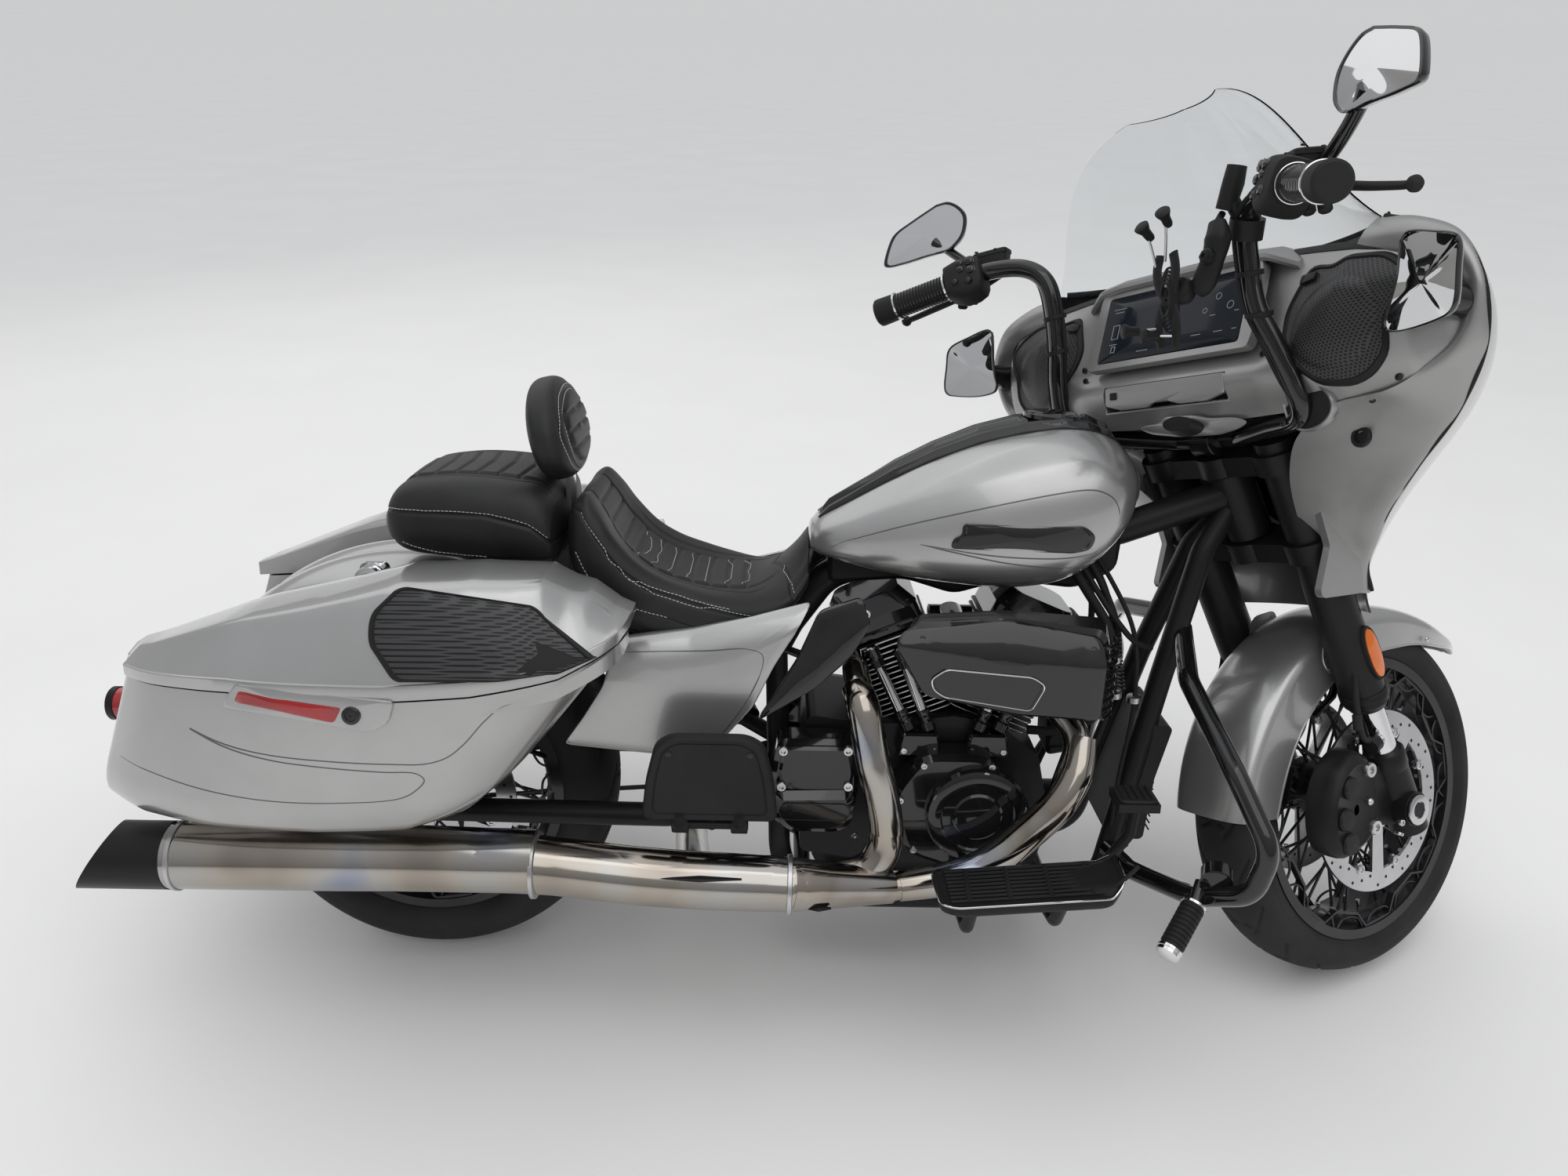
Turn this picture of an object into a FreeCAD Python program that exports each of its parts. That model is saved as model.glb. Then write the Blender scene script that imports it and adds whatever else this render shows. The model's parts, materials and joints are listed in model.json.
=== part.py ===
"""A touring cruiser motorcycle, parked on its side stand with the bars on their left stop.

Millimetres and degrees. Each piece is drawn on the upright machine with the steering straight:
+X forward, +Y to the left, +Z up, the ground at z = 0 and the rear axle above the origin.
The last step stands the machine on its tyres and its stand, and centres it on the ground.
"""
import FreeCAD, Part
import Sketcher
import math
import os

V = FreeCAD.Vector
X, Y, Z = V(1, 0, 0), V(0, 1, 0), V(0, 0, 1)

doc = FreeCAD.newDocument("touring_motorcycle")
sheet = doc.addObject("Spreadsheet::Sheet", "sizes")

# name, value, what it is
SIZES = (
    ("wheelbase", 1625, "rear axle to front axle"),
    ("rake", 26, "steering axis from the upright"),
    ("trail", 170, "steering axis ahead of the front contact"),
    ("lean", 8.5, "lean to the left on the stand"),
    ("steer_stop", 31.8, "steering lock to one side"),
    ("front_tyre_r", 319, "130/60-19"),
    ("front_tyre_w", 132, ""),
    ("front_bead_r", 241, "19 inch rim"),
    ("rear_tyre_r", 328, "180/55-18"),
    ("rear_tyre_w", 180, ""),
    ("rear_bead_r", 228.5, "18 inch rim"),
    ("front_rim_w", 117, ""),
    ("rear_rim_w", 148, ""),
    ("flange_rise", 10, "rim flange above the bead"),
    ("rim_wall", 6, ""),
    ("hub_r", 34, ""),
    ("hub_flange_r", 52, ""),
    ("spoke_r", 2.6, ""),
    ("spoke_pairs", 12, "pairs of spokes on each side"),
    ("rotor_r", 160, ""),
    ("rotor_t", 5, ""),
    ("rotor_band", 34, "width of the swept ring"),
    ("front_rotor_y", 77, "rotor's mid plane"),
    ("axle_r", 12.5, ""),
    ("run_gap", 0.05, "running clearance on a shaft, radial"),
    ("seat_gap", 0.3, "gap between seated pieces"),
    ("fork_y", 115, "half the fork spacing"),
    ("fork_ahead", 12, "fork line ahead of the axle"),
    ("fork_tube_r", 23.5, "47 mm fork"),
    ("fork_cover_r", 36, ""),
    ("fork_lug_r", 31, ""),
    ("fork_cover_up", 193, "axle to the lower end of the fork cover"),
    ("fork_lug_up", 96, "axle to the upper end of the lower leg"),
    ("fork_top_z", 955, ""),
    ("neck_r", 36, "steering head"),
    ("stem_r", 15, ""),
    ("neck_low_z", 800, ""),
    ("neck_top_z", 905, ""),
    ("clamp_t", 34, "triple clamp's thickness"),
    ("bar_r", 15.9, "32 mm bar"),
    ("grip_r", 20, ""),
    ("frame_r", 19, "main tubes"),
    ("spine_r", 26, "backbone"),
    ("rail_r", 15, "lower rails and struts"),
    ("guard_r", 16, "engine guard's tube"),
    ("crank_x", 905, "crankshaft"),
    ("crank_z", 330, ""),
    ("vee", 45, "angle between the cylinders"),
    ("barrel_r", 62, ""),
    ("fin_t", 3, ""),
    ("fin_pitch", 10, ""),
    ("barrel_fins", 11, ""),
    ("barrel_low", 165, "crank centre to the first fin"),
    ("case_y", 108, "half the crankcase's width"),
    ("header_r", 22, "exhaust pipe"),
    ("collector_r", 42, ""),
    ("muffler_r", 50, ""),
    ("muffler_y", 300, ""),
    ("muffler_z", 325, ""),
    ("bag_wall", 4, ""),
    ("lid_hinge_y", 190, ""),
    ("lid_hinge_z", 748, ""),
    ("swingarm_y", 142, ""),
    ("swingarm_x", 562, "swingarm's pivot"),
    ("pulley_r", 105, "rear pulley"),
    ("belt_y", 92, "belt's inner edge"),
    ("belt_w", 14, ""),
    ("clamp_boss_r", 44.7, "triple clamp round a leg"),
    ("stand_x", 850, "side stand's pivot"),
    ("stand_y", 162, ""),
    ("stand_z", 150, ""),
    ("stand_r", 12, ""),
    ("stand_out", 165, "foot outside the pivot"),
    ("stand_ahead", 70, "foot ahead of the pivot"),
    ("screen_t", 4, ""),
    ("fairing_t", 5, ""),
    ("door_t", 3, ""),
    ("door_gap", 1.5, ""),
    ("board_t", 22, "passenger board"),
    ("display_w", 292, ""),
    ("display_h", 109, ""),
    ("display_d", 19.8, "reaches back to the dash"),
    ("peg_r", 9, "rubber-tipped mounting pegs"),
    ("pocket_w", 252, "storage pocket's mouth"),
    ("pocket_h", 42, ""),
    ("pocket_d", 80, ""),
    ("lamp_r", 92, "headlamp"),
    ("tip_wall", 4, "muffler tip"),
    ("fender_gap", 19, "front tyre to its fender"),
    ("rotor_arms", 5, ""),
    ("cover_out", 88, "primary cover's depth"),
)
for row, (alias, value, note) in enumerate(SIZES, 1):
    sheet.set("A%d" % row, alias)
    sheet.set("B%d" % row, str(value))
    sheet.set("C%d" % row, note)
    sheet.setAlias("B%d" % row, alias)
doc.recompute()


class Sheet:
    """Reads a size by its name."""

    def __getattr__(self, name):
        return float(sheet.get(name))


s = Sheet()


class Term:
    """A length with its own formula over the sheet."""

    def __init__(self, value, formula):
        self.value, self.formula = value, formula

    def __add__(self, other):
        other = term(other)
        return Term(self.value + other.value, "(%s + %s)" % (self.formula, other.formula))

    def __sub__(self, other):
        other = term(other)
        return Term(self.value - other.value, "(%s - %s)" % (self.formula, other.formula))

    def __mul__(self, number):
        return Term(self.value * number, "%s * %.6f" % (self.formula, number))

    def __neg__(self):
        return self * -1


def term(thing):
    return thing if isinstance(thing, Term) else Term(float(thing), "(%.6f)" % thing)


class Terms:
    """Gives a size together with its name in the sheet."""

    def __getattr__(self, name):
        return Term(float(sheet.get(name)), "sizes." + name)


q = Terms()


def bind(thing, **lengths):
    """Sets properties, each tied to the sheet where its length has a formula."""
    for name, length in lengths.items():
        setattr(thing, name, term(length).value)
        if isinstance(length, Term):
            thing.setExpression(name, length.formula)
    return thing


# Helpers for outlines and solids

def mix(a, b, t):
    return a + (b - a) * t


def at_z(x_low, z):
    """A point's x on a line parallel to the steering axis, from its x at the ground."""
    return x_low - math.tan(math.radians(s.rake)) * z


def corner(before, point, after, radius):
    """Start, middle and end of the arc that rounds one corner."""
    u, w = (before - point), (after - point)
    reach = 0.46 * min(u.Length, w.Length)
    u.normalize()
    w.normalize()
    half = u.getAngle(w) / 2
    run = min(radius / math.tan(half), reach)
    bisector = (u + w).normalize()
    radius = run * math.tan(half)
    centre = point + bisector * (radius / math.sin(half))
    return point + u * run, centre - bisector * radius, point + w * run


def outline(points, radius):
    """Closed wire through the points with every corner rounded, or a sharp one where radius is 0."""
    points = [V(*p) for p in points]
    radii = radius if isinstance(radius, (list, tuple)) else [radius] * len(points)
    if not any(radii):
        return Part.makePolygon(points + points[:1])
    arcs = [corner(points[i - 1], p, points[(i + 1) % len(points)], max(radii[i], 0.5))
            for i, p in enumerate(points)]
    edges = []
    for i, (start, middle, end) in enumerate(arcs):
        edges.append(Part.Arc(start, middle, end).toShape())
        following = arcs[(i + 1) % len(arcs)][0]
        edges.append(Part.makeLine(end, following))
    return Part.Wire(edges)


def run(points, bend):
    """Open wire of straight runs joined by tangent arcs."""
    points = [V(*p) for p in points]
    edges, last = [], points[0]
    for i in range(1, len(points) - 1):
        start, middle, end = corner(points[i - 1], points[i], points[i + 1], bend)
        edges.append(Part.makeLine(last, start))
        edges.append(Part.Arc(start, middle, end).toShape())
        last = end
    edges.append(Part.makeLine(last, points[-1]))
    return Part.Wire(edges)


def tube(points, radius, bend=60):
    """Round bar along a run of points."""
    path = run(points, bend)
    first, second = V(*points[0]), V(*points[1])
    ring = Part.Wire(Part.makeCircle(radius, first, second - first))
    return path.makePipeShell([ring], True, False)


def rod(a, b, radius):
    a, b = V(*a), V(*b)
    return Part.makeCylinder(radius, (b - a).Length, a, b - a)


def cone(a, b, r_a, r_b):
    a, b = V(*a), V(*b)
    return Part.makeCone(r_a, r_b, (b - a).Length, a, b - a)


def ball(centre, radius):
    return Part.makeSphere(radius, V(*centre))


def slab(wire, step):
    """Solid of a closed flat wire moved by a step."""
    return Part.Face(wire).extrude(step)


def side_plate(points, y0, y1, radius):
    """Side view outline, rows of x and z, made solid from y0 to y1."""
    return slab(outline([(x, y0, z) for x, z in points], radius), V(0, y1 - y0, 0))


def plan_plate(points, z0, z1, radius):
    """Plan outline, rows of x and y, made solid from z0 to z1."""
    return slab(outline([(x, y, z0) for x, y in points], radius), V(0, 0, z1 - z0))


def end_plate(points, x0, x1, radius):
    """Rear view outline, rows of y and z, made solid from x0 to x1."""
    return slab(outline([(x0, y, z) for y, z in points], radius), V(x1 - x0, 0, 0))


def loft(wires, ruled=False):
    return Part.makeLoft(wires, True, ruled)


def join(*shapes):
    return shapes[0].multiFuse(list(shapes[1:])).removeSplitter()


def mirrored(shape):
    return shape.mirror(V(0, 0, 0), Y)


def pair(shape):
    """The same solid on both sides of the machine."""
    return Part.makeCompound([shape, mirrored(shape)])


# Where the upright machine's pieces go

def crown_radius(radius, width, bead):
    """Radius of the tread's arc, which ends half way down the side wall."""
    rise, half = (radius - bead) / 2, width / 2
    return (half ** 2 + rise ** 2) / (2 * rise)


def steer(angle):
    axis = V(-math.sin(math.radians(s.rake)), 0, math.cos(math.radians(s.rake)))
    foot = V(s.wheelbase + s.trail, 0, 0)
    return FreeCAD.Placement(V(0, 0, 0), FreeCAD.Rotation(axis, angle), foot)


def standing():
    """Leans the machine and sets both tyres on the ground."""
    turned = steer(s.steer_stop)
    wheels = (  # centre, axle direction, tyre radius, crown radius
        (turned.multVec(V(s.wheelbase, 0, s.front_tyre_r)), turned.Rotation.multVec(Y),
         s.front_tyre_r, crown_radius(s.front_tyre_r, s.front_tyre_w, s.front_bead_r)),
        (V(0, 0, s.rear_tyre_r), Y, s.rear_tyre_r, crown_radius(s.rear_tyre_r, s.rear_tyre_w, s.rear_bead_r)),
    )
    leaned = FreeCAD.Rotation(X, -s.lean)
    pitch = 0.0
    for _ in range(20):
        whole = FreeCAD.Rotation(Y, pitch).multiply(leaned)
        lows = []
        for centre, axle, radius, crown in wheels:
            c, n = whole.multVec(centre), whole.multVec(axle)
            lows.append(c.z - (radius - crown) * math.sqrt(1 - n.z ** 2) - crown)
        pitch += math.degrees(math.atan2(lows[0] - lows[1], s.wheelbase))
    return FreeCAD.Placement(V(0, 0, -sum(lows) / 2), whole)


STAND = standing()
STEER = STAND.multiply(steer(s.steer_stop))
GROUND = FreeCAD.Placement()
nodes = []


def keep(name, thing, where=STAND):
    """Makes a finished solid, or a document object, one named piece of the machine."""
    if isinstance(thing, Part.Shape):
        piece = doc.addObject("Part::Feature", name)
        piece.Shape = thing
    else:
        piece = thing
    piece.Label = name
    piece.Placement = where.multiply(piece.Placement)
    nodes.append(piece)
    return piece


# Sketched bodies

def sketched(body, name, plane_role, rows, depth=0):
    """Closed outline on one of the body's planes, each corner tied to the sheet; depth lifts the plane."""
    plane = [f for f in body.Origin.OriginFeatures if f.Role == plane_role][0]
    sketch = body.newObject("Sketcher::SketchObject", name)
    sketch.AttachmentSupport = (plane, [""])
    sketch.MapMode = "FlatFace"
    if depth:
        bind_offset(sketch, depth)
    rows = [(term(a), term(b)) for a, b in rows]
    for i, (u, v) in enumerate(rows):
        u2, v2 = rows[(i + 1) % len(rows)]
        sketch.addGeometry(Part.LineSegment(V(u.value, v.value, 0), V(u2.value, v2.value, 0)), False)
    for i in range(len(rows)):
        sketch.addConstraint(Sketcher.Constraint("Coincident", (i - 1) % len(rows), 2, i, 1))
    for i, row in enumerate(rows):
        for kind, length in zip(("DistanceX", "DistanceY"), row):
            index = sketch.addConstraint(Sketcher.Constraint(kind, -1, 1, i, 1, length.value))
            if "sizes" in length.formula:
                sketch.setExpression("Constraints[%d]" % index, length.formula)
    return sketch


def bind_offset(sketch, depth):
    depth = term(depth)
    sketch.AttachmentOffset = FreeCAD.Placement(V(0, 0, depth.value), FreeCAD.Rotation())
    if "sizes" in depth.formula:
        sketch.setExpression("AttachmentOffset.Base.z", depth.formula)


def spun(name, rows):
    """Body turned about the axle from its outline, rows of y and radius."""
    body = doc.addObject("PartDesign::Body", name)
    sketch = sketched(body, name + "_outline", "YZ_Plane", rows)
    turn = body.newObject("PartDesign::Revolution", name + "_turn")
    turn.Profile = sketch
    turn.ReferenceAxis = (sketch, ["H_Axis"])
    turn.Angle = 360
    return body


def padded(body, name, rows, low, high, corner_radius=0):
    """Side view outline, rows of x and z, padded from low to high across the machine, its corners rounded."""
    middle = (term(low) + high) * -0.5
    sketch = sketched(body, name + "_outline", "XZ_Plane", rows, middle)
    pad = body.newObject("PartDesign::Pad", name + "_pad")
    pad.Profile = sketch
    pad.Midplane = True
    bind(pad, Length=term(high) - low)
    if corner_radius:
        doc.recompute()
        across = []
        for i, edge in enumerate(pad.Shape.Edges, 1):
            ends = [v.Point for v in edge.Vertexes]
            spots = [(term(a).value, term(b).value) for a, b in rows]
            if len(ends) == 2 and abs(ends[0].x - ends[1].x) + abs(ends[0].z - ends[1].z) < 0.001 and \
                    any(abs(ends[0].x - x) + abs(ends[0].z - z) < 0.01 for x, z in spots):
                across.append("Edge%d" % i)
        rounds = body.newObject("PartDesign::Fillet", name + "_corners")
        rounds.Base = (pad, across)
        bind(rounds, Radius=corner_radius)
    return body


def plate_body(name, rows, low, high, corner_radius=0):
    return padded(doc.addObject("PartDesign::Body", name), name, rows, low, high, corner_radius)


def primitive(kind, name, place=None, **lengths):
    piece = bind(doc.addObject("Part::" + kind, name), **lengths)
    if place:
        piece.Placement = place
    return piece


def across(x, y, z):
    """Placement of a cylinder that runs along +Y from a point."""
    return FreeCAD.Placement(V(x, y, z), FreeCAD.Rotation(Z, Y))


def lengthwise(x, y, z):
    """Placement of a cylinder that runs along +X from a point."""
    return FreeCAD.Placement(V(x, y, z), FreeCAD.Rotation(Z, X))


def fused(name, *pieces):
    whole = doc.addObject("Part::MultiFuse", name)
    whole.Shapes = list(pieces)
    whole.Refine = False
    return whole


def less(name, base, tool):
    rest = doc.addObject("Part::Cut", name)
    rest.Base, rest.Tool = base, tool
    return rest


def group(name, *pieces):
    whole = doc.addObject("Part::Compound", name)
    whole.Links = list(pieces)
    return whole


def other_side(piece):
    """Mirror image of a document object across the machine's middle plane."""
    image = doc.addObject("Part::Mirroring", piece.Name + "_image")
    image.Source = piece
    image.Base, image.Normal = V(0, 0, 0), Y
    return image


def solid_of(name, shape):
    """A shape that no sketch or primitive fits, as a document object."""
    piece = doc.addObject("Part::Feature", name)
    piece.Shape = shape
    return piece


# Wheels, drawn about their own axle and then moved to it

FRONT_HUB = FreeCAD.Placement(V(s.wheelbase, 0, s.front_tyre_r), FreeCAD.Rotation())
REAR_HUB = FreeCAD.Placement(V(0, 0, s.rear_tyre_r), FreeCAD.Rotation())


def tyre(radius, width, bead, rim_w):
    """Round crown, side walls that draw in to the rim's flanges."""
    side, rise = width / 2, (radius - bead) / 2
    foot, flange = rim_w / 2 - 5 - s.seat_gap, bead + s.flange_rise + s.seat_gap
    middle = (side + 1.2, mix(flange, radius - rise, 0.72))
    wire = Part.Wire([
        Part.Arc(V(0, -side, radius - rise), V(0, 0, radius), V(0, side, radius - rise)).toShape(),
        Part.Arc(V(0, side, radius - rise), V(0, *middle), V(0, foot, flange)).toShape(),
        Part.makeLine(V(0, foot, flange), V(0, foot - 4, bead + s.seat_gap)),
        Part.makeLine(V(0, foot - 4, bead + s.seat_gap), V(0, 4 - foot, bead + s.seat_gap)),
        Part.makeLine(V(0, 4 - foot, bead + s.seat_gap), V(0, -foot, flange)),
        Part.Arc(V(0, -foot, flange), V(0, -middle[0], middle[1]), V(0, -side, radius - rise)).toShape(),
    ])
    return Part.Face(wire).revolve(V(0, 0, 0), Y, 360)


def rim(name, bead, width):
    """Well, bead seats and flanges turned in one."""
    half, rise, wall = width * 0.5, q.flange_rise, q.rim_wall
    rows = ((-half, bead + rise), (-half + 5, bead + rise), (-half + 8, bead), (-half + 24, bead - 2),
            (-half + 32, bead - 18), (half - 32, bead - 18), (half - 24, bead - 2), (half - 8, bead),
            (half - 5, bead + rise), (half, bead + rise), (half, bead - wall - 1),
            (half - 20, bead - wall - 4), (half - 28, bead - 18 - wall),
            (-half + 28, bead - 18 - wall), (-half + 20, bead - wall - 4), (-half, bead - wall - 1))
    return spun(name, rows)


def zigzag(bead, width):
    """Ring of trapezium teeth that stiffens the rim on one side."""
    teeth, depth, bar = 8, 26, 5
    spots = []
    for i in range(teeth):
        start = 360 / teeth * i
        for share, level in ((0.0, 0), (0.36, 0), (0.50, 1), (0.86, 1)):
            spots.append((start + share * 360 / teeth, bead - s.rim_wall - level * depth))
    wire = [V(r * math.cos(math.radians(a)), 0, r * math.sin(math.radians(a))) for a, r in spots]
    outer = Part.Face(Part.makePolygon(wire + wire[:1]))
    inner = Part.Face(Part.makePolygon([p * (1 - bar / p.Length) for p in wire + wire[:1]]))
    band = outer.cut(inner).extrude(V(0, 12, 0))
    return band.translated(V(0, width / 2 - 14, 0))


def spokes(bead, half_hub, half_rim):
    """Laced pairs from the hub's flanges to the rim."""
    rods = []
    count = int(s.spoke_pairs)
    swing = math.radians(52)
    for side in (-1, 1):
        for i in range(count):
            at = 2 * math.pi * (i + 0.25 * side) / count
            for lead in (-1, 1):
                inner = at
                outer = at + lead * swing / 2 + lead * math.pi / count / 2
                y_hub = side * (half_hub + 3 * lead)
                a = V(math.cos(inner) * (s.hub_flange_r - 6), y_hub, math.sin(inner) * (s.hub_flange_r - 6))
                r_out = bead - 18 - s.rim_wall / 2
                b = V(math.cos(outer) * r_out, side * half_rim, math.sin(outer) * r_out)
                rods.append(Part.makeCylinder(s.spoke_r, (b - a).Length, a, b - a))
    return rods


def hub(name, half, flange_y):
    """Barrel with a spoke flange on each side, turned in one round the axle's bore."""
    bore, barrel, flange = q.axle_r + q.run_gap, q.hub_r, q.hub_flange_r
    rows = ((-half, bore), (half, bore), (half, barrel), (flange_y + 6, barrel), (flange_y + 6, flange),
            (flange_y - 6, flange), (flange_y - 6, barrel), (-flange_y + 6, barrel), (-flange_y + 6, flange),
            (-flange_y - 6, flange), (-flange_y - 6, barrel), (-half, barrel))
    return spun(name, rows)


def wheel(name, bead, width, half_hub, flange_y, *more):
    """Rim and hub joined by laced spokes, with a stiffening ring on each side."""
    flange = term(flange_y)
    lacing = spokes(bead.value, flange.value, width.value / 2 - 34)
    rings = zigzag(bead.value, width.value)
    laced = solid_of(name + "_spokes", Part.makeCompound(lacing))
    ringed = solid_of(name + "_rings", pair(rings))
    return fused(name, rim(name + "_rim", bead, width), hub(name + "_hub", half_hub, flange), laced, ringed, *more)


def rotor(name, y):
    """Disc round the hub with a window between each two of its arms, which leaves the swept ring."""
    half, bore = q.rotor_t * 0.5, q.hub_r + q.seat_gap
    body = spun(name, ((y - half, bore), (y + half, bore), (y + half, q.rotor_r), (y - half, q.rotor_r)))
    turn = body.Tip
    ring, step = q.rotor_r - q.rotor_band, 360 / s.rotor_arms
    rows = []
    for share in (-1, -0.6, -0.2, 0.2, 0.6, 1):
        a = math.radians(90 + share * (step / 2 - 7))
        rows.append((ring * math.cos(a), ring * math.sin(a)))
    for share in (1, 0, -1):
        a = math.radians(90 + share * (step / 2 - 15))
        rows.append((q.hub_flange_r * math.cos(a), q.hub_flange_r * math.sin(a)))
    sketch = sketched(body, name + "_window", "XZ_Plane", rows, y * -1)
    pocket = body.newObject("PartDesign::Pocket", name + "_pocket")
    pocket.Profile = sketch
    pocket.Midplane = True
    bind(pocket, Length=q.rotor_t * 3)
    doc.recompute()
    fan = body.newObject("PartDesign::PolarPattern", name + "_windows")
    fan.Originals = [pocket]
    fan.Axis = ([f for f in body.Origin.OriginFeatures if f.Role == "Y_Axis"][0], [""])
    fan.Angle = 360
    fan.Occurrences = int(s.rotor_arms)
    fan.setExpression("Occurrences", "sizes.rotor_arms")
    body.Tip = fan
    doc.recompute()
    if not body.Shape.Volume < turn.Shape.Volume:
        raise RuntimeError("the windows cut nothing")
    return body


def set_at(shape, place):
    moved = shape.copy()
    moved.Placement = place.multiply(moved.Placement)
    return moved


REAR_HALF_HUB, REAR_ROTOR_Y = 116, -94
keep("front_tyre", set_at(tyre(s.front_tyre_r, s.front_tyre_w, s.front_bead_r, s.front_rim_w), FRONT_HUB), STEER)
keep("front_wheel", wheel("front_wheel", q.front_bead_r, q.front_rim_w, q.front_rotor_y + 3.5, 52),
     STEER.multiply(FRONT_HUB))
front_rotor = rotor("front_rotor", -q.front_rotor_y)
keep("front_rotors", group("front_rotors", front_rotor, other_side(front_rotor)), STEER.multiply(FRONT_HUB))
keep("rear_tyre", set_at(tyre(s.rear_tyre_r, s.rear_tyre_w, s.rear_bead_r, s.rear_rim_w), REAR_HUB))
pulley = spun("rear_pulley", ((q.belt_y, q.hub_r - 1), (q.belt_y + q.belt_w + 2, q.hub_r - 1),
                              (q.belt_y + q.belt_w + 2, q.pulley_r), (q.belt_y, q.pulley_r)))
keep("rear_wheel", wheel("rear_wheel", q.rear_bead_r, q.rear_rim_w, REAR_HALF_HUB, 60, pulley),
     STAND.multiply(REAR_HUB))
keep("rear_rotor", rotor("rear_rotor", term(REAR_ROTOR_Y)), STAND.multiply(REAR_HUB))

# Fork, clamps and front axle

fork_low_x = s.wheelbase + s.fork_ahead + math.tan(math.radians(s.rake)) * s.front_tyre_r
axis_x = s.wheelbase + s.trail
fork_lug_z = s.front_tyre_r + s.fork_lug_up
fork_cover_z = s.front_tyre_r + s.fork_cover_up


def on_fork(y, z):
    return (at_z(fork_low_x, z), y, z)


def on_axis(z):
    return (at_z(axis_x, z), 0, z)


down = V(math.sin(math.radians(s.rake)), 0, -math.cos(math.radians(s.rake)))
clamp_low_z = s.neck_low_z - s.clamp_t / 2 - 2
clamp_top_z = s.neck_top_z + s.clamp_t / 2 + 2


def clamp(z, thickness):
    """Bridge that holds both fork legs at right angles to the steering axis."""
    a, b, c = V(*on_fork(-s.fork_y, z)), V(*on_fork(s.fork_y, z)), V(*on_axis(z))
    bosses = [Part.makeCylinder(s.clamp_boss_r, thickness, p - down * (thickness / 2) * -1, down * -1)
              for p in (a, b)]
    middle = Part.makeCylinder(44, thickness, c + down * (thickness / 2), down * -1)
    bar = Part.makeBox(70, 2 * s.fork_y, thickness, V(-35, -s.fork_y, -thickness / 2))
    bar.Placement = FreeCAD.Placement(c, FreeCAD.Rotation(Y, -s.rake)).multiply(bar.Placement)
    return bar.multiFuse(bosses + [middle])


stem = rod(on_axis(clamp_low_z - 10), on_axis(clamp_top_z + 14), s.stem_r)
covers = [rod(on_fork(y, fork_cover_z), on_fork(y, s.fork_top_z), s.fork_cover_r) for y in (-s.fork_y, s.fork_y)]
uppers = clamp(clamp_low_z, s.clamp_t).multiFuse([clamp(clamp_top_z, s.clamp_t), stem] + covers)
inner_holes = [rod(on_fork(y, fork_cover_z - 10), on_fork(y, fork_cover_z + 120), s.fork_tube_r + s.seat_gap)
               for y in (-s.fork_y, s.fork_y)]
lamp_z, lamp_back = 900, s.wheelbase - 110
stays = [rod((s.wheelbase - 258, y, lamp_z + 16), (lamp_back - s.seat_gap, y, lamp_z + 16), 11) for y in (-55, 55)]
uppers = uppers.multiFuse(stays)
keep("fork_uppers", uppers.cut(Part.makeCompound(inner_holes)), STEER)

tube_low, tube_top = V(*on_fork(-s.fork_y, fork_lug_z - 40)), V(*on_fork(-s.fork_y, fork_cover_z + 119))
fork_tube = primitive("Cylinder", "fork_tube", FreeCAD.Placement(tube_low, FreeCAD.Rotation(Z, tube_top - tube_low)),
                      Radius=q.fork_tube_r, Height=(tube_top - tube_low).Length)
keep("fork_tubes", group("fork_tubes", fork_tube, other_side(fork_tube)), STEER)


def by_axle(rows):
    """Side view rows, x and z, measured from the front axle."""
    return [(s.wheelbase + x, s.front_tyre_r + z) for x, z in rows]


def from_axle(rows, *columns):
    """Rows whose named columns are x measured from the front axle."""
    return [tuple(v + s.wheelbase if i in columns else v for i, v in enumerate(row)) for row in rows]


def fork_lug():
    """Lower leg with its axle clamp and the caliper's mounting ears."""
    y = -s.fork_y
    leg = rod(on_fork(y, s.front_tyre_r - 42), on_fork(y, fork_lug_z), s.fork_lug_r)
    clamp_block = Part.makeCylinder(30, 54, V(s.wheelbase, y - 36, s.front_tyre_r), Y)
    web = side_plate(by_axle(((25, 61), (-85, 83), (-105, 66), (-80, -19), (-25, -29), (25, -19))), y - 10, y + 2, 12)
    socket = rod(on_fork(y, fork_lug_z - 41), on_fork(y, fork_lug_z + 5), s.fork_tube_r + s.seat_gap)
    return leg.multiFuse([clamp_block, web]).cut(socket)


def fender_bracket():
    """Plate up the inner side of a leg, ahead of the fork cover, with a pad against the fender's side."""
    y = -s.fork_y + s.fork_lug_r
    strap = side_plate(by_axle(((-40, 55), (-8, 62), (-17, 150), (-37, 272), (-70, 270), (-52, 160))), y - 3, y + 2.5, 9)
    pad = Part.makeCylinder(10, -76 - s.seat_gap - y - 2, V(s.wheelbase - 58, y + 2, s.front_tyre_r + 258), Y)
    return strap.fuse(pad)


axle = Part.makeCylinder(s.axle_r, 2 * s.fork_y + 82, V(s.wheelbase, -s.fork_y - 41, s.front_tyre_r), Y)
lug = fork_lug().fuse(fender_bracket())
keep("fork_lugs", join(lug, mirrored(lug), axle), STEER)


def caliper():
    """Radial caliper astride the rotor, behind the leg."""
    y = -s.front_rotor_y
    body = side_plate(by_axle(((-220, -19), (-215, 53), (-193, 101), (-145, 121), (-105, 96), (-95, 11), (-125, -44),
                               (-185, -57))), y - 46, y + 14, 14)
    slot = Part.makeCylinder(s.rotor_r + 4, s.rotor_t + 3, V(s.wheelbase, y - s.rotor_t / 2 - 1.5, s.front_tyre_r), Y)
    wheel_room = Part.makeCylinder(s.front_bead_r + 20, 60, V(s.wheelbase, y + 17, s.front_tyre_r), Y)
    return body.cut(slot).cut(wheel_room)


keep("front_calipers", pair(caliper().cut(fork_lug())), STEER)

# Front fender: a trough swept about the axle, with a pointed tip and a deep tail

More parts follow.
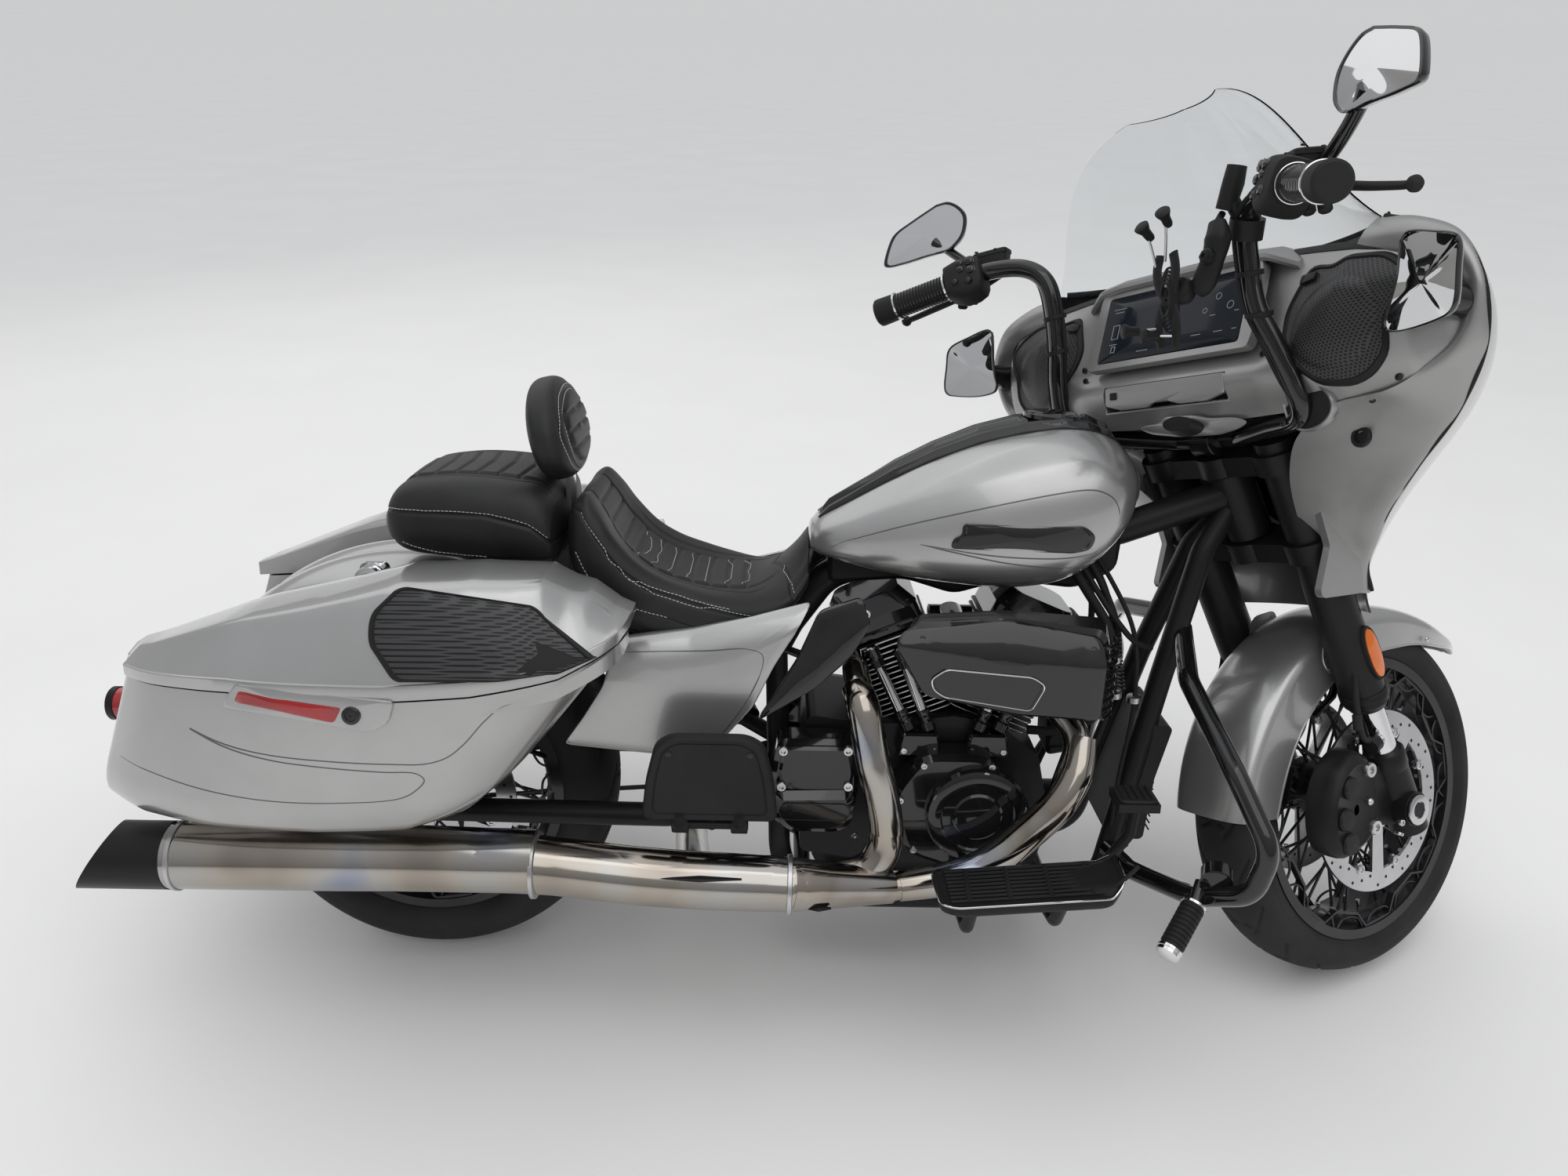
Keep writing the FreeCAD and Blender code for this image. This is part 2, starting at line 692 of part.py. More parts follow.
def fender_section(angle, inner_r, half_w, side_depth, turn=0.0):
    """Trough across the tyre at an angle about the axle: crown arc, sides and the wall between."""
    wall = 2.5
    c, sn = math.cos(math.radians(angle)), math.sin(math.radians(angle))

    def spot(y, r):
        return V(s.wheelbase + r * c, y, s.front_tyre_r + r * sn)

    crown = half_w * 0.42
    edges = []
    rows = []
    for w, r in ((half_w, inner_r + wall), (half_w - wall, inner_r)):
        rows.append((spot(-w, r - side_depth), spot(-w, r - crown), spot(-w * 0.72, r - crown * 0.25), spot(0, r),
                     spot(w * 0.72, r - crown * 0.25), spot(w, r - crown), spot(w, r - side_depth)))
    out, inn = rows
    edges += [Part.makeLine(out[0], out[1]), Part.Arc(out[1], out[2], out[3]).toShape(),
              Part.Arc(out[3], out[4], out[5]).toShape(), Part.makeLine(out[5], out[6]),
              Part.makeLine(out[6], inn[6]), Part.makeLine(inn[6], inn[5]),
              Part.Arc(inn[5], inn[4], inn[3]).toShape(), Part.Arc(inn[3], inn[2], inn[1]).toShape(),
              Part.makeLine(inn[1], inn[0]), Part.makeLine(inn[0], out[0])]
    return Part.Wire(edges)


FENDER = (  # angle about the axle, rise over the fender's gap, half width, depth of the sides
    (36, 54, 22, 12), (44, 34, 48, 26), (58, 14, 68, 50), (80, 2, 75, 74), (105, 0, 76, 88),
    (130, 0, 76, 96), (155, 0, 76, 98), (178, 4, 75, 92))
fender_low_r = s.front_tyre_r + s.fender_gap
keep("front_fender", loft([fender_section(angle, fender_low_r + rise, w, deep) for angle, rise, w, deep in FENDER]),
     STEER)

# Fairing

FAIRING = from_axle((  # height, nose x, half width, x at the ends
    (664, -69, 150, -117), (745, -50, 168, -151), (830, -35, 245, -213), (900, -27, 330, -267), (970, -25, 415, -311),
    (1050, -35, 470, -343), (1130, -65, 478, -363), (1195, -125, 440, -363), (1240, -195, 330, -340)), 1, 3)


def bow(z, nose, half_w, end_x, inset):
    """Plan section of the shell: an outer bow and an inner one, closed at both ends."""
    def bend(cut):
        w, tip = half_w - cut * 0.8, nose - cut
        return (V(end_x, -w, z), V(mix(end_x, tip, 0.72), -w * 0.66, z), V(tip, 0, z),
                V(mix(end_x, tip, 0.72), w * 0.66, z), V(end_x, w, z))
    a, b = bend(0), bend(inset)
    return Part.Wire([Part.Arc(a[0], a[1], a[2]).toShape(), Part.Arc(a[2], a[3], a[4]).toShape(),
                      Part.makeLine(a[4], b[4]), Part.Arc(b[4], b[3], b[2]).toShape(),
                      Part.Arc(b[2], b[1], b[0]).toShape(), Part.makeLine(b[0], a[0])])


shell = loft([bow(*row, s.fairing_t) for row in FAIRING])
lamp_hole = Part.makeCylinder(s.lamp_r + 1, 240, V(s.wheelbase - 145, 0, lamp_z), X)
shell = shell.cut(lamp_hole)
nacelle = side_plate(from_axle(((-273, 700), (-247, 780), (-295, 900), (-253, 930), (-185, 800), (-163, 702)), 0),
                     -s.fork_y - s.clamp_boss_r - s.seat_gap - 12, -s.fork_y - s.clamp_boss_r - s.seat_gap, 12)
keep("fairing_outer", Part.makeCompound([shell, nacelle, mirrored(nacelle)]), STEER)

lamp_barrel = primitive("Cylinder", "lamp_barrel", lengthwise(lamp_back, 0, lamp_z), Radius=q.lamp_r, Height=90)
lamp_front = primitive("Sphere", "lamp_front", FreeCAD.Placement(V(s.wheelbase - 200, 0, lamp_z), FreeCAD.Rotation()),
                       Radius=190)
headlamp = doc.addObject("Part::MultiCommon", "headlamp")
headlamp.Shapes = [lamp_barrel, lamp_front]
keep("headlamp", headlamp, STEER)

# Inner fairing: panels from edge to edge, with a pocket for small things behind its door

BAR = from_axle(((-315, 60, 956), (-369, 190, 986), (-446, 211, 1087), (-477, 212, 1247), (-520, 296, 1274),
                 (-640, 468, 1224)), 0)
INNER = (  # half width, then x from the front axle and z of the rear face from low to high
    (-462, ((-333, 1058), (-339, 1075), (-339, 1105), (-335, 1122))),
    (-400, ((-367, 1000), (-389, 1040), (-393, 1130), (-367, 1178))),
    (-300, ((-381, 988), (-407, 1034), (-403, 1140), (-363, 1200))),
    (-180, ((-393, 982), (-425, 1040), (-393, 1090), (-353, 1214))),
    (0, ((-399, 975), (-427, 1040), (-393, 1090), (-353, 1218))),
)


def dash_section(y, rows):
    skin = 26
    rows = from_axle(rows, 0)
    back = [(x + skin, z) for x, z in reversed(rows)]
    points = [(x, y, z) for x, z in rows] + [(x, y, z) for x, z in back]
    return Part.makePolygon([V(*p) for p in points + points[:1]])


dash_rows = [dash_section(y, rows) for y, rows in INNER]
half_dash = loft(dash_rows, True)
pocket_z = 1031
pocket_x = s.wheelbase - 413
housing = Part.makeBox(s.pocket_d + 6, s.pocket_w + 8, s.pocket_h + 8,
                       V(pocket_x, -s.pocket_w / 2 - 4, pocket_z - s.pocket_h / 2 - 4))
pocket = Part.makeBox(s.pocket_d + 60, s.pocket_w, s.pocket_h,
                      V(pocket_x - 58, -s.pocket_w / 2, pocket_z - s.pocket_h / 2))
dash = join(half_dash, mirrored(half_dash), housing).cut(pocket)
bar_middle = (s.wheelbase - 315, 0, 956)
bar_hole = tube([bar_middle] + BAR[:4], s.bar_r + 5, 55)
dash = dash.cut(Part.makeCompound([bar_hole, mirrored(bar_hole), shell]))
dash = max(dash.Solids, key=lambda solid: solid.Volume)
door_w, door_h = q.pocket_w - q.door_gap * 2, q.pocket_h - q.door_gap * 2
door_x = pocket_x - 9
DOOR_HINGE = (door_x + s.door_t, 0, pocket_z + door_h.value / 2 + 0.2)
hinge_pins = [Part.makeCylinder(1.5, s.door_gap + 1 - s.seat_gap, V(DOOR_HINGE[0], y, DOOR_HINGE[2]), Y)
              for y in (-s.pocket_w / 2 - 1, s.pocket_w / 2 - s.door_gap + s.seat_gap)]
dash = dash.multiFuse(hinge_pins)
keep("fairing_inner", dash, STEER)

door_at = FreeCAD.Placement(V(door_x, -door_w.value / 2, pocket_z - door_h.value / 2), FreeCAD.Rotation())
keep("storage_door", primitive("Box", "storage_door", door_at, Length=q.door_t, Width=door_w, Height=door_h), STEER)

screen_rows = from_axle(((1240 + s.seat_gap, -197, 325, -341), (1330, -253, 258, -379), (1440, -335, 172, -407),
                         (1478, -363, 90, -393)), 1, 3)
keep("windscreen", loft([bow(*row, s.screen_t) for row in screen_rows]), STEER)

tilt = FreeCAD.Placement(V(s.wheelbase - 397, 0, 1150), FreeCAD.Rotation(Y, 18))
corner_at = FreeCAD.Placement(V(0, -s.display_w / 2, -s.display_h / 2 - 7), FreeCAD.Rotation())
keep("display", primitive("Box", "display", tilt.multiply(corner_at), Length=q.display_d, Width=q.display_w,
                          Height=q.display_h + 14), STEER)

# Handlebar, controls, mirrors

half_bar = tube([bar_middle] + BAR, s.bar_r, 55)
risers = rod((bar_middle[0] - 2, 60, 952), (bar_middle[0] + 8, 60, 932), 18)
bars = join(half_bar, mirrored(half_bar), risers, mirrored(risers)).cut(uppers)
keep("handlebar", bars, STEER)


def along_bar(a, b, t):
    return V(mix(a[0], b[0], t), mix(a[1], b[1], t), mix(a[2], b[2], t))


def sleeve(t0, t1, radius):
    """Sleeve round the outer end of the bar, closed past its end."""
    a, b = along_bar(BAR[4], BAR[5], t0), along_bar(BAR[4], BAR[5], t1)
    room = V(*BAR[5]) - a
    solid = Part.makeCylinder(radius, (b - a).Length, a, b - a)
    return solid.cut(Part.makeCylinder(s.bar_r + s.seat_gap, room.Length + 2 * s.seat_gap, a - room * 0.002, room))


def hand_control():
    """Grip, switch pod, and the lever on its perch ahead of the bar."""
    grip = sleeve(0.38, 1.02, s.grip_r)
    pod = sleeve(0.14, 0.37, 30)
    a = along_bar(BAR[4], BAR[5], 0.1)
    tip = along_bar(BAR[4], BAR[5], 0.92)
    lever = tube((tuple(a + V(34, -4, 12)), tuple(a + V(66, 10, 8)), tuple(tip + V(88, -20, 0)), tuple(tip + V(62, 26, -6))),
                 6, 40)
    perch = rod(tuple(a + V(16, 0, 8)), tuple(a + V(50, 2, 12)), 11)
    perch = perch.cut(Part.makeCylinder(s.bar_r + s.seat_gap, 400, V(*BAR[5]), V(*BAR[4]) - V(*BAR[5])))
    return [grip, pod, join(perch, lever)]


solids = hand_control()
keep("hand_controls", Part.makeCompound(solids + [mirrored(p) for p in solids]), STEER)

MIRROR = ((-78, -52), (-88, -10), (-30, 48), (42, 52), (74, 30), (76, -14), (40, -30))


def bar_mirror():
    """Five-sided mirror on a stalk from the lever's perch."""
    head = end_plate(MIRROR, -7, 7, 14)
    turn = FreeCAD.Placement(V(s.wheelbase - 529, 452, 1372), FreeCAD.Rotation(Z, -32).multiply(FreeCAD.Rotation(X, 8)))
    head.Placement = turn.multiply(head.Placement)
    stalk = tube(from_axle(((-479, 330, 1292), (-467, 372, 1318), (-527, 451, 1371)), 0), 8, 20)
    foot = rod(*from_axle(((-497, 318, 1283), (-475, 334, 1294)), 0), 11)
    return join(head, stalk, foot)


def fairing_mirror():
    """Rounded glass on the fairing's edge."""
    head = end_plate(((-44, -66), (-60, -20), (-46, 56), (30, 62), (52, 40), (46, -40), (10, -70)), -5, 5, 22)
    turn = FreeCAD.Placement(V(s.wheelbase - 447, 446, 1126), FreeCAD.Rotation(Z, -52).multiply(FreeCAD.Rotation(X, 0)))
    head.Placement = turn.multiply(head.Placement)
    foot = rod(*from_axle(((-435, 442, 1110), (-363, 440, 1096)), 0), 12)
    return join(head, foot)


bar_glass = bar_mirror().cut(Part.makeCompound(solids[1:]))
edge_glass = fairing_mirror().cut(Part.makeCompound([dash, shell]))
edge_glass = max(edge_glass.Solids, key=lambda solid: solid.Volume)
keep("mirrors", Part.makeCompound([bar_glass, mirrored(bar_glass), edge_glass, mirrored(edge_glass)]), STEER)

spots = from_axle(((-485, -226, 1195), (-505, -196, 1215), (-513, -186, 1222), (-519, -150, 1170), (-521, -142, 1160),
                   (-527, -140, 1156), (-533, -138, 1156)), 0)
rise = along_bar(BAR[2], BAR[3], 0.68)
rise_dir = V(BAR[3][0] - BAR[2][0], BAR[2][1] - BAR[3][1], BAR[3][2] - BAR[2][2]).normalize()
ring = Part.makeCylinder(s.bar_r + 8, 26, V(rise.x, -rise.y, rise.z) - rise_dir * 13, rise_dir)
holder = [ring, rod((rise.x - 16, -rise.y + 12, rise.z), spots[2], 10), ball(spots[2], 14)]
arm = [rod(spots[2], spots[3], 11), ball(spots[4], 14)]
plate = Part.makeCylinder(22, 10, V(*spots[5]), V(-1, 0.1, 0.1))
px = spots[6][0]
fingers = [tube((spots[6], (px - 6, -138 + a, 1156 + b * 0.8), (px - 22, -138 + a * 1.3, 1156 + b)), 3.5, 12)
           for a, b in ((38, 62), (-38, 62), (34, -62), (-34, -62))]
ring_hole = Part.makeCylinder(s.bar_r + s.seat_gap, 60, V(rise.x, -rise.y, rise.z) - rise_dir * 30, rise_dir)
phone = join(*(holder + arm + [plate] + fingers)).cut(ring_hole)
keep("phone_mount", max(phone.Solids, key=lambda solid: solid.Volume), STEER)

# Side stand: its leg turns on a pin under the left rail, and its foot is flat on the ground

pivot_at = V(s.stand_x, s.stand_y, s.stand_z)
foot_at = STAND.multVec(pivot_at) + V(s.stand_ahead, s.stand_out, 0)
foot_at.z = 11
foot_in_bike = STAND.inverse().multVec(foot_at)
leg_down = (foot_in_bike - pivot_at).normalize()
leg_up = V(-1, 0.10, 0.02).normalize()
stand_axis = leg_down.cross(leg_up).normalize()
boss_half = 13
boss = Part.makeCylinder(17, 2 * boss_half, pivot_at - stand_axis * boss_half, stand_axis)
leg = Part.makeCylinder(s.stand_r, (foot_in_bike - pivot_at).Length - 4, pivot_at, leg_down)
foot_pad = plan_plate(((foot_at.x - 34, foot_at.y - 16), (foot_at.x + 30, foot_at.y - 20),
                       (foot_at.x + 44, foot_at.y + 18), (foot_at.x - 30, foot_at.y + 26)), 0, 12, 10)
foot_pad.Placement = STAND.inverse()
pin_hole = Part.makeCylinder(9 + s.run_gap, 60, pivot_at - stand_axis * 30, stand_axis)
keep("side_stand", join(boss, leg, foot_pad).cut(pin_hole))
to_rail = V(0, -1, 0)
to_rail = (to_rail - stand_axis * to_rail.dot(stand_axis)).normalize()
tab_low = boss_half + s.seat_gap
tab = slab(outline([(-17, -16, 0), (17, -16, 0), (24, 40, 0), (-24, 40, 0)], 10), V(0, 0, 8))
tab.Placement = FreeCAD.Placement(pivot_at - stand_axis * (tab_low + 8),
                                  FreeCAD.Rotation(to_rail.cross(stand_axis), to_rail, stand_axis, "ZYX"))
pin = Part.makeCylinder(9, tab_low + 8 + boss_half + 2, pivot_at - stand_axis * (tab_low + 8), stand_axis)

# Frame

NECK_LOW, NECK_TOP = on_axis(s.neck_low_z), on_axis(s.neck_top_z)
RAIL = ((610, 40, 602), (480, 110, 622), (250, 150, 622), (-20, 150, 634))


def seat_rails(radius):
    rail = tube(RAIL, radius, 60)
    return [rail, mirrored(rail)]


def spine_tube(radius):
    return tube((on_axis(872), (1180, 0, 800), (790, 0, 744), (690, 0, 714), (628, 0, 626), (610, 0, 590)), radius, 90)


spine = spine_tube(s.spine_r)
cradle = tube((on_axis(864), (1318, 26, 772), (1262, 62, 560), (1180, 105, 196), (1090, 118, 158), (650, 118, 158),
               (618, 78, 222), (612, 60, 420), (606, 36, 606)), s.frame_r, 70)
strut = tube(((606, 62, 380), (470, 110, 440), (330, 150, 560), (250, 150, 622)), s.rail_r, 60)
lug = side_plate(((s.swingarm_x - 34, 300), (s.swingarm_x - 34, 350), (600, 370), (600, 280)), 52, 66, 8)
cross = [Part.makeCylinder(s.rail_r, 236, V(x, -118, z), Y) for x, z in ((1090, 158), (660, 158))]
cross.append(Part.makeCylinder(s.rail_r, 300, V(250, -150, 622), Y))
head = rod(NECK_LOW, NECK_TOP, s.neck_r)
halves = [cradle, strut, lug]
bore = rod(on_axis(s.neck_low_z - 20), on_axis(s.neck_top_z + 20), s.stem_r + s.run_gap)
pivot_hole = Part.makeCylinder(24 + s.seat_gap, 400, V(s.swingarm_x, -200, 325), Y)
pegs = []
for x, y, z, end in ((120, 146, 624, 200), (0, 132.2, 632, 200), (400, 124, 622, 188), (400, 130, 500, 188)):
    pegs.append(Part.makeCylinder(s.peg_r, end - s.seat_gap - y, V(x, y, z), Y))
pegs.append(rod((610, 46, 596), (659, 209, 639), 7))
halves += pegs
tunnel_w = 112
tank_bar = Part.makeCylinder(10, tunnel_w - 2 * s.seat_gap, V(1000, -tunnel_w / 2 + s.seat_gap, 774), Y)
cross.append(tank_bar)
frame = head.multiFuse([spine] + halves + [mirrored(p) for p in halves] + seat_rails(s.rail_r) + cross + [pin, tab])
frame = frame.cut(Part.makeCompound([bore, pivot_hole]))
keep("main_frame", frame)

# Engine

cx, cz = q.crank_x, q.crank_z
case_rows = [(cx + x, cz + z) for x, z in ((-165, -108), (155, -115), (180, -30), (150, 100), (80, 156), (0, 170),
                                           (-85, 156), (-165, 150))]
box_rows = [(cx + x, cz + z) for x, z in ((-253, -90), (-135, -106), (-135, 152), (-245, 168), (-253, 110))]
pan_rows = [(cx + x, cz + z) for x, z in ((-215, -140), (115, -140), (135, -98), (-235, -98))]
block = plate_body("engine_block", case_rows, -q.case_y, q.case_y, 19)
gears = plate_body("gear_case", box_rows, -q.case_y, q.belt_y - 6, 16)
pan = plate_body("oil_pan", pan_rows, -88, 88, 8)
oil_filter = primitive("Cylinder", "oil_filter", lengthwise(s.crank_x + 155, 0, s.crank_z - 40), Radius=38, Height=62)
mounts = []
for i, (x, y) in enumerate(((700, -122), (985, -122), (700, 80), (985, 80))):
    at = FreeCAD.Placement(V(x, y, 158 + s.frame_r + s.seat_gap), FreeCAD.Rotation())
    mounts.append(primitive("Box", "engine_mount_%d" % i, at, Length=38, Width=42, Height=24))
doc.recompute()
engine_block, gearbox = block.Shape, gears.Shape
keep("crankcase", fused("crankcase", block, gears, pan, oil_filter, *mounts))


def along(angle, dist, y=0.0):
    """A point on a cylinder's axis, from the crankshaft."""
    a = math.radians(angle)
    return V(s.crank_x + dist * math.sin(a), y, s.crank_z + dist * math.cos(a))


def fin(angle, dist, half_l, half_w, thick, radius=22):
    wire = outline([(-half_l, -half_w, 0), (half_l, -half_w, 0), (half_l, half_w, 0), (-half_l, half_w, 0)], radius)
    plate = slab(wire, V(0, 0, thick))
    plate.Placement = FreeCAD.Placement(along(angle, dist), FreeCAD.Rotation(Y, angle))
    return plate


cylinders, rockers, pushrods = [], [], []
for angle in (-s.vee / 2, s.vee / 2):
    barrel_top = s.barrel_low + s.barrel_fins * s.fin_pitch
    stack = [fin(angle, s.barrel_low + i * s.fin_pitch, 76, 82, s.fin_t) for i in range(int(s.barrel_fins))]
    stack += [fin(angle, barrel_top + i * s.fin_pitch, 80, 88, s.fin_t + 1) for i in range(5)]
    core = Part.makeCylinder(s.barrel_r, barrel_top + 50 - 135, along(angle, 135), along(angle, 1) - along(angle, 0))
    block = core.multiFuse(stack)
    cylinders.append(block.cut(engine_block).cut(gearbox))
    head_low = barrel_top + 5 * s.fin_pitch
    rocker = loft([fin_wire for fin_wire in [
        outline([(x * k, y * k, z) for x, y in ((-78, -84), (78, -84), (78, 84), (-78, 84))], 24)
        for k, z in ((1.0, 0.0), (0.98, 34.0), (0.72, 62.0))]], True)
    rocker.Placement = FreeCAD.Placement(along(angle, head_low + s.seat_gap), FreeCAD.Rotation(Y, angle))
    rockers.append(rocker)
    for offset in (-17, 17):
        low = along(0, 0) + V(math.sin(math.radians(angle)) * 152 + offset, -s.case_y - 14, 152)
        top = along(angle, barrel_top + 36, -97) + V(offset * 1.4, 0, 0)
        pushrods.append(Part.makeCylinder(9, (top - low).Length, low, top - low))
keep("cylinders", Part.makeCompound(cylinders))
keep("rocker_boxes", Part.makeCompound(rockers))
keep("pushrod_tubes", Part.makeCompound(pushrods))

y0 = -q.case_y - q.seat_gap
cam_rows = [(cx + x, cz + z) for x, z in ((105, -30), (95, 70), (55, 125), (-55, 125), (-105, 50), (-75, -60), (15, -90))]
cam_cover = plate_body("cam_cover", cam_rows, y0 - 62, y0, 30)
cam_round = primitive("Cylinder", "cam_round", across(s.crank_x + 40, y0.value - 80, s.crank_z + 22), Radius=78, Height=22)
tappets = []
for i, lift_x in enumerate((-57, 57)):
    rows = [(cx + lift_x + x, cz + z) for x, z in ((-38, 110), (38, 110), (30, 147), (-30, 147))]
    tappets.append(plate_body("tappet_block_%d" % i, rows, y0 - 30, y0, 6))
gear_rows = [(cx + x, cz + z) for x, z in ((-299, -8), (-167, -8), (-157, 70), (-167, 148), (-293, 148), (-305, 70))]
gear_cover = plate_body("gear_cover", gear_rows, y0 - 78, y0, 16)
primary_rows = [(cx + x, cz + z) for x, z in ((-255, -94), (95, -84), (157, 0), (105, 98), (-235, 138), (-301, 70),
                                              (-305, -40))]
primary = plate_body("primary_cover", primary_rows, q.case_y + q.seat_gap, q.case_y + q.cover_out, 40)
cam_side = fused("cam_side", cam_cover, cam_round, *tappets)
keep("engine_covers", group("engine_covers", cam_side, gear_cover, primary))


def air_box(y, rows, radius=14):
    return outline([(x, y, z) for x, z in rows], radius)


air_cleaner = loft([
    air_box(-137, ((850, 585), (1060, 560), (1090, 690), (880, 690))),
    air_box(-200, ((812, 622), (1128, 556), (1122, 716), (835, 716))),
    air_box(-262, ((822, 628), (1100, 566), (1092, 700), (842, 704)))], True)
throat_x, throat_z = s.crank_x, s.crank_z + 310
throat = Part.makeCylinder(27, 140, V(throat_x, -140, throat_z), Y)
manifold = Part.makeCylinder(21, 68, V(throat_x - 34, 0, throat_z), X).cut(Part.makeCompound(cylinders))
keep("air_cleaner", air_cleaner.multiFuse([throat, manifold]))

# Exhaust: two headers, a collector, and a muffler on each side

side_y = -s.case_y - 122
port_y = -88 - s.seat_gap
front_pipe = tube(((1062, port_y, 540), (1062, -130, 540), (1104, -186, 500), (1062, side_y, 400), (985, side_y, 315),
                   (900, side_y - 10, 268), (800, side_y - 26, 262)), s.header_r, 60)
rear_pipe = tube(((737, port_y, 588), (737, -130, 588), (742, -200, 570), (768, side_y, 440), (790, side_y - 4, 350),
                  (762, side_y - 12, 285), (690, side_y - 30, 272)), s.header_r, 50)
my, mz = -s.muffler_y, s.muffler_z
collector = cone((800, side_y - 26, 262), (634, my, 291), s.header_r + 4, s.collector_r - 1)
run_pipe = tube(((640, my, 290), (520, my, 296), (236, my, mz - 6)), s.collector_r, 200)
crossover = tube(((560, my + 20, 284), (478, my + 90, 226), (456, 0, 196), (440, s.muffler_y - 90, 226),
                  (360, s.muffler_y, 300), (240, s.muffler_y, mz - 6)), 30, 80)


def can(side):
    return Part.makeCylinder(s.muffler_r, 236 + 330, V(-330, side * s.muffler_y, mz), X)


keep("exhaust_headers", Part.makeCompound([front_pipe.cut(collector), rear_pipe.cut(collector)]))
right_side = collector.multiFuse([run_pipe, can(-1)])
left_side = crossover.cut(right_side).fuse(can(1))
left_side = max(left_side.Solids, key=lambda solid: solid.Volume)
keep("mufflers", Part.makeCompound([right_side, left_side]))


def tip(side, name):
    """Slash-cut sleeve on the muffler's end."""
    y = side * s.muffler_y
    barrel = primitive("Cylinder", name + "_barrel", lengthwise(-480, y, mz), Radius=q.muffler_r + 3, Height=150)
    mouth = primitive("Cylinder", name + "_mouth", lengthwise(-482, y, mz), Radius=q.muffler_r - q.tip_wall, Height=130)
    seat = primitive("Cylinder", name + "_seat", lengthwise(-331, y, mz), Radius=q.muffler_r + q.seat_gap, Height=40)
    knife = primitive("Box", name + "_slash", FreeCAD.Placement(V(-444, y, mz), FreeCAD.Rotation(Y, 34))
                      .multiply(FreeCAD.Placement(V(-200, -100, -100), FreeCAD.Rotation())),
                      Length=200, Width=200, Height=200)
    return less(name, barrel, fused(name + "_room", mouth, seat, knife))


keep("muffler_tips", group("muffler_tips", tip(-1, "tip_right"), tip(1, "tip_left")))

# Tank, with the dark console on its crest

TANK = (  # x, underside, widest height, crest, half width, half width of the crest
    (668, 772, 790, 812, 62, 30), (740, 748, 790, 862, 112, 62), (860, 728, 800, 930, 150, 84),
    (990, 718, 818, 976, 170, 98), (1086, 750, 846, 980, 168, 96), (1152, 818, 876, 952, 136, 76),
    (1182, 862, 890, 922, 92, 52))


def tank_section(x, low, wide, crest, half_w, half_top, rise=0.0):
    k = 0.78
    points = ((-half_w * k, low), (half_w * k, low), (half_w, wide), (half_w * 0.93, mix(wide, crest, 0.62)),
              (half_top * 0.8, crest), (-half_top * 0.8, crest), (-half_w * 0.93, mix(wide, crest, 0.62)),
              (-half_w, wide))
    return outline([(x, y, z + rise) for y, z in points], half_w * 0.30)


tank = loft([tank_section(*row) for row in TANK])
tunnel = Part.makeBox(700, tunnel_w, 250, V(560, -tunnel_w / 2, 600)).fuse(rod((560, 0, 790), (1230, 0, 850), 50))
keep("fuel_tank", tank.cut(tunnel))

console = loft([outline([(x, y, z + dz) for y, dz in ((-w, -50), (w, -50), (w, 4), (w * 0.5, 9), (-w * 0.5, 9), (-w, 4))], 3)
                for x, w, z in ((690, 20, 822), (760, 34, 872), (880, 46, 937), (1000, 54, 976), (1080, 50, 984),
                                (1140, 30, 976))])
cap = Part.makeCylinder(42, 34, V(1040, 0, 964), Z)
keep("tank_console", console.fuse(cap).cut(tank))

# Seats

RIDER = (  # x, underside, crest at the edge, crest in the middle, half width
    (272, 742, 846, 852, 140), (302, 700, 856, 866, 158), (352, 660, 792, 806, 170), (430, 636, 738, 742, 172),
    (520, 640, 712, 716, 168), (600, 664, 704, 730, 140), (656, 705, 735, 790, 84))


def seat_section(x, low, edge, crest, half_w):
    points = ((-half_w * 0.86, low), (half_w * 0.86, low), (half_w, mix(low, edge, 0.45)), (half_w * 0.86, edge),
              (half_w * 0.3, crest), (-half_w * 0.3, crest), (-half_w * 0.86, edge), (-half_w, mix(low, edge, 0.45)))
    return outline([(x, y, z) for y, z in points], half_w * 0.2)


clear_rails = Part.makeCompound(seat_rails(s.rail_r + s.seat_gap) + [spine_tube(s.spine_r + s.seat_gap)])
keep("rider_seat", loft([seat_section(*row) for row in RIDER]).cut(clear_rails))
PILLION = ((-24, 800, 838, 842, 112), (10, 778, 878, 886, 146), (120, 765, 886, 896, 158), (222, 752, 876, 888, 158),
           (254, 752, 852, 862, 150))
keep("pillion_seat", loft([seat_section(*row) for row in PILLION]))


def pad_section(z, x0, x1, half_w):
    return outline([(x0, -half_w, z), (x1, -half_w, z), (x1 + 6, 0, z), (x1, half_w, z), (x0, half_w, z), (x0 - 8, 0, z)],
                   min(18, half_w * 0.3))


backrest = loft([pad_section(884, 252, 284, 84), pad_section(908, 236, 290, 124), pad_section(960, 222, 288, 140),
                 pad_section(1010, 208, 262, 126), pad_section(1040, 206, 240, 86)])
keep("backrest_pad", backrest)

# Side covers and the dark deflectors ahead of them

SIDE_COVER = ((352, 652), (660, 716), (622, 648), (572, 552), (500, 462), (270, 480), (340, 585))
DEFLECTOR = ((672, 712), (738, 738), (752, 700), (694, 608), (590, 562), (640, 640))
side_cover = plate_body("side_cover", SIDE_COVER, -206, -188, 8)
keep("side_covers", group("side_covers", side_cover, other_side(side_cover)))
deflector = plate_body("mid_deflector", DEFLECTOR, -232, -212, 8)
keep("mid_deflectors", group("mid_deflectors", deflector, other_side(deflector)))

# Saddlebags: a side view, a plan and an end view meet in each; the wall is the same three views drawn in

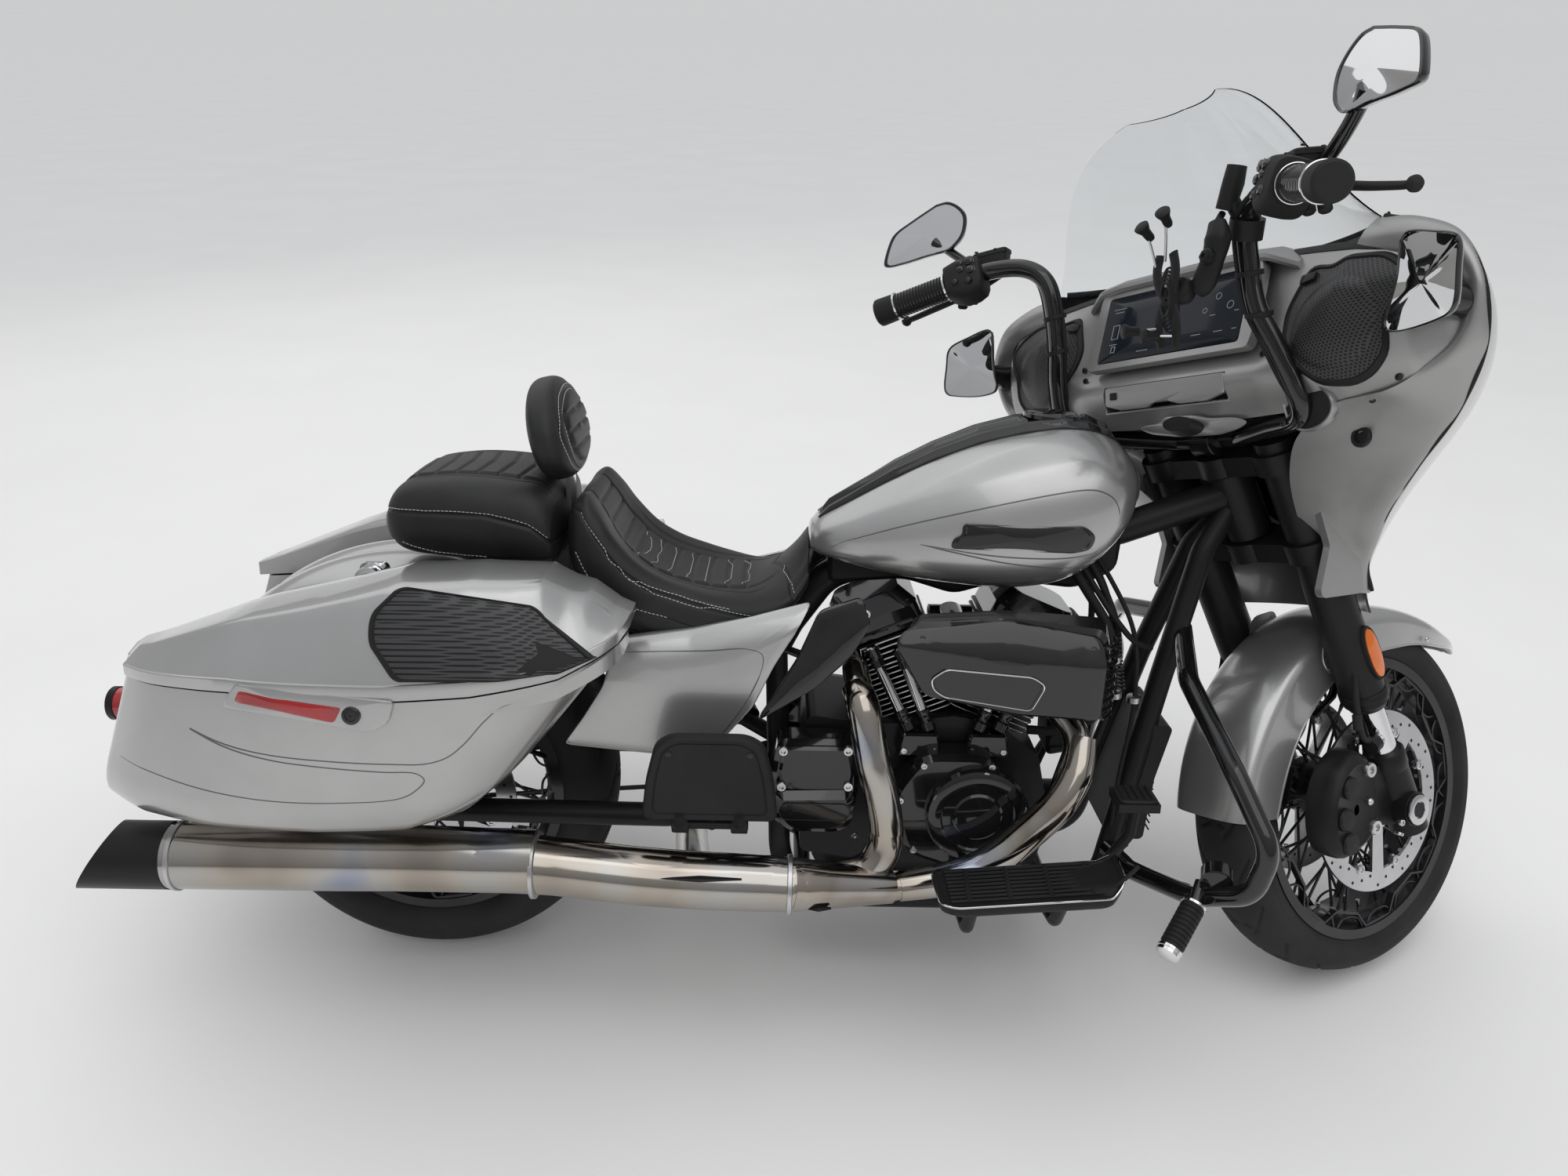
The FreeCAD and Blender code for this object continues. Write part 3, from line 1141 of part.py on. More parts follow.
BAG_SIDE = ((-432, 440), (-330, 414), (-73, 402), (95, 406), (180, 456), (296, 588), (388, 700), (300, 664), (180, 645),
            (60, 637), (-165, 640), (-364, 626))
LID_SIDE = ((-372, 630), (-165, 644), (60, 641), (180, 649), (300, 668), (384, 706), (362, 736), (268, 786), (60, 784),
            (-60, 752), (-335, 660))
BAG_PLAN = ((396, 200), (392, 330), (330, 392), (110, 415), (-150, 410), (-330, 360), (-436, 292), (-440, 200))
BAG_END = ((200, 396), (352, 398), (400, 470), (415, 600), (415, 668), (336, 800), (200, 800))


def inset_wire(wire, inset):
    return wire.makeOffset2D(-inset, 0, False, False) if inset else wire


def bag_solid(side, inset, radius, plan=BAG_PLAN, grow_plan=0.0):
    """Common part of the three views, each drawn in by the inset."""
    views = (
        (outline([(x, 0, z) for x, z in side], radius), V(0, -600, 0)),
        (outline([(x, -y, 0) for x, y in plan], 60), V(0, 0, 1000)),
        (outline([(-600, -y, z) for y, z in BAG_END], 40), V(1200, 0, 0)))
    solids = []
    for wire, step in views:
        face = Part.Face(inset_wire(wire, inset))
        solids.append(face.extrude(step))
    return solids[0].common(solids[1]).common(solids[2])


outer_box = bag_solid(BAG_SIDE, 0, 26)
inner_box = bag_solid(BAG_SIDE, s.bag_wall, 22)
over_rim = [(x, z + 60) if i >= 6 else (x, z) for i, (x, z) in enumerate(BAG_SIDE)]
mouth = bag_solid(over_rim, s.bag_wall, 22)
bag = outer_box.cut(mouth.fuse(inner_box))
HINGE_X = (30, 210)


def hinge_arm(x):
    """Arm on the bag's inner face that carries the lid's pin."""
    y = -s.lid_hinge_y
    foot = Part.makeBox(12, 16, 56, V(x - 6, y - 10, 574))
    post = Part.makeBox(12, 12, s.lid_hinge_z - 590, V(x - 6, y - 6, 590))
    eye = Part.makeCylinder(8, 12, V(x - 6, y, s.lid_hinge_z), X)
    return foot.multiFuse([post, eye, Part.makeCylinder(4, 36, V(x - 18, y, s.lid_hinge_z), X)])


def hinge_knuckles(x):
    """Two eyes on the lid, one on each side of the bag's arm."""
    y, z = -s.lid_hinge_y, s.lid_hinge_z
    solids = []
    for x0 in (x - 16, x + 6.5):
        eye = Part.makeCylinder(8, 9.5, V(x0, y, z), X).fuse(Part.makeBox(9.5, 11, 12, V(x0, y - 11, z - 6)))
        solids.append(eye.cut(Part.makeCylinder(4 + s.run_gap, 12, V(x0 - 1, y, z), X)))
    return solids


bag = bag.multiFuse([hinge_arm(x) for x in HINGE_X])
keep("bag_right", bag)
keep("bag_left", mirrored(bag))

lid_outer = bag_solid(LID_SIDE, 0, 16)
under_rim = [(x, z - 60) if i <= 5 else (x, z) for i, (x, z) in enumerate(LID_SIDE)]
lid_cavity = bag_solid(under_rim, s.bag_wall, 14)
lid = lid_outer.cut(lid_cavity).multiFuse(sum([hinge_knuckles(x) for x in HINGE_X], []))
keep("lid_right", lid)
keep("lid_left", mirrored(lid))

# Rear fender, lamps, plate bracket and the docking posts

def rear_section(angle, inner_r, half_w, depth):
    wall = 3
    c, sn = math.cos(math.radians(angle)), math.sin(math.radians(angle))

    def spot(y, r):
        return V(r * c, y, s.rear_tyre_r + r * sn)

    rows = []
    for w, r in ((half_w, inner_r + wall), (half_w - wall, inner_r)):
        rows.append((spot(-w, r - depth), spot(-w, r - 34), spot(-w * 0.72, r - 9), spot(0, r),
                     spot(w * 0.72, r - 9), spot(w, r - 34), spot(w, r - depth)))
    out, inn = rows
    return Part.Wire([Part.makeLine(out[0], out[1]), Part.Arc(out[1], out[2], out[3]).toShape(),
                      Part.Arc(out[3], out[4], out[5]).toShape(), Part.makeLine(out[5], out[6]),
                      Part.makeLine(out[6], inn[6]), Part.makeLine(inn[6], inn[5]),
                      Part.Arc(inn[5], inn[4], inn[3]).toShape(), Part.Arc(inn[3], inn[2], inn[1]).toShape(),
                      Part.makeLine(inn[1], inn[0]), Part.makeLine(inn[0], out[0])])


REAR_FENDER = (  # angle about the axle, gap to the tyre, half width, depth of the sides
    (74, 72, 126, 90), (92, 84, 132, 110), (112, 92, 134, 124), (132, 96, 134, 130), (152, 96, 134, 120),
    (172, 98, 132, 96))
rear_fender = loft([rear_section(angle, s.rear_tyre_r + gap, w, deep) for angle, gap, w, deep in REAR_FENDER])
keep("rear_fender", rear_fender)

lamps = [Part.makeCylinder(26, 30, V(-470, y, 520), X) for y in (-160, 160)]
lamp_bar = Part.makeBox(10, 372, 60, V(-440 + s.seat_gap, -186, 490))
tail = Part.makeBox(20, 190, 18, V(-460, -95, 512))
plate_holder = Part.makeBox(5, 190, 132, V(-440 + s.seat_gap, -95, 358))
keep("tail_lamps", Part.makeCompound(lamps + [tail]))
foot = Part.makeBox(40, 60, 30, V(-440 + s.seat_gap, -30, 396)).cut(rear_fender)
foot = min(foot.Solids, key=lambda solid: solid.BoundBox.XMin)
keep("plate_bracket", join(plate_holder, lamp_bar, foot))

# Backrest bracket and docking posts

bracket = Part.makeBox(8, 52, 884 - s.seat_gap - 631, V(254 + s.seat_gap, -26, 631)).cut(frame)
DOCK = (-34, 140, 30, 742, 16)  # x, y where it starts, length, z, radius
dock = Part.makeCylinder(DOCK[4], DOCK[2] + 2, V(DOCK[0], -DOCK[1] - DOCK[2], DOCK[3]), Y)
dock_plate = side_plate(((-62, 662), (-6, 662), (-12, 760), (-56, 760)), -DOCK[1], -130, 10).cut(rear_fender)
dock = dock.fuse(max(dock_plate.Solids, key=lambda solid: -solid.BoundBox.YMin))
docks = [dock, mirrored(dock)]
keep("backrest_bracket", Part.makeCompound([bracket] + docks))

# Swingarm, shocks and belt

arm = tube(((s.swingarm_x, -50, 325), (535, -110, 324), (430, -s.swingarm_y, 324), (0, -s.swingarm_y, s.rear_tyre_r)),
           20, 80)
pivot = Part.makeCylinder(24, 140, V(s.swingarm_x, -70, 325), Y)
axle_end = s.swingarm_y + 30
rear_axle = Part.makeCylinder(s.axle_r, 2 * axle_end, V(0, -axle_end, s.rear_tyre_r), Y)
shock = rod((60, -s.swingarm_y, 350), (212, -s.swingarm_y, 600), 22)
keep("swingarm", join(arm, mirrored(arm), pivot, rear_axle, shock, mirrored(shock)).cut(frame))

front_pulley_x, front_pulley_r, belt_t = 640, 52, 3
rise = s.pulley_r - front_pulley_r
loop = [V(0, s.belt_y + 1, s.rear_tyre_r + s.pulley_r + belt_t), V(front_pulley_x, s.belt_y + 1, 325 + front_pulley_r + belt_t),
        V(front_pulley_x + front_pulley_r + belt_t, s.belt_y + 1, 325),
        V(front_pulley_x, s.belt_y + 1, 325 - front_pulley_r - belt_t),
        V(0, s.belt_y + 1, s.rear_tyre_r - s.pulley_r - belt_t), V(-s.pulley_r - belt_t, s.belt_y + 1, s.rear_tyre_r)]
belt_outer = Part.Wire([Part.makeLine(loop[0], loop[1]), Part.Arc(loop[1], loop[2], loop[3]).toShape(),
                        Part.makeLine(loop[3], loop[4]), Part.Arc(loop[4], loop[5], loop[0]).toShape()])
belt = Part.Face(belt_outer).extrude(V(0, s.belt_w, 0))
belt = belt.cut(Part.Face(belt_outer.makeOffset2D(-belt_t + s.seat_gap)).extrude(V(0, s.belt_w, 0)))
belt = belt.cut(Part.makeCylinder(s.pulley_r + s.run_gap, 60, V(0, s.belt_y - 10, s.rear_tyre_r), Y))
keep("drive_belt", belt)

# Guards, boards and foot controls

guard = tube(((1296, -40, 640), (1262, -190, 604), (1290, -352, 520), (1330, -416, 430), (1318, -404, 350),
              (1262, -330, 300), (1206, -190, 262), (1190, -112, 256)), s.guard_r, 60)
peg = join(rod((1268, -336, 330), (1252, -360, 306), 10), rod((1252, -360, 306), (1206, -408, 262), 15))
keep("engine_guard", join(guard, mirrored(guard), peg, mirrored(peg)).cut(frame))

chin = side_plate(((1190, 262), (1256, 262), (1264, 380), (1286, 480), (1240, 480)), -88, 88, 10)
keep("chin_guard", chin.cut(frame))

board_rows = ((862, 296), (1128, 318), (1164, 350), (1150, 362), (1118, 330), (864, 308))
board_body = plate_body("floorboard", board_rows, -388, -286, 3)
doc.recompute()
board = board_body.Shape
keep("floorboards", group("floorboards", board_body, other_side(board_body)))
board_arm = tube(((1080, -118, 158), (1080, -220, 180), (1080, -310, 318)), 11, 30)
rear_arm = tube(((930, -118, 158), (930, -240, 176), (930, -312, 305)), 11, 30)
pax_arm = tube(((566, -80, 414), (540, -200, 408), (508, -288, 388)), 11, 30)
pax_pin = Part.makeCylinder(7, 120, V(448, -288, 388), X)
cut_by = Part.makeCompound([frame, pair(board)])
brackets = [arm_solid.cut(cut_by) for arm_solid in (board_arm, rear_arm, join(pax_arm, pax_pin))]
brackets = [max(b.Solids, key=lambda solid: solid.Volume) for b in brackets]
keep("board_brackets", Part.makeCompound(brackets + [mirrored(b) for b in brackets]))

PAX_BOARD = ((404, 405), (612, 405), (590, 528), (566, 538), (448, 538), (424, 528))
pax_board = side_plate(PAX_BOARD, -300, -300 + s.board_t, 12)
knuckles = [Part.makeCylinder(13, 22, V(x, -288, 388), X).fuse(Part.makeBox(22, 16, 30, V(x, -296, 388))) for x in (451, 543)]
pax_board = join(pax_board, *knuckles).cut(Part.makeCylinder(7 + s.run_gap, 200, V(408, -288, 388), X))
keep("passenger_board_right", pax_board)
keep("passenger_board_left", mirrored(pax_board))

brake = tube(((1100, -118, 172), (1120, -230, 250), (1172, -266, 372), (1176, -270, 430)), 9, 30).cut(frame)
brake_pad = Part.makeBox(64, 60, 14, V(1140, -300, 427))
shift = tube(((1100, 118, 172), (1120, 230, 250), (1184, 262, 340), (1200, 270, 400)), 8, 30).cut(frame)
shift_peg = Part.makeCylinder(12, 64, V(1200, 262, 408), Y)
keep("foot_controls", Part.makeCompound([join(brake, brake_pad), join(shift, shift_peg)]))

def export():
    doc.recompute()
    for thing in doc.Objects:
        if "Invalid" in thing.State or "Error" in thing.State:
            raise RuntimeError("%s failed to build" % thing.Label)
    box = FreeCAD.BoundBox()
    for piece in nodes:
        if piece.Shape.isNull() or not piece.Shape.isValid():
            raise RuntimeError("%s has a broken shape" % piece.Label)
        box.add(piece.Shape.optimalBoundingBox(False))
    centre = FreeCAD.Placement(V(-box.Center.x, -box.Center.y, -box.ZMin), FreeCAD.Rotation())
    for piece in nodes:
        piece.Placement = centre.multiply(piece.Placement)
    doc.recompute()
    os.makedirs("parts", exist_ok=True)
    for piece in nodes:
        piece.Shape.exportStep("parts/%s.step" % piece.Label)
    print("pieces %d, box %.0f x %.0f x %.0f" % (len(nodes), box.XLength, box.YLength, box.ZLength))
    return centre


CENTRE = export()
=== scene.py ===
"""Looks of a touring cruiser motorcycle on its side stand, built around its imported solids.

Points are written in millimetres on the upright machine with the steering straight: x forward from the
rear axle, y to the left, z up from the ground. `chassis` and `steered` carry them to where they stand.
"""

import json
import math

import bmesh
import bpy
import numpy as np
from mathutils import Matrix, Vector


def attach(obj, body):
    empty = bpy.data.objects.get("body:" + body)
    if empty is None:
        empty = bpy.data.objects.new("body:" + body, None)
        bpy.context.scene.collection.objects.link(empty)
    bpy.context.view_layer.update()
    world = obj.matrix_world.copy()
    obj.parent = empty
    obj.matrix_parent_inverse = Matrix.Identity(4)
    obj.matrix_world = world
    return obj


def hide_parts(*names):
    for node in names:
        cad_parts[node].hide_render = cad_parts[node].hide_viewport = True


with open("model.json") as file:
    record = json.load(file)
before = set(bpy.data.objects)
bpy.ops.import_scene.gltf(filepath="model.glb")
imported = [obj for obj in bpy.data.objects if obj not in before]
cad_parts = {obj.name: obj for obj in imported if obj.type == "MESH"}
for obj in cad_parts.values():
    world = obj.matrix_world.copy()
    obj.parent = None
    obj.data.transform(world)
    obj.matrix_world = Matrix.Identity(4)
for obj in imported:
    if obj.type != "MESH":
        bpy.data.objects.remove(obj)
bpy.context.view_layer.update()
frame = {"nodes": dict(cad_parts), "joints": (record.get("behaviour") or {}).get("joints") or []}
JOINT = {j["name"]: j for j in frame["joints"]}
RAKE = math.radians(26)
REAR_R, FRONT_R, WHEELBASE = 328.0, 319.0, 1625.0
REAR_HUB, FRONT_HUB = (0, 0, REAR_R), (WHEELBASE, 0, FRONT_R)
FORK_LOW = 1637.0  # x of the legs' line at the axle's height


# Where the upright machine stands

class Carrier:
    """Carries upright millimetres to the row frame: points / 1000 times the axes, plus the origin."""

    def __init__(self, axes, through, at):
        self.axes = np.array(axes, float)
        self.origin = np.array(at, float) - np.array(through, float) / 1000 @ self.axes

    def __call__(self, points):
        return np.asarray(points, float) / 1000 @ self.axes + self.origin


def chassis_carrier():
    """Axes from a lid's hinge and the rear axle."""
    x = np.array(JOINT["lid_left_hinge"]["axis"])
    y = np.array(JOINT["rear_wheel_spin"]["axis"])
    return Carrier([x, y, np.cross(x, y)], REAR_HUB, JOINT["rear_wheel_spin"]["pos_m"])


def steered_carrier():
    """Axes from the steering axis and the front axle."""
    a = np.array(JOINT["steering"]["axis"])
    y = np.array(JOINT["front_wheel_spin"]["axis"])
    b = np.cross(y, a)
    s, c = math.sin(RAKE), math.cos(RAKE)
    return Carrier([s * a - c * b, y, -c * a - s * b], FRONT_HUB, JOINT["front_wheel_spin"]["pos_m"])


chassis, steered = chassis_carrier(), steered_carrier()
CARRIER = {"steering": steered, "front_wheel": steered, "storage_door": steered}


# Shader groups and finishes

def new_group(name, inputs, outputs):
    """A shader group with named sockets: (name, kind, default) in and (name, kind) out."""
    tree = bpy.data.node_groups.new(name, "ShaderNodeTree")
    for label, kind, default in inputs:
        socket = tree.interface.new_socket(label, in_out="INPUT", socket_type="NodeSocket" + kind)
        socket.default_value = default
    for label, kind in outputs:
        tree.interface.new_socket(label, in_out="OUTPUT", socket_type="NodeSocket" + kind)
    return tree, tree.nodes.new("NodeGroupInput"), tree.nodes.new("NodeGroupOutput")


def node(tree, kind, links=None, **settings):
    """A shader node with its settings, its input values and its links."""
    made = tree.nodes.new("ShaderNode" + kind)
    for key, value in settings.items():
        setattr(made, key, value)
    for key, value in (links or {}).items():
        if isinstance(value, bpy.types.NodeSocket):
            tree.links.new(value, made.inputs[key])
        else:
            made.inputs[key].default_value = value
    return made


def colour_mix(tree, factor, a, b):
    """A mix of two colours by a factor; each may be a value or a socket."""
    mix = node(tree, "Mix", data_type="RGBA")
    for index, value in ((0, factor), (6, a), (7, b)):
        if isinstance(value, bpy.types.NodeSocket):
            tree.links.new(value, mix.inputs[index])
        else:
            mix.inputs[index].default_value = value
    return mix.outputs[2]


def mottle_group():
    """Slow noise that shifts a colour and a roughness a little, with fine grain as height."""
    tree, enter, leave = new_group(
        "mottle", (("Colour", "Color", (0.5, 0.5, 0.5, 1)), ("Other", "Color", (0.4, 0.4, 0.4, 1)),
                   ("Roughness", "Float", 0.4), ("Spread", "Float", 0.08), ("Scale", "Float", 9.0),
                   ("Grain scale", "Float", 900.0)), (("Colour", "Color"), ("Roughness", "Float"),
                                                      ("Height", "Float")))
    where = node(tree, "TexCoord").outputs["Object"]
    slow = node(tree, "TexNoise", {"Vector": where, "Scale": enter.outputs["Scale"], "Detail": 4.0})
    fine = node(tree, "TexNoise", {"Vector": where, "Scale": enter.outputs["Grain scale"], "Detail": 2.0})
    shift = node(tree, "MapRange", {"Value": slow.outputs["Fac"], "From Min": 0.35, "From Max": 0.65})
    tree.links.new(colour_mix(tree, shift.outputs[0], enter.outputs["Colour"], enter.outputs["Other"]),
                   leave.inputs["Colour"])
    swing = node(tree, "Math", {0: slow.outputs["Fac"], 1: 0.5}, operation="SUBTRACT")
    rough = node(tree, "Math", {0: swing.outputs[0], 1: enter.outputs["Spread"],
                                2: enter.outputs["Roughness"]}, operation="MULTIPLY_ADD")
    tree.links.new(rough.outputs[0], leave.inputs["Roughness"])
    tree.links.new(fine.outputs["Fac"], leave.inputs["Height"])
    return tree


MOTTLE = mottle_group()


def finish(name, colour, other=None, rough=0.4, metal=0.0, coat=0.0, grain=900.0, bump=0.0, spread=0.08,
           scale=9.0, **sockets):
    """A finish from the mottle group: two near colours, varied roughness and a fine bump."""
    made = bpy.data.materials.new(name)
    made.use_nodes = True
    tree = made.node_tree
    shader = tree.nodes["Principled BSDF"]
    other = other or tuple(c * 0.86 for c in colour)
    mottle = node(tree, "Group", node_tree=MOTTLE)
    values = {"Colour": (*colour, 1), "Other": (*other, 1), "Roughness": rough, "Spread": spread,
              "Scale": scale, "Grain scale": grain}
    for key, value in values.items():
        mottle.inputs[key].default_value = value
    tree.links.new(mottle.outputs["Colour"], shader.inputs["Base Color"])
    tree.links.new(mottle.outputs["Roughness"], shader.inputs["Roughness"])
    if bump:
        lift = node(tree, "Bump", {"Height": mottle.outputs["Height"], "Strength": bump,
                                   "Distance": 0.0004})
        tree.links.new(lift.outputs[0], shader.inputs["Normal"])
    shader.inputs["Metallic"].default_value = metal
    shader.inputs["Coat Weight"].default_value = coat
    shader.inputs["Coat Roughness"].default_value = 0.04
    for key, value in sockets.items():
        shader.inputs[key.replace("_", " ")].default_value = value
    return made


def parts_of(material):
    """A finish's tree, its shader and the group that feeds it."""
    tree = material.node_tree
    return tree, tree.nodes["Principled BSDF"], tree.nodes["Group"]


silver = finish("silver_paint", (0.44, 0.438, 0.432), (0.41, 0.408, 0.402), 0.30, 0.75, 1.0,
                2600, 0.03, 0.03)
satin_silver = finish("satin_silver", (0.36, 0.358, 0.352), (0.335, 0.333, 0.328), 0.38, 0.7,
                      0.3, 2200, 0.03)
# Dark line paint: real painted lines on the tank and bags, and painted groove shade on the side covers.
stripe_and_groove_shade = finish("pinstripe_and_groove_shade", (0.10, 0.102, 0.108), None, 0.35, 0.5, 1.0)
DIM = {"Specular_IOR_Level": 0.22}
gloss_black = finish("gloss_black", (0.006, 0.006, 0.0065), (0.009, 0.009, 0.0095), 0.14, 0.0, 0.9, **DIM)
satin_black = finish("satin_black", (0.010, 0.010, 0.0105), (0.014, 0.014, 0.0145), 0.38, 0.0, 0.0,
                     700, 0.12, **DIM)
cast_black = finish("cast_black", (0.010, 0.010, 0.0105), (0.015, 0.015, 0.0155), 0.40, 0.1, 0.05,
                    420, 0.3, **DIM)
black_plastic = finish("black_plastic", (0.011, 0.011, 0.0115), (0.015, 0.015, 0.0155), 0.45, 0.0, 0.0,
                       1300, 0.2, **DIM)
rubber = finish("rubber", (0.013, 0.013, 0.013), (0.018, 0.018, 0.0175), 0.6, 0.0, 0.0, 800, 0.25, **DIM)
tyre_rubber = finish("tyre_rubber", (0.016, 0.016, 0.0165), (0.028, 0.027, 0.026), 0.7, 0.0, 0.0,
                     500, 0.3, **DIM)
chrome = finish("chrome", (0.80, 0.80, 0.81), (0.76, 0.76, 0.77), 0.07, 1.0, 0.0, 900, 0.0, 0.03)
steel = finish("ground_steel", (0.60, 0.60, 0.61), (0.50, 0.50, 0.51), 0.28, 1.0, 0.0, 1200, 0.1)
bright_edge = finish("bright_edge", (0.66, 0.66, 0.67), (0.58, 0.58, 0.59), 0.25, 1.0)
dark_steel = finish("dark_steel", (0.055, 0.055, 0.058), (0.04, 0.04, 0.042), 0.34, 0.8, 0.2, **DIM)
mirror_glass = finish("mirror_glass", (0.86, 0.87, 0.88), (0.85, 0.86, 0.87), 0.02, 1.0, 0.0,
                      900, 0.0, 0.01)
reflector_red = finish("reflector_red", (0.36, 0.006, 0.008), (0.26, 0.003, 0.005), 0.16, 0.0, 1.0)
reflector_amber = finish("reflector_amber", (0.80, 0.20, 0.01), (0.62, 0.12, 0.005), 0.14, 0.0, 1.0)
white_print = finish("white_print", (0.75, 0.75, 0.74), None, 0.4)
thread = finish("white_thread", (0.55, 0.55, 0.54), (0.42, 0.42, 0.41), 0.7)


def glass(name, colour, rough, ior, weight=1.0, alpha=1.0):
    """Clear material: transmission at its own index and roughness."""
    made = bpy.data.materials.new(name)
    made.use_nodes = True
    shader = made.node_tree.nodes["Principled BSDF"]
    for key, value in (("Base Color", (*colour, 1)), ("Roughness", rough), ("IOR", ior),
                       ("Transmission Weight", weight), ("Alpha", alpha)):
        shader.inputs[key].default_value = value
    return made


screen_glass = glass("clear_screen", (0.93, 0.95, 0.96), 0.01, 1.2)
lens_glass = glass("lamp_lens", (0.94, 0.95, 0.97), 0.03, 1.3)


def leather():
    """Fine pebbled grain from cells, over slow creases."""
    made = finish("leather", (0.013, 0.013, 0.0135), (0.019, 0.019, 0.0195), 0.44, 0.0, 0.0, 500, 0.0, 0.12,
                  14, Specular_IOR_Level=0.32)
    tree, shader, _ = parts_of(made)
    where = node(tree, "TexCoord").outputs["Object"]
    cells = node(tree, "TexVoronoi", {"Vector": where, "Scale": 620.0}, feature="DISTANCE_TO_EDGE")
    crease = node(tree, "TexNoise", {"Vector": where, "Scale": 38.0, "Detail": 6.0})
    grain = node(tree, "Math", {0: cells.outputs["Distance"], 1: 0.35}, operation="MINIMUM")
    height = node(tree, "Math", {0: crease.outputs["Fac"], 1: 0.5, 2: grain.outputs[0]},
                  operation="MULTIPLY_ADD")
    lift = node(tree, "Bump", {"Height": height.outputs[0], "Strength": 0.5, "Distance": 0.0006})
    tree.links.new(lift.outputs[0], shader.inputs["Normal"])
    return made


leather_black = leather()


def heat_tinted():
    """Brushed steel that turns straw, brown and blue in slow patches of noise."""
    made = finish("heat_tinted_steel", (0.60, 0.58, 0.55), None, 0.13, 1.0, 0.0, 900, 0.04, 0.06)
    tree, shader, _ = parts_of(made)
    where = node(tree, "TexCoord").outputs["Object"]
    slow = node(tree, "TexNoise", {"Vector": where, "Scale": 5.0, "Detail": 2.0})
    ramp = node(tree, "ValToRGB", {"Fac": slow.outputs["Fac"]})
    stops = ((0.30, (0.30, 0.33, 0.42, 1)), (0.42, (0.44, 0.43, 0.41, 1)), (0.54, (0.42, 0.38, 0.33, 1)),
             (0.64, (0.34, 0.30, 0.26, 1)), (0.74, (0.46, 0.45, 0.44, 1)))
    ramp.color_ramp.elements[0].position, ramp.color_ramp.elements[0].color = stops[0]
    ramp.color_ramp.elements[1].position, ramp.color_ramp.elements[1].color = stops[-1]
    for position, colour in stops[1:-1]:
        ramp.color_ramp.elements.new(position).color = colour
    tree.links.new(ramp.outputs["Color"], shader.inputs["Base Color"])
    return made


pipe_steel = heat_tinted()

FINISH = {  # CAD node to finish
    "front_tyre": tyre_rubber, "rear_tyre": tyre_rubber, "front_wheel": dark_steel,
    "rear_wheel": dark_steel, "front_rotors": steel, "rear_rotor": steel, "fork_uppers": satin_black,
    "fork_tubes": chrome, "fork_lugs": satin_black, "front_calipers": satin_black, "front_fender": silver,
    "fairing_outer": silver, "headlamp": lens_glass, "fairing_inner": satin_silver,
    "storage_door": satin_silver, "windscreen": screen_glass, "display": gloss_black,
    "handlebar": gloss_black, "hand_controls": rubber, "mirrors": satin_black, "phone_mount": black_plastic,
    "main_frame": satin_black, "crankcase": cast_black, "cylinders": cast_black,
    "rocker_boxes": gloss_black, "pushrod_tubes": chrome, "engine_covers": gloss_black,
    "air_cleaner": gloss_black, "exhaust_headers": pipe_steel, "mufflers": pipe_steel,
    "muffler_tips": satin_black, "fuel_tank": silver, "tank_console": gloss_black,
    "rider_seat": leather_black, "pillion_seat": leather_black, "backrest_pad": leather_black,
    "side_covers": silver, "mid_deflectors": silver, "bag_right": silver, "bag_left": silver,
    "lid_right": silver, "lid_left": silver, "rear_fender": silver, "tail_lamps": reflector_red,
    "plate_bracket": satin_black, "backrest_bracket": chrome, "swingarm": satin_black, "drive_belt": rubber,
    "engine_guard": gloss_black, "chin_guard": black_plastic, "floorboards": rubber,
    "board_brackets": satin_black, "passenger_board_right": rubber, "passenger_board_left": rubber,
    "foot_controls": satin_black, "side_stand": satin_black,
}
for label, cad in frame["nodes"].items():
    cad.data.materials.clear()
    cad.data.materials.append(FINISH.get(label, satin_black))


# Mesh makers

def face_outwards(data):
    """Recalculates the normals of a closed mesh so that they point out."""
    work = bmesh.new()
    work.from_mesh(data)
    bmesh.ops.recalc_face_normals(work, faces=work.faces[:])
    work.to_mesh(data)
    work.free()


def mesh_piece(name, points, faces, material, body, slot=None, smooth=True, sharp=40, closed=True):
    """A named piece from points in upright millimetres, riding on a body."""
    points = CARRIER.get(body, chassis)(np.asarray(points, float).reshape(-1, 3))
    data = bpy.data.meshes.new(name)
    data.from_pydata(points.tolist(), [], [tuple(int(i) for i in f) for f in faces])
    data.materials.append(material)
    data.update()
    if closed:
        face_outwards(data)
    piece = bpy.data.objects.new(name, data)
    bpy.context.scene.collection.objects.link(piece)
    if smooth:
        data.shade_smooth()
        if sharp:
            data.set_sharp_from_angle(angle=math.radians(sharp))
    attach(piece, body)
    return piece


def grid_faces(rows, columns, wrap_u=False, wrap_v=False, start=0):
    """Quads over a grid of rows times columns, closed along u or v where asked."""
    u = np.arange(rows if wrap_u else rows - 1)
    v = np.arange(columns if wrap_v else columns - 1)
    u, v = np.meshgrid(u, v, indexing="ij")
    u2, v2 = (u + 1) % rows, (v + 1) % columns
    quads = np.stack([u * columns + v, u * columns + v2, u2 * columns + v2, u2 * columns + v], -1)
    return quads.reshape(-1, 4) + start


def curve_through(points, count):
    """Points along a centripetal curve through the given ones: cubic Hermite with shared tangents."""
    points = np.asarray(points, float)
    step = np.linalg.norm(np.diff(points, axis=0), axis=1) ** 0.5
    t = np.concatenate([[0], np.cumsum(step)])
    slope = np.gradient(points, t, axis=0)
    s = np.linspace(0, t[-1], count)
    i = np.clip(np.searchsorted(t, s, side="right") - 1, 0, len(t) - 2)
    h = (t[i + 1] - t[i])[:, None]
    w = ((s - t[i])[:, None]) / h
    return ((2 * w**3 - 3 * w**2 + 1) * points[i] + (w**3 - 2 * w**2 + w) * h * slope[i]
            + (-2 * w**3 + 3 * w**2) * points[i + 1] + (w**3 - w**2) * h * slope[i + 1])


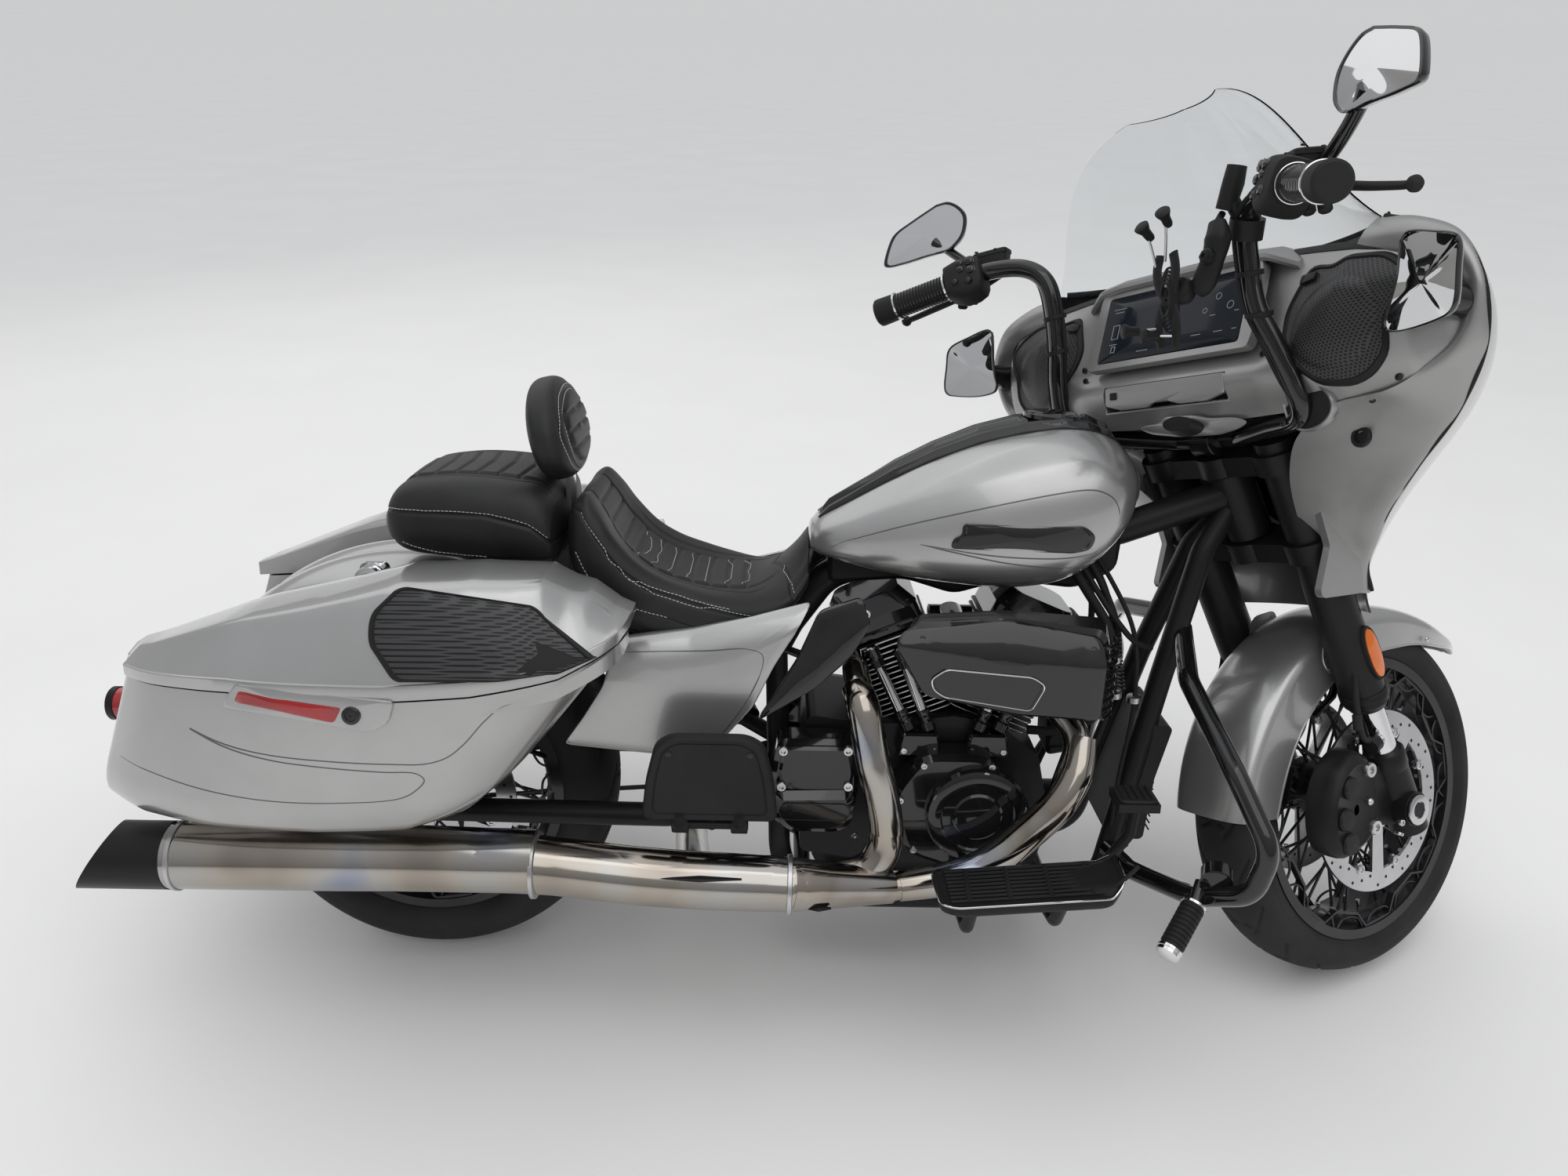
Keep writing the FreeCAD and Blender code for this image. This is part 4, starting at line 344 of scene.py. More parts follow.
def frames_along(path, up=(0, 0, 1)):
    """Tangent and two cross directions at each point; the first stays nearest to `up`."""
    tangent = np.gradient(path, axis=0)
    tangent /= np.linalg.norm(tangent, axis=1)[:, None] + 1e-12
    side = np.cross(tangent, np.broadcast_to(np.array(up, float), tangent.shape))
    side /= np.linalg.norm(side, axis=1)[:, None] + 1e-9
    return tangent, side, np.cross(side, tangent)


def sweep(path, radius, sides=12, count=None, up=(0, 0, 1), flat=(1.0, 1.0), caps=True):
    """Round or oval skin along a path: centre + radius (cos a side + sin a normal)."""
    path = curve_through(path, count) if count else np.asarray(path, float)
    _, side, normal = frames_along(path, up)
    a = np.linspace(0, 2 * np.pi, sides, endpoint=False)
    given = np.atleast_1d(np.asarray(radius, float))
    if len(given) < 2:
        given = given[[0, 0]]
    r = np.interp(np.linspace(0, 1, len(path)), np.linspace(0, 1, len(given)), given)[:, None, None]
    ring = (np.cos(a)[None, :, None] * side[:, None] * flat[0]
            + np.sin(a)[None, :, None] * normal[:, None] * flat[1])
    points = (path[:, None] + r * ring).reshape(-1, 3)
    faces = [list(f) for f in grid_faces(len(path), sides, wrap_v=True)]
    if caps:
        last = (len(path) - 1) * sides
        faces += [list(range(sides))[::-1], list(range(last, last + sides))]
    return points, faces


def lathe(profile, centre, axis, sides=32):
    """Skin of a profile, rows of distance along the axis and radius, turned about it."""
    profile = np.asarray(profile, float)
    axis = np.asarray(axis, float) / np.linalg.norm(axis)
    helper = np.array([0, 0, 1.0]) if abs(axis[2]) < 0.9 else np.array([1.0, 0, 0])
    u = np.cross(helper, axis)
    u /= np.linalg.norm(u)
    w = np.cross(axis, u)
    a = np.linspace(0, 2 * np.pi, sides, endpoint=False)
    ring = np.cos(a)[:, None] * u + np.sin(a)[:, None] * w
    points = np.asarray(centre, float) + profile[:, None, :1] * axis + profile[:, None, 1:] * ring
    faces = [list(f) for f in grid_faces(len(profile), sides, wrap_v=True)]
    if profile[0, 1] > 1e-6:
        faces.append(list(range(sides))[::-1])
    if profile[-1, 1] > 1e-6:
        last = (len(profile) - 1) * sides
        faces.append(list(range(last, last + sides)))
    return points.reshape(-1, 3), faces


def merged(shapes):
    """One list of points and faces from several."""
    points, faces, start = [], [], 0
    for p, f in shapes:
        p = np.asarray(p, float).reshape(-1, 3)
        points.append(p)
        faces += [[int(i) + start for i in face] for face in f]
        start += len(p)
    return np.concatenate(points), faces


def flipped(shape, side=-1):
    """The same shape, mirrored to the other side where side is -1."""
    points, faces = shape
    points = np.asarray(points, float).copy()
    if side < 0:
        points[:, 1] *= -1
        faces = [list(f)[::-1] for f in faces]
    return points, faces


def both(shape):
    """A shape and its mirror image across the machine's middle plane."""
    return merged([shape, flipped(shape)])


def rounded(corners, radius, steps=5):
    """Closed 2D outline with each corner rounded by a quadratic curve."""
    corners = np.asarray(corners, float)
    out = []
    for i, p in enumerate(corners):
        a, b = corners[i - 1] - p, corners[(i + 1) % len(corners)] - p
        la, lb = np.linalg.norm(a), np.linalg.norm(b)
        r = min(radius, 0.45 * la, 0.45 * lb)
        t = np.linspace(0, 1, steps)[:, None]
        s, e = p + a / la * r, p + b / lb * r
        out.append((1 - t) ** 2 * s + 2 * t * (1 - t) * p + t ** 2 * e)
    return np.concatenate(out)


def plate(outline, low, high, axis="y", bevel=2.0, radius=0.0):
    """Flat piece from a 2D outline, with its rim bevelled: axis is the direction of its thickness."""
    outline = rounded(outline, radius) if radius else np.asarray(outline, float)
    x, y = outline.T
    if np.sum(x * np.roll(y, -1) - np.roll(x, -1) * y) < 0:
        outline = outline[::-1]
    edge = np.roll(outline, -1, 0) - np.roll(outline, 1, 0)
    inward = np.stack([-edge[:, 1], edge[:, 0]], -1)
    inward /= np.linalg.norm(inward, axis=1)[:, None] + 1e-9
    count = len(outline)
    b = min(bevel, abs(high - low) * 0.45)
    levels = ((low, b), (low + b, 0.0), (high - b, 0.0), (high, b))
    rows = np.array([np.column_stack([outline + inward * inset, np.full(count, level)]) for level,
                     inset in levels])
    faces = [list(f) for f in grid_faces(4, count, wrap_v=True)]
    faces += [list(range(count))[::-1], list(range(3 * count, 4 * count))]
    order = {"x": (2, 0, 1), "y": (0, 2, 1), "z": (0, 1, 2)}[axis]
    points = rows.reshape(-1, 3)[:, order]
    if axis == "y":
        faces = [f[::-1] for f in faces]
    return points, faces


def bolt(centre, axis, radius, height):
    """Cap screw: a round head with a sunken centre."""
    rows = [(0, radius), (height * 0.8, radius), (height, radius * 0.86), (height, radius * 0.5),
            (height * 0.45, radius * 0.45), (height * 0.45, 0.0)]
    return lathe(rows, centre, axis, 12)


# Leather seats and backrest

def closed_loop(points, count):
    """Uniform Catmull-Rom through closed loops: rows of control points become rows of `count` points."""
    m = points.shape[1]
    t = np.linspace(0, m, count, endpoint=False)
    i, w = np.floor(t).astype(int), (t % 1)[None, :, None]
    a, b, c, d = (points[:, (i + k) % m] for k in (-1, 0, 1, 2))
    return 0.5 * (2 * b + (c - a) * w + (2 * a - 5 * b + 4 * c - d) * w**2 + (3 * b - a - 3 * c + d) * w**3)


def skin_normals(grid, wrap=True):
    """Unit normals of a grid from the cross product of its two differences."""
    along = np.gradient(grid, axis=0)
    around = np.roll(grid, -1, 1) - np.roll(grid, 1, 1) if wrap else np.gradient(grid, axis=1)
    normal = np.cross(along, around)
    return normal / (np.linalg.norm(normal, axis=2)[..., None] + 1e-9)


def capped(grid, bulge, steps=7):
    """Adds rings at both ends that shrink to the middle: scale cos, reach sin of a quarter turn."""
    rings = []
    for end, beyond in ((grid[0], grid[0] - grid[1]), (grid[-1], grid[-1] - grid[-2])):
        middle = end.mean(0)
        out = beyond.mean(0)
        out = out / np.linalg.norm(out)
        turn = np.linspace(0, np.pi / 2, steps + 1)[1:-1, None, None]
        rings.append(middle + (end - middle) * np.cos(turn) + out * bulge * np.sin(turn))
    return np.concatenate([rings[0][::-1], grid, rings[1]])


def skin(grid):
    """Points and faces of a closed skin, with a fan at each end."""
    n, m = grid.shape[:2]
    faces = [list(f)[::-1] for f in grid_faces(n, m, wrap_v=True)]
    points = np.concatenate([grid.reshape(-1, 3), grid[0].mean(0)[None], grid[-1].mean(0)[None]])
    a, b = n * m, n * m + 1
    faces += [[(i + 1) % m, a, i][::-1] for i in range(m)]
    last = (n - 1) * m
    faces += [[last + i, b, last + (i + 1) % m][::-1] for i in range(m)]
    return points, faces


def furrow(distance, width, depth):
    """Depth of a sewn channel: depth exp(-(distance / width)^2)."""
    return depth * np.exp(-(distance / width) ** 2)


def inside(value, low, high, soft):
    """1 between low and high, fading out over `soft`."""
    return 1 / (1 + np.exp(-(value - low) / soft)) / (1 + np.exp((value - high) / soft))


def stitches(name, grid, normals, lines, body, lift=0.3, step=6.5, length=4.6, radius=0.55):
    """Short threads along lines that are snapped to the skin: one small hexagonal rod a stitch."""
    flat, flat_normals = grid.reshape(-1, 3), normals.reshape(-1, 3)
    rods = []
    for line in lines:
        path = curve_through(line, 120)
        near = ((path[:, None] - flat[None]) ** 2).sum(-1).argmin(1)
        path = flat[near] + flat_normals[near] * lift
        keep = np.concatenate([[True], np.linalg.norm(np.diff(path, axis=0), axis=1) > 0.5])
        path = path[keep]
        kernel = np.ones(5) / 5
        padded_path = np.concatenate([path[:1].repeat(2, 0), path, path[-1:].repeat(2, 0)])
        path = np.stack([np.convolve(padded_path[:, k], kernel, "valid") for k in range(3)], -1)
        far = np.concatenate([[0], np.cumsum(np.linalg.norm(np.diff(path, axis=0), axis=1))])
        for start in np.arange(2, far[-1] - length, step):
            ends = [[np.interp(d, far, path[:, k]) for k in range(3)] for d in (start, start + length)]
            rods.append(sweep(np.array(ends), radius, 6))
    return mesh_piece(name, *merged(rods), thread, body, slot="leather", sharp=0)


def loop_section(rows, shares):
    """Control loops of a seat from rows of x, underside, shoulder, crest and half width.

    `shares` place a right half's points: share of the half width, of underside to shoulder, of shoulder
    to crest.
    """
    x, low, edge, crest, half = (rows[:, k][:, None] for k in range(5))
    side, rise, top = (np.array(c)[None] for c in zip(*shares))
    y = side * half
    z = low + rise * (edge - low) + top * (crest - edge)
    right = np.stack([x + 0 * y, -y, z], -1)
    left = np.stack([x + 0 * y, y, z], -1)[:, ::-1]
    return np.concatenate([right, left[:, 1:-1]], 1)


SEAT_SHARES = ((0.0, 0, 0), (0.45, 0, 0), (0.84, 0.02, 0), (0.965, 0.22, 0), (1.0, 0.50, 0),
               (0.975, 0.78, 0), (0.88, 0.97, 0), (0.70, 1.03, 0.45), (0.40, 1.0, 0.86), (0.0, 1, 1))


SEAT_PLEATS = tuple(range(372, 553, 30))
MIDDLE_PANEL = ((300, 360, 560, 620), (62, 84, 80, 46))  # x, and half width of the pleated panel there


def seat_skin(rows, across, bulge, count):
    """A seat's closed skin from its rows: smoothed sections with bulged ends."""
    table = curve_through(rows, count)
    return capped(closed_loop(loop_section(table, SEAT_SHARES), across), bulge)


def rider_seat():
    """Bucket that rises behind, a pleated middle within sewn channels, a nose that climbs the tank."""
    rows = ((276, 752, 838, 846, 128), (288, 728, 856, 862, 146), (304, 698, 862, 866, 158),
            (326, 676, 842, 834, 165), (352, 660, 806, 788, 170), (390, 646, 766, 748, 172),
            (430, 637, 742, 727, 172), (480, 638, 724, 714, 171), (520, 641, 713, 710, 166),
            (570, 654, 704, 716, 150), (610, 669, 704, 738, 130), (638, 688, 714, 768, 104),
            (656, 708, 736, 794, 80))
    grid = seat_skin(rows, 320, 8, 190)
    normal = skin_normals(grid)
    x, y, z = np.moveaxis(grid, -1, 0)
    up = normal[..., 2] > 0.15
    width = np.interp(x, *MIDDLE_PANEL)
    middle = inside(np.abs(y), -9, width - 1.5, 1.2)
    dip = np.zeros_like(x)
    for at in SEAT_PLEATS:
        dip += furrow(x - at - 0.0006 * y**2, 3.0, 4.2) * middle * up
    for at in (786, 818, 848):
        dip += furrow(z - at, 3.0, 3.6) * middle * (x < 356) * (normal[..., 0] > 0.2)
    dip += furrow(np.abs(y) - width, 2.6, 3.8) * inside(x, 300, 600, 5) * up
    dip += furrow(np.abs(y) - width - 26, 2.2, 2.4) * inside(x, 366, 585, 6) * up
    seam = np.interp(x, (296, 330, 360, 400, 480, 560, 600), (850, 800, 764, 734, 708, 684, 676))
    dip += furrow(z - seam, 2.6, 3.4) * (np.abs(y) > 92) * inside(x, 292, 596, 4)
    low_seam = np.interp(x, (276, 320, 380, 440, 500), (800, 735, 700, 684, 660))
    dip += furrow(z - low_seam, 2.2, 2.2) * (np.abs(y) > 110) * inside(x, 284, 500, 6)
    nose = 600 + 0.30 * np.abs(y)
    dip += furrow(x - nose, 2.4, 2.6) * (np.abs(y) < 110) * up
    swell = 3.5 * middle * inside(x, 372, 556, 6) * up
    grid = grid + normal * (swell - dip)[..., None]
    points, faces = skin(grid)
    piece = mesh_piece("rider_seat_leather", points, faces, leather_black, "chassis", "leather", sharp=0)
    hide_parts("rider_seat")
    lines = []
    for side in (-1, 1):
        lines.append([(296, side * 140, 852), (330, side * 164, 803), (360, side * 170, 767),
                      (400, side * 172, 737),
                      (480, side * 171, 711), (560, side * 153, 687), (596, side * 136, 679)])
        lines.append([(372, side * 172, 752), (430, side * 173, 733), (500, side * 170, 714),
                      (540, side * 160, 700)])
        lines.append([(612, side * 40, 745), (618, side * 64, 733), (630, side * 90, 722),
                      (634, side * 104, 712)])
        lines.append([(284, side * 148, 788), (320, side * 162, 738), (380, side * 171, 703),
                      (440, side * 172, 687)])
    for at in SEAT_PLEATS:
        edge = float(np.interp(at, *MIDDLE_PANEL)) - 6
        lines.append([(at + 2.2, -edge, 760), (at + 1.5, -edge * 0.4, 735), (at + 1.5, edge * 0.4, 735),
                      (at + 2.2, edge, 760)])
    stitches("rider_seat_thread", grid, skin_normals(grid), lines, "chassis")


def pillion_seat():
    """Long cushion with a crowned, pleated top, a stitched shoulder and a plain skirt."""
    rows = ((-14, 802, 842, 848, 120), (-4, 790, 862, 870, 138), (20, 777, 878, 887, 150),
            (70, 770, 886, 895, 156), (120, 766, 887, 897, 158), (180, 760, 882, 893, 158),
            (222, 754, 874, 886, 156), (240, 754, 862, 873, 152), (249, 758, 848, 858, 146))
    grid = seat_skin(rows, 320, 9, 150)
    normal = skin_normals(grid)
    x, y, z = np.moveaxis(grid, -1, 0)
    up = normal[..., 2] > 0.3
    width = np.interp(x, (-20, 40, 200, 250), (52, 84, 88, 74))
    middle = inside(np.abs(y), -9, width - 1.5, 1.2)
    dip = np.zeros_like(x)
    for at in (28, 62, 96, 130, 164, 198):
        dip += furrow(x - at + 0.10 * (np.abs(y) - 40), 3.0, 4.0) * middle * up
    dip += furrow(np.abs(y) - width, 2.8, 4.0) * inside(x, -2, 226, 5) * up
    dip += furrow(np.abs(y) - width - 16, 2.4, 2.6) * inside(x, 10, 240, 5) * up
    seam = np.interp(x, (-24, 0, 60, 150, 220, 256), (842, 846, 846, 844, 826, 796))
    dip += furrow(z - seam, 2.8, 3.6) * (~up | (np.abs(y) > 110))
    low_seam = np.interp(x, (-24, 60, 150, 256), (800, 778, 772, 772))
    dip += furrow(z - low_seam, 2.2, 2.0) * (np.abs(y) > 100)
    swell = 4.0 * middle * inside(x, 10, 222, 6) * up
    grid = grid + normal * (swell - dip)[..., None]
    points, faces = skin(grid)
    piece = mesh_piece("pillion_seat_leather", points, faces, leather_black, "chassis", "leather", sharp=0)
    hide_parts("pillion_seat")
    lines = []
    for side in (-1, 1):
        lines.append([(-18, side * 110, 846), (0, side * 142, 850), (60, side * 157, 850),
                      (150, side * 159, 848), (220, side * 158, 830), (248, side * 150, 806)])
        lines.append([(10, side * 150, 794), (80, side * 150, 775), (150, side * 150, 769)])
    stitches("pillion_seat_thread", grid, skin_normals(grid), lines, "chassis")


def backrest_pad():
    """Egg-shaped pad: rings of one outline from its rim to the middle of each face, bulging by a cosine."""
    around, across = 220, 64
    a = np.linspace(0, 2 * np.pi, around, endpoint=False)
    wide = 124 - 16 * np.sin(a) + 6 * np.cos(2 * a)
    outline = np.stack([np.sign(np.cos(a)) * np.abs(np.cos(a)) ** 0.86 * wide,
                        np.sign(np.sin(a)) * np.abs(np.sin(a)) ** 0.90 * 82], -1)
    t = np.linspace(0.02, np.pi - 0.02, across)
    share = np.sin(t) ** 0.55
    depth = np.where(t < np.pi / 2, 34 * np.clip(np.cos(t), 0, 1) ** 0.9 + 4,
                     -26 * np.abs(np.cos(t)) ** 0.8 - 4)
    y = share[:, None] * outline[None, :, 0]
    w = share[:, None] * outline[None, :, 1]
    n = np.broadcast_to(depth[:, None], y.shape).copy()
    front = n > 0
    panel = np.hypot(y / 84, (w + 2) / 60)
    dip = furrow((panel - 1) * 66, 3.0, 4.5) * front
    dip += furrow((np.hypot(y / 108, w / 72) - 1) * 84, 2.4, 2.4) * front
    for at in (-30, -2, 26):
        dip += furrow(w - at, 3.0, 4.0) * inside(panel, -1, 0.96, 0.03) * front
    dip += furrow(n + 2, 2.4, 3.0)
    n = n - dip * np.sign(n) + 4 * inside(panel, -1, 0.97, 0.04) * front
    tilt = math.radians(13)
    x0, z0 = 238, 958
    grid = np.stack([x0 + n * math.cos(tilt) - w * math.sin(tilt), y,
                     z0 + w * math.cos(tilt) + n * math.sin(tilt)], -1)
    points, faces = skin(grid)
    piece = mesh_piece("backrest_leather", points, [f[::-1] for f in faces], leather_black, "chassis",
                       "leather", sharp=0)
    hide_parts("backrest_pad")
    b = np.linspace(0.3, 2 * np.pi + 0.3, 60)
    face_x = lambda w: x0 + 34 * math.cos(tilt) - w * math.sin(tilt)
    ring = [(face_x(70 * math.sin(k)), 112 * math.cos(k),
             z0 + 74 * math.sin(k) * math.cos(tilt)) for k in b]
    inner = [(face_x(60 * math.sin(k)), 90 * math.cos(k),
              z0 - 2 + 65 * math.sin(k) * math.cos(tilt)) for k in b]
    stitches("backrest_thread", grid, skin_normals(grid), [ring, inner], "chassis")


rider_seat()
pillion_seat()
backrest_pad()


# Tank, console and their lines

TANK = np.array((  # x, underside, widest height, crest, half width
    (664, 764, 780, 808, 52), (676, 760, 783, 820, 74), (700, 754, 787, 836, 95), (740, 745, 791, 861, 116),
    (800, 734, 797, 897, 137), (860, 726, 803, 928, 151), (930, 720, 812, 957, 164),
    (1000, 719, 824, 976, 170), (1060, 730, 838, 984, 170), (1105, 754, 850, 980, 162),
    (1140, 788, 864, 966, 147), (1165, 822, 878, 946, 121), (1180, 854, 890, 922, 92)), float)


def tank_grid(across=160, along=110):
    """Sections of a superellipse: y = w cos^(2/n), z = widest + h sin^(2/n), fuller below than above."""
    x, low, wide, crest, half = (c[:, None] for c in curve_through(TANK, along).T)
    a = np.linspace(0, 2 * np.pi, across, endpoint=False)[None] + 0.01
    upper = np.sin(a) > 0
    n = np.where(upper, 2.55, 2.9)
    y = np.sign(np.cos(a)) * np.abs(np.cos(a)) ** (2 / n) * half
    z = wide + np.sign(np.sin(a)) * np.abs(np.sin(a)) ** (2 / n) * np.where(upper, crest - wide, wide - low)
    return np.stack([x + 0 * y, y, z], -1)


PLATE_SHARES = tuple((k, 3.6) for k in (0.85, 0.75, 0.65, 0.55, 0.45, 0.35, 0.25, 0.15, 0.05))


def refined(grid):
    """The grid with the middle of each step along its rows put in."""
    out = np.empty((grid.shape[0], 2 * grid.shape[1] - 1, 3))
    out[:, ::2] = grid
    out[:, 1::2] = (grid[:, 1:] + grid[:, :-1]) / 2
    return out


def on_skin(grid, keys, toward):
    """Places on a skin from two coordinates: a mean of near vertices, weights exp(-(d / 5 mm)^2 / 2)."""
    flat = grid.reshape(-1, 3)
    normals = skin_normals(grid).reshape(-1, 3)
    normals *= np.sign((normals * (flat - flat.mean(0))).sum(-1))[:, None]
    kept = normals @ np.array(toward, float) > 0.2
    flat, normals = flat[kept], normals[kept]

    def at(a, b, lift):
        gap = (flat[:, keys[0]] - a[:, None]) ** 2 + (flat[:, keys[1]] - b[:, None]) ** 2
        weight = np.exp(-(gap - gap.min(1, keepdims=True)) / 50)
        weight /= weight.sum(1, keepdims=True)
        spot, normal = weight @ flat, weight @ normals
        spot[:, keys[0]], spot[:, keys[1]] = a, b
        return spot + lift * normal / np.linalg.norm(normal, axis=1)[:, None]

    return at


def inlay(outline, at, rows):
    """Rings of a 2D outline shrunk about its middle, carried by `at(y, z, lift)`: rows of share and lift."""
    outline = np.asarray(outline, float)
    middle = outline.mean(0)
    rings = [at(*((outline - middle) * share + middle).T, lift) for share, lift in rows]
    points = np.concatenate(rings)
    faces = [list(f) for f in grid_faces(len(rows), len(outline), wrap_v=True)]
    faces.append([(len(rows) - 1) * len(outline) + i for i in range(len(outline))])
    return points, faces


def painted_line(path, normals, width):
    """Thin ribbon along a path on a skin, `width` wide, tapering where width does: a flat lens section."""
    tangent = np.gradient(path, axis=0)
    side = np.cross(tangent, normals)
    side /= np.linalg.norm(side, axis=1)[:, None] + 1e-9
    half = np.broadcast_to(np.asarray(width, float) / 2, (len(path),))[:, None]
    rows = np.stack([path - side * half - normals * 0.5, path + normals * 0.25,
                     path + side * half - normals * 0.5], 1)
    return rows.reshape(-1, 3), grid_faces(len(path), 3)


def tank():
    """Teardrop tank with its painted lines and a bare plate on each side."""
    grid = capped(tank_grid(), 9)
    piece = mesh_piece("tank_shell", *skin(grid), silver, "chassis", "silver_paint", sharp=0)
    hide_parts("fuel_tank")
    at = on_skin(grid, (0, 2), (0, -1, 0))
    loops = (
        ((676, 768), (690, 782), (708, 796), (730, 806), (800, 833), (880, 858), (960, 880), (1040, 898),
         (1078, 903), (1100, 901), (1124, 888), (1136, 864), (1134, 838), (1124, 818), (1108, 806),
         (1066, 797), (1000, 795), (930, 798), (830, 808)),
        ((830, 808), (900, 796), (970, 785), (1040, 779), (1074, 777), (1086, 772), (1084, 762),
         (1072, 752)))
    ribbons = []
    for loop in loops:
        path = curve_through(loop, 150).T
        width = np.interp(np.arange(150), (0, 12, 138, 149), (1.2, 2.4, 2.4, 0.8))
        ribbons.append(painted_line(at(*path, 0.8), at(*path, 1) - at(*path, 0), width))
    shape = merged(ribbons)
    mesh_piece("tank_lines", *both(shape), stripe_and_groove_shade, "chassis", "silver_paint", sharp=0, closed=False)
    blank = rounded(((893, 846), (1080, 848), (1098, 832), (1092, 812), (1070, 806), (876, 806), (880, 822),
                     (893, 828)), 9)
    badge = inlay(blank, at, ((1.0, 0), (1.0, 4), (0.975, 5), (0.94, 5), (0.925, 3.6)) + PLATE_SHARES)
    mesh_piece("tank_blank_plates", *both(badge), gloss_black, "chassis", "gloss_black", closed=False)


def crest_at(x, y):
    """Height of the tank's upper skin: widest + rise (1 - (y / w)^n)^(1 / n)."""
    wide, crest, half = (np.interp(x, TANK[:, 0], TANK[:, k]) for k in (2, 3, 4))
    return wide + (crest - wide) * np.clip(1 - np.abs(y / half) ** 2.55, 0, 1) ** (1 / 2.55)


def console():
    """Gloss black crest: a raised spine between two channels, narrow at the seat and wide round the cap."""
    u = np.linspace(0, 1, 120)[:, None]
    v = np.linspace(-1, 1, 65)[None]
    x = 674 + u * 482
    half = np.interp(x, (674, 720, 800, 900, 1000, 1080, 1130, 1156), (20, 31, 43, 52, 58, 58, 50, 36))
    y = v * half
    s = np.abs(v) + 0 * u
    rise = 9 * (1 - s**6) + 7 * np.exp(-(s / 0.20) ** 2) - 4 * np.exp(-((s - 0.42) / 0.12) ** 2)
    rise += 4 * np.exp(-((s - 0.72) / 0.10) ** 2) * np.interp(x, (700, 800, 1000, 1100), (0, 1, 1, 0.4))
    around_cap = np.hypot((x - 1050), y)
    rise = np.where(around_cap < 52, np.minimum(rise, 10) + 2, rise)
    z = crest_at(x, y) + rise * np.interp(x, (674, 690, 1140, 1156), (0.3, 1, 1, 0.3)) - 1.5 * (s > 0.985)
    top = np.stack([x + 0 * y, y, z], -1)
    points = np.concatenate([top.reshape(-1, 3), (top - (0, 0, 16)).reshape(-1, 3)])
    n, m = top.shape[:2]
    low = n * m
    faces = [list(f) for f in grid_faces(n, m)] + [list(f)[::-1] for f in grid_faces(n, m, start=low)]
    rim = [i * m for i in range(n)] + [(n - 1) * m + j for j in range(1, m)]
    rim += [i * m + m - 1 for i in range(n - 2, -1, -1)] + list(range(m - 2, 0, -1))
    faces += [[a, b, b + low, a + low] for a, b in zip(rim, rim[1:] + rim[:1])]
    piece = mesh_piece("tank_console_gloss", points, faces, gloss_black, "chassis", "gloss_black", sharp=60)
    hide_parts("tank_console")
    cap_z = float(crest_at(1050.0, 0.0)) + 10
    cap = lathe([(-4, 45), (2, 45), (3.5, 43.5), (3.5, 41), (2, 40), (4.5, 37), (6, 25), (6.6, 0)],
                (1050, 0, cap_z), (0.05, 0, 1), 64)
    mesh_piece("fuel_cap", *cap, gloss_black, "chassis", "gloss_black")
    edge = []
    for side in (-1, 1):
        path = np.stack([x[:, 0], side * (half[:, 0] + 1.5), crest_at(x[:, 0], half[:, 0] + 1.5) + 0.5], -1)
        edge.append(sweep(path, 2.6, 8))
    mesh_piece("console_seal", *merged(edge), rubber, "chassis", "black_rubber")


# Saddlebags: tubs and lids

BAG_PLAN = np.array((  # share of the length, y
    (0.012, 206), (0.0, 240), (0.004, 284), (0.03, 314), (0.13, 360), (0.33, 405), (0.58, 415), (0.80, 404),
    (0.93, 370), (0.985, 332), (1.0, 285), (1.0, 240), (0.99, 206), (0.96, 197), (0.78, 196), (0.5, 196),
    (0.22, 196), (0.04, 197)), float)
SEAM = ((-372, 628), (-165, 642), (60, 639), (180, 647), (300, 666), (388, 704))
BASE = ((0, 440), (0.13, 415), (0.3, 406), (0.58, 401), (0.8, 404), (0.93, 424), (1.0, 456))


def seam_z(x):
    """Height of the line between tub and lid at a place along the bag."""
    return np.interp(x, *np.array(SEAM).T)


def tub_grid(loops=46, around=300):
    """Plan loops stacked from the base to the seam; the ends slant and the base's edge is a quarter round."""
    plan = closed_loop(BAG_PLAN[None], around)[0]
    s, y_plan = np.clip(plan[:, 0], 0, 1)[None], plan[:, 1][None]
    v = np.concatenate([np.linspace(0, 0.3, loops // 2, endpoint=False),
                        np.linspace(0.3, 1, loops - loops // 2)])[:, None]
    round_off = 1 - np.sqrt(np.clip(1 - (1 - np.clip(v / 0.28, 0, 1)) ** 2, 0, 1))
    lean = 15 * (1 - v) ** 1.4
    rear = -434 + 66 * v + 18 * round_off
    front = 184 + 202 * v ** 0.93 - 26 * round_off
    x = rear + s * (front - rear)
    middle = 300
    y = middle + (y_plan - middle) * (1 - np.where(y_plan > middle, 0.52, 0.30) * round_off)
    y = y - lean * (y_plan > middle) * (y_plan - middle) / 115
    base = np.interp(s, *np.array(BASE).T)
    top = seam_z(-368 + s * (386 + 368))
    z = base + (top - base) * v
    return np.stack([x, -y, z], -1)


def tub_shell():
    """The tub's skin, its base closed by shrinking loops, its rim turned in over the wall's thickness."""
    grid = tub_grid()
    first = grid[0]
    middle = first.mean(0)
    floor = np.array([middle + (first - middle) * k + np.array((0, 0, -0.8)) * (1 - k)
                      for k in (0.05, 0.35, 0.7, 0.9)])
    last = grid[-1]
    centre = last.mean(0)
    outward = last - centre
    inner = centre + outward * (1 - 4.5 / (np.linalg.norm(outward, axis=1)[:, None] + 1e-9))
    wall = np.array([inner + (0, 0, -2), inner + (0, 0, -30)])
    return np.concatenate([floor, grid, wall]), grid


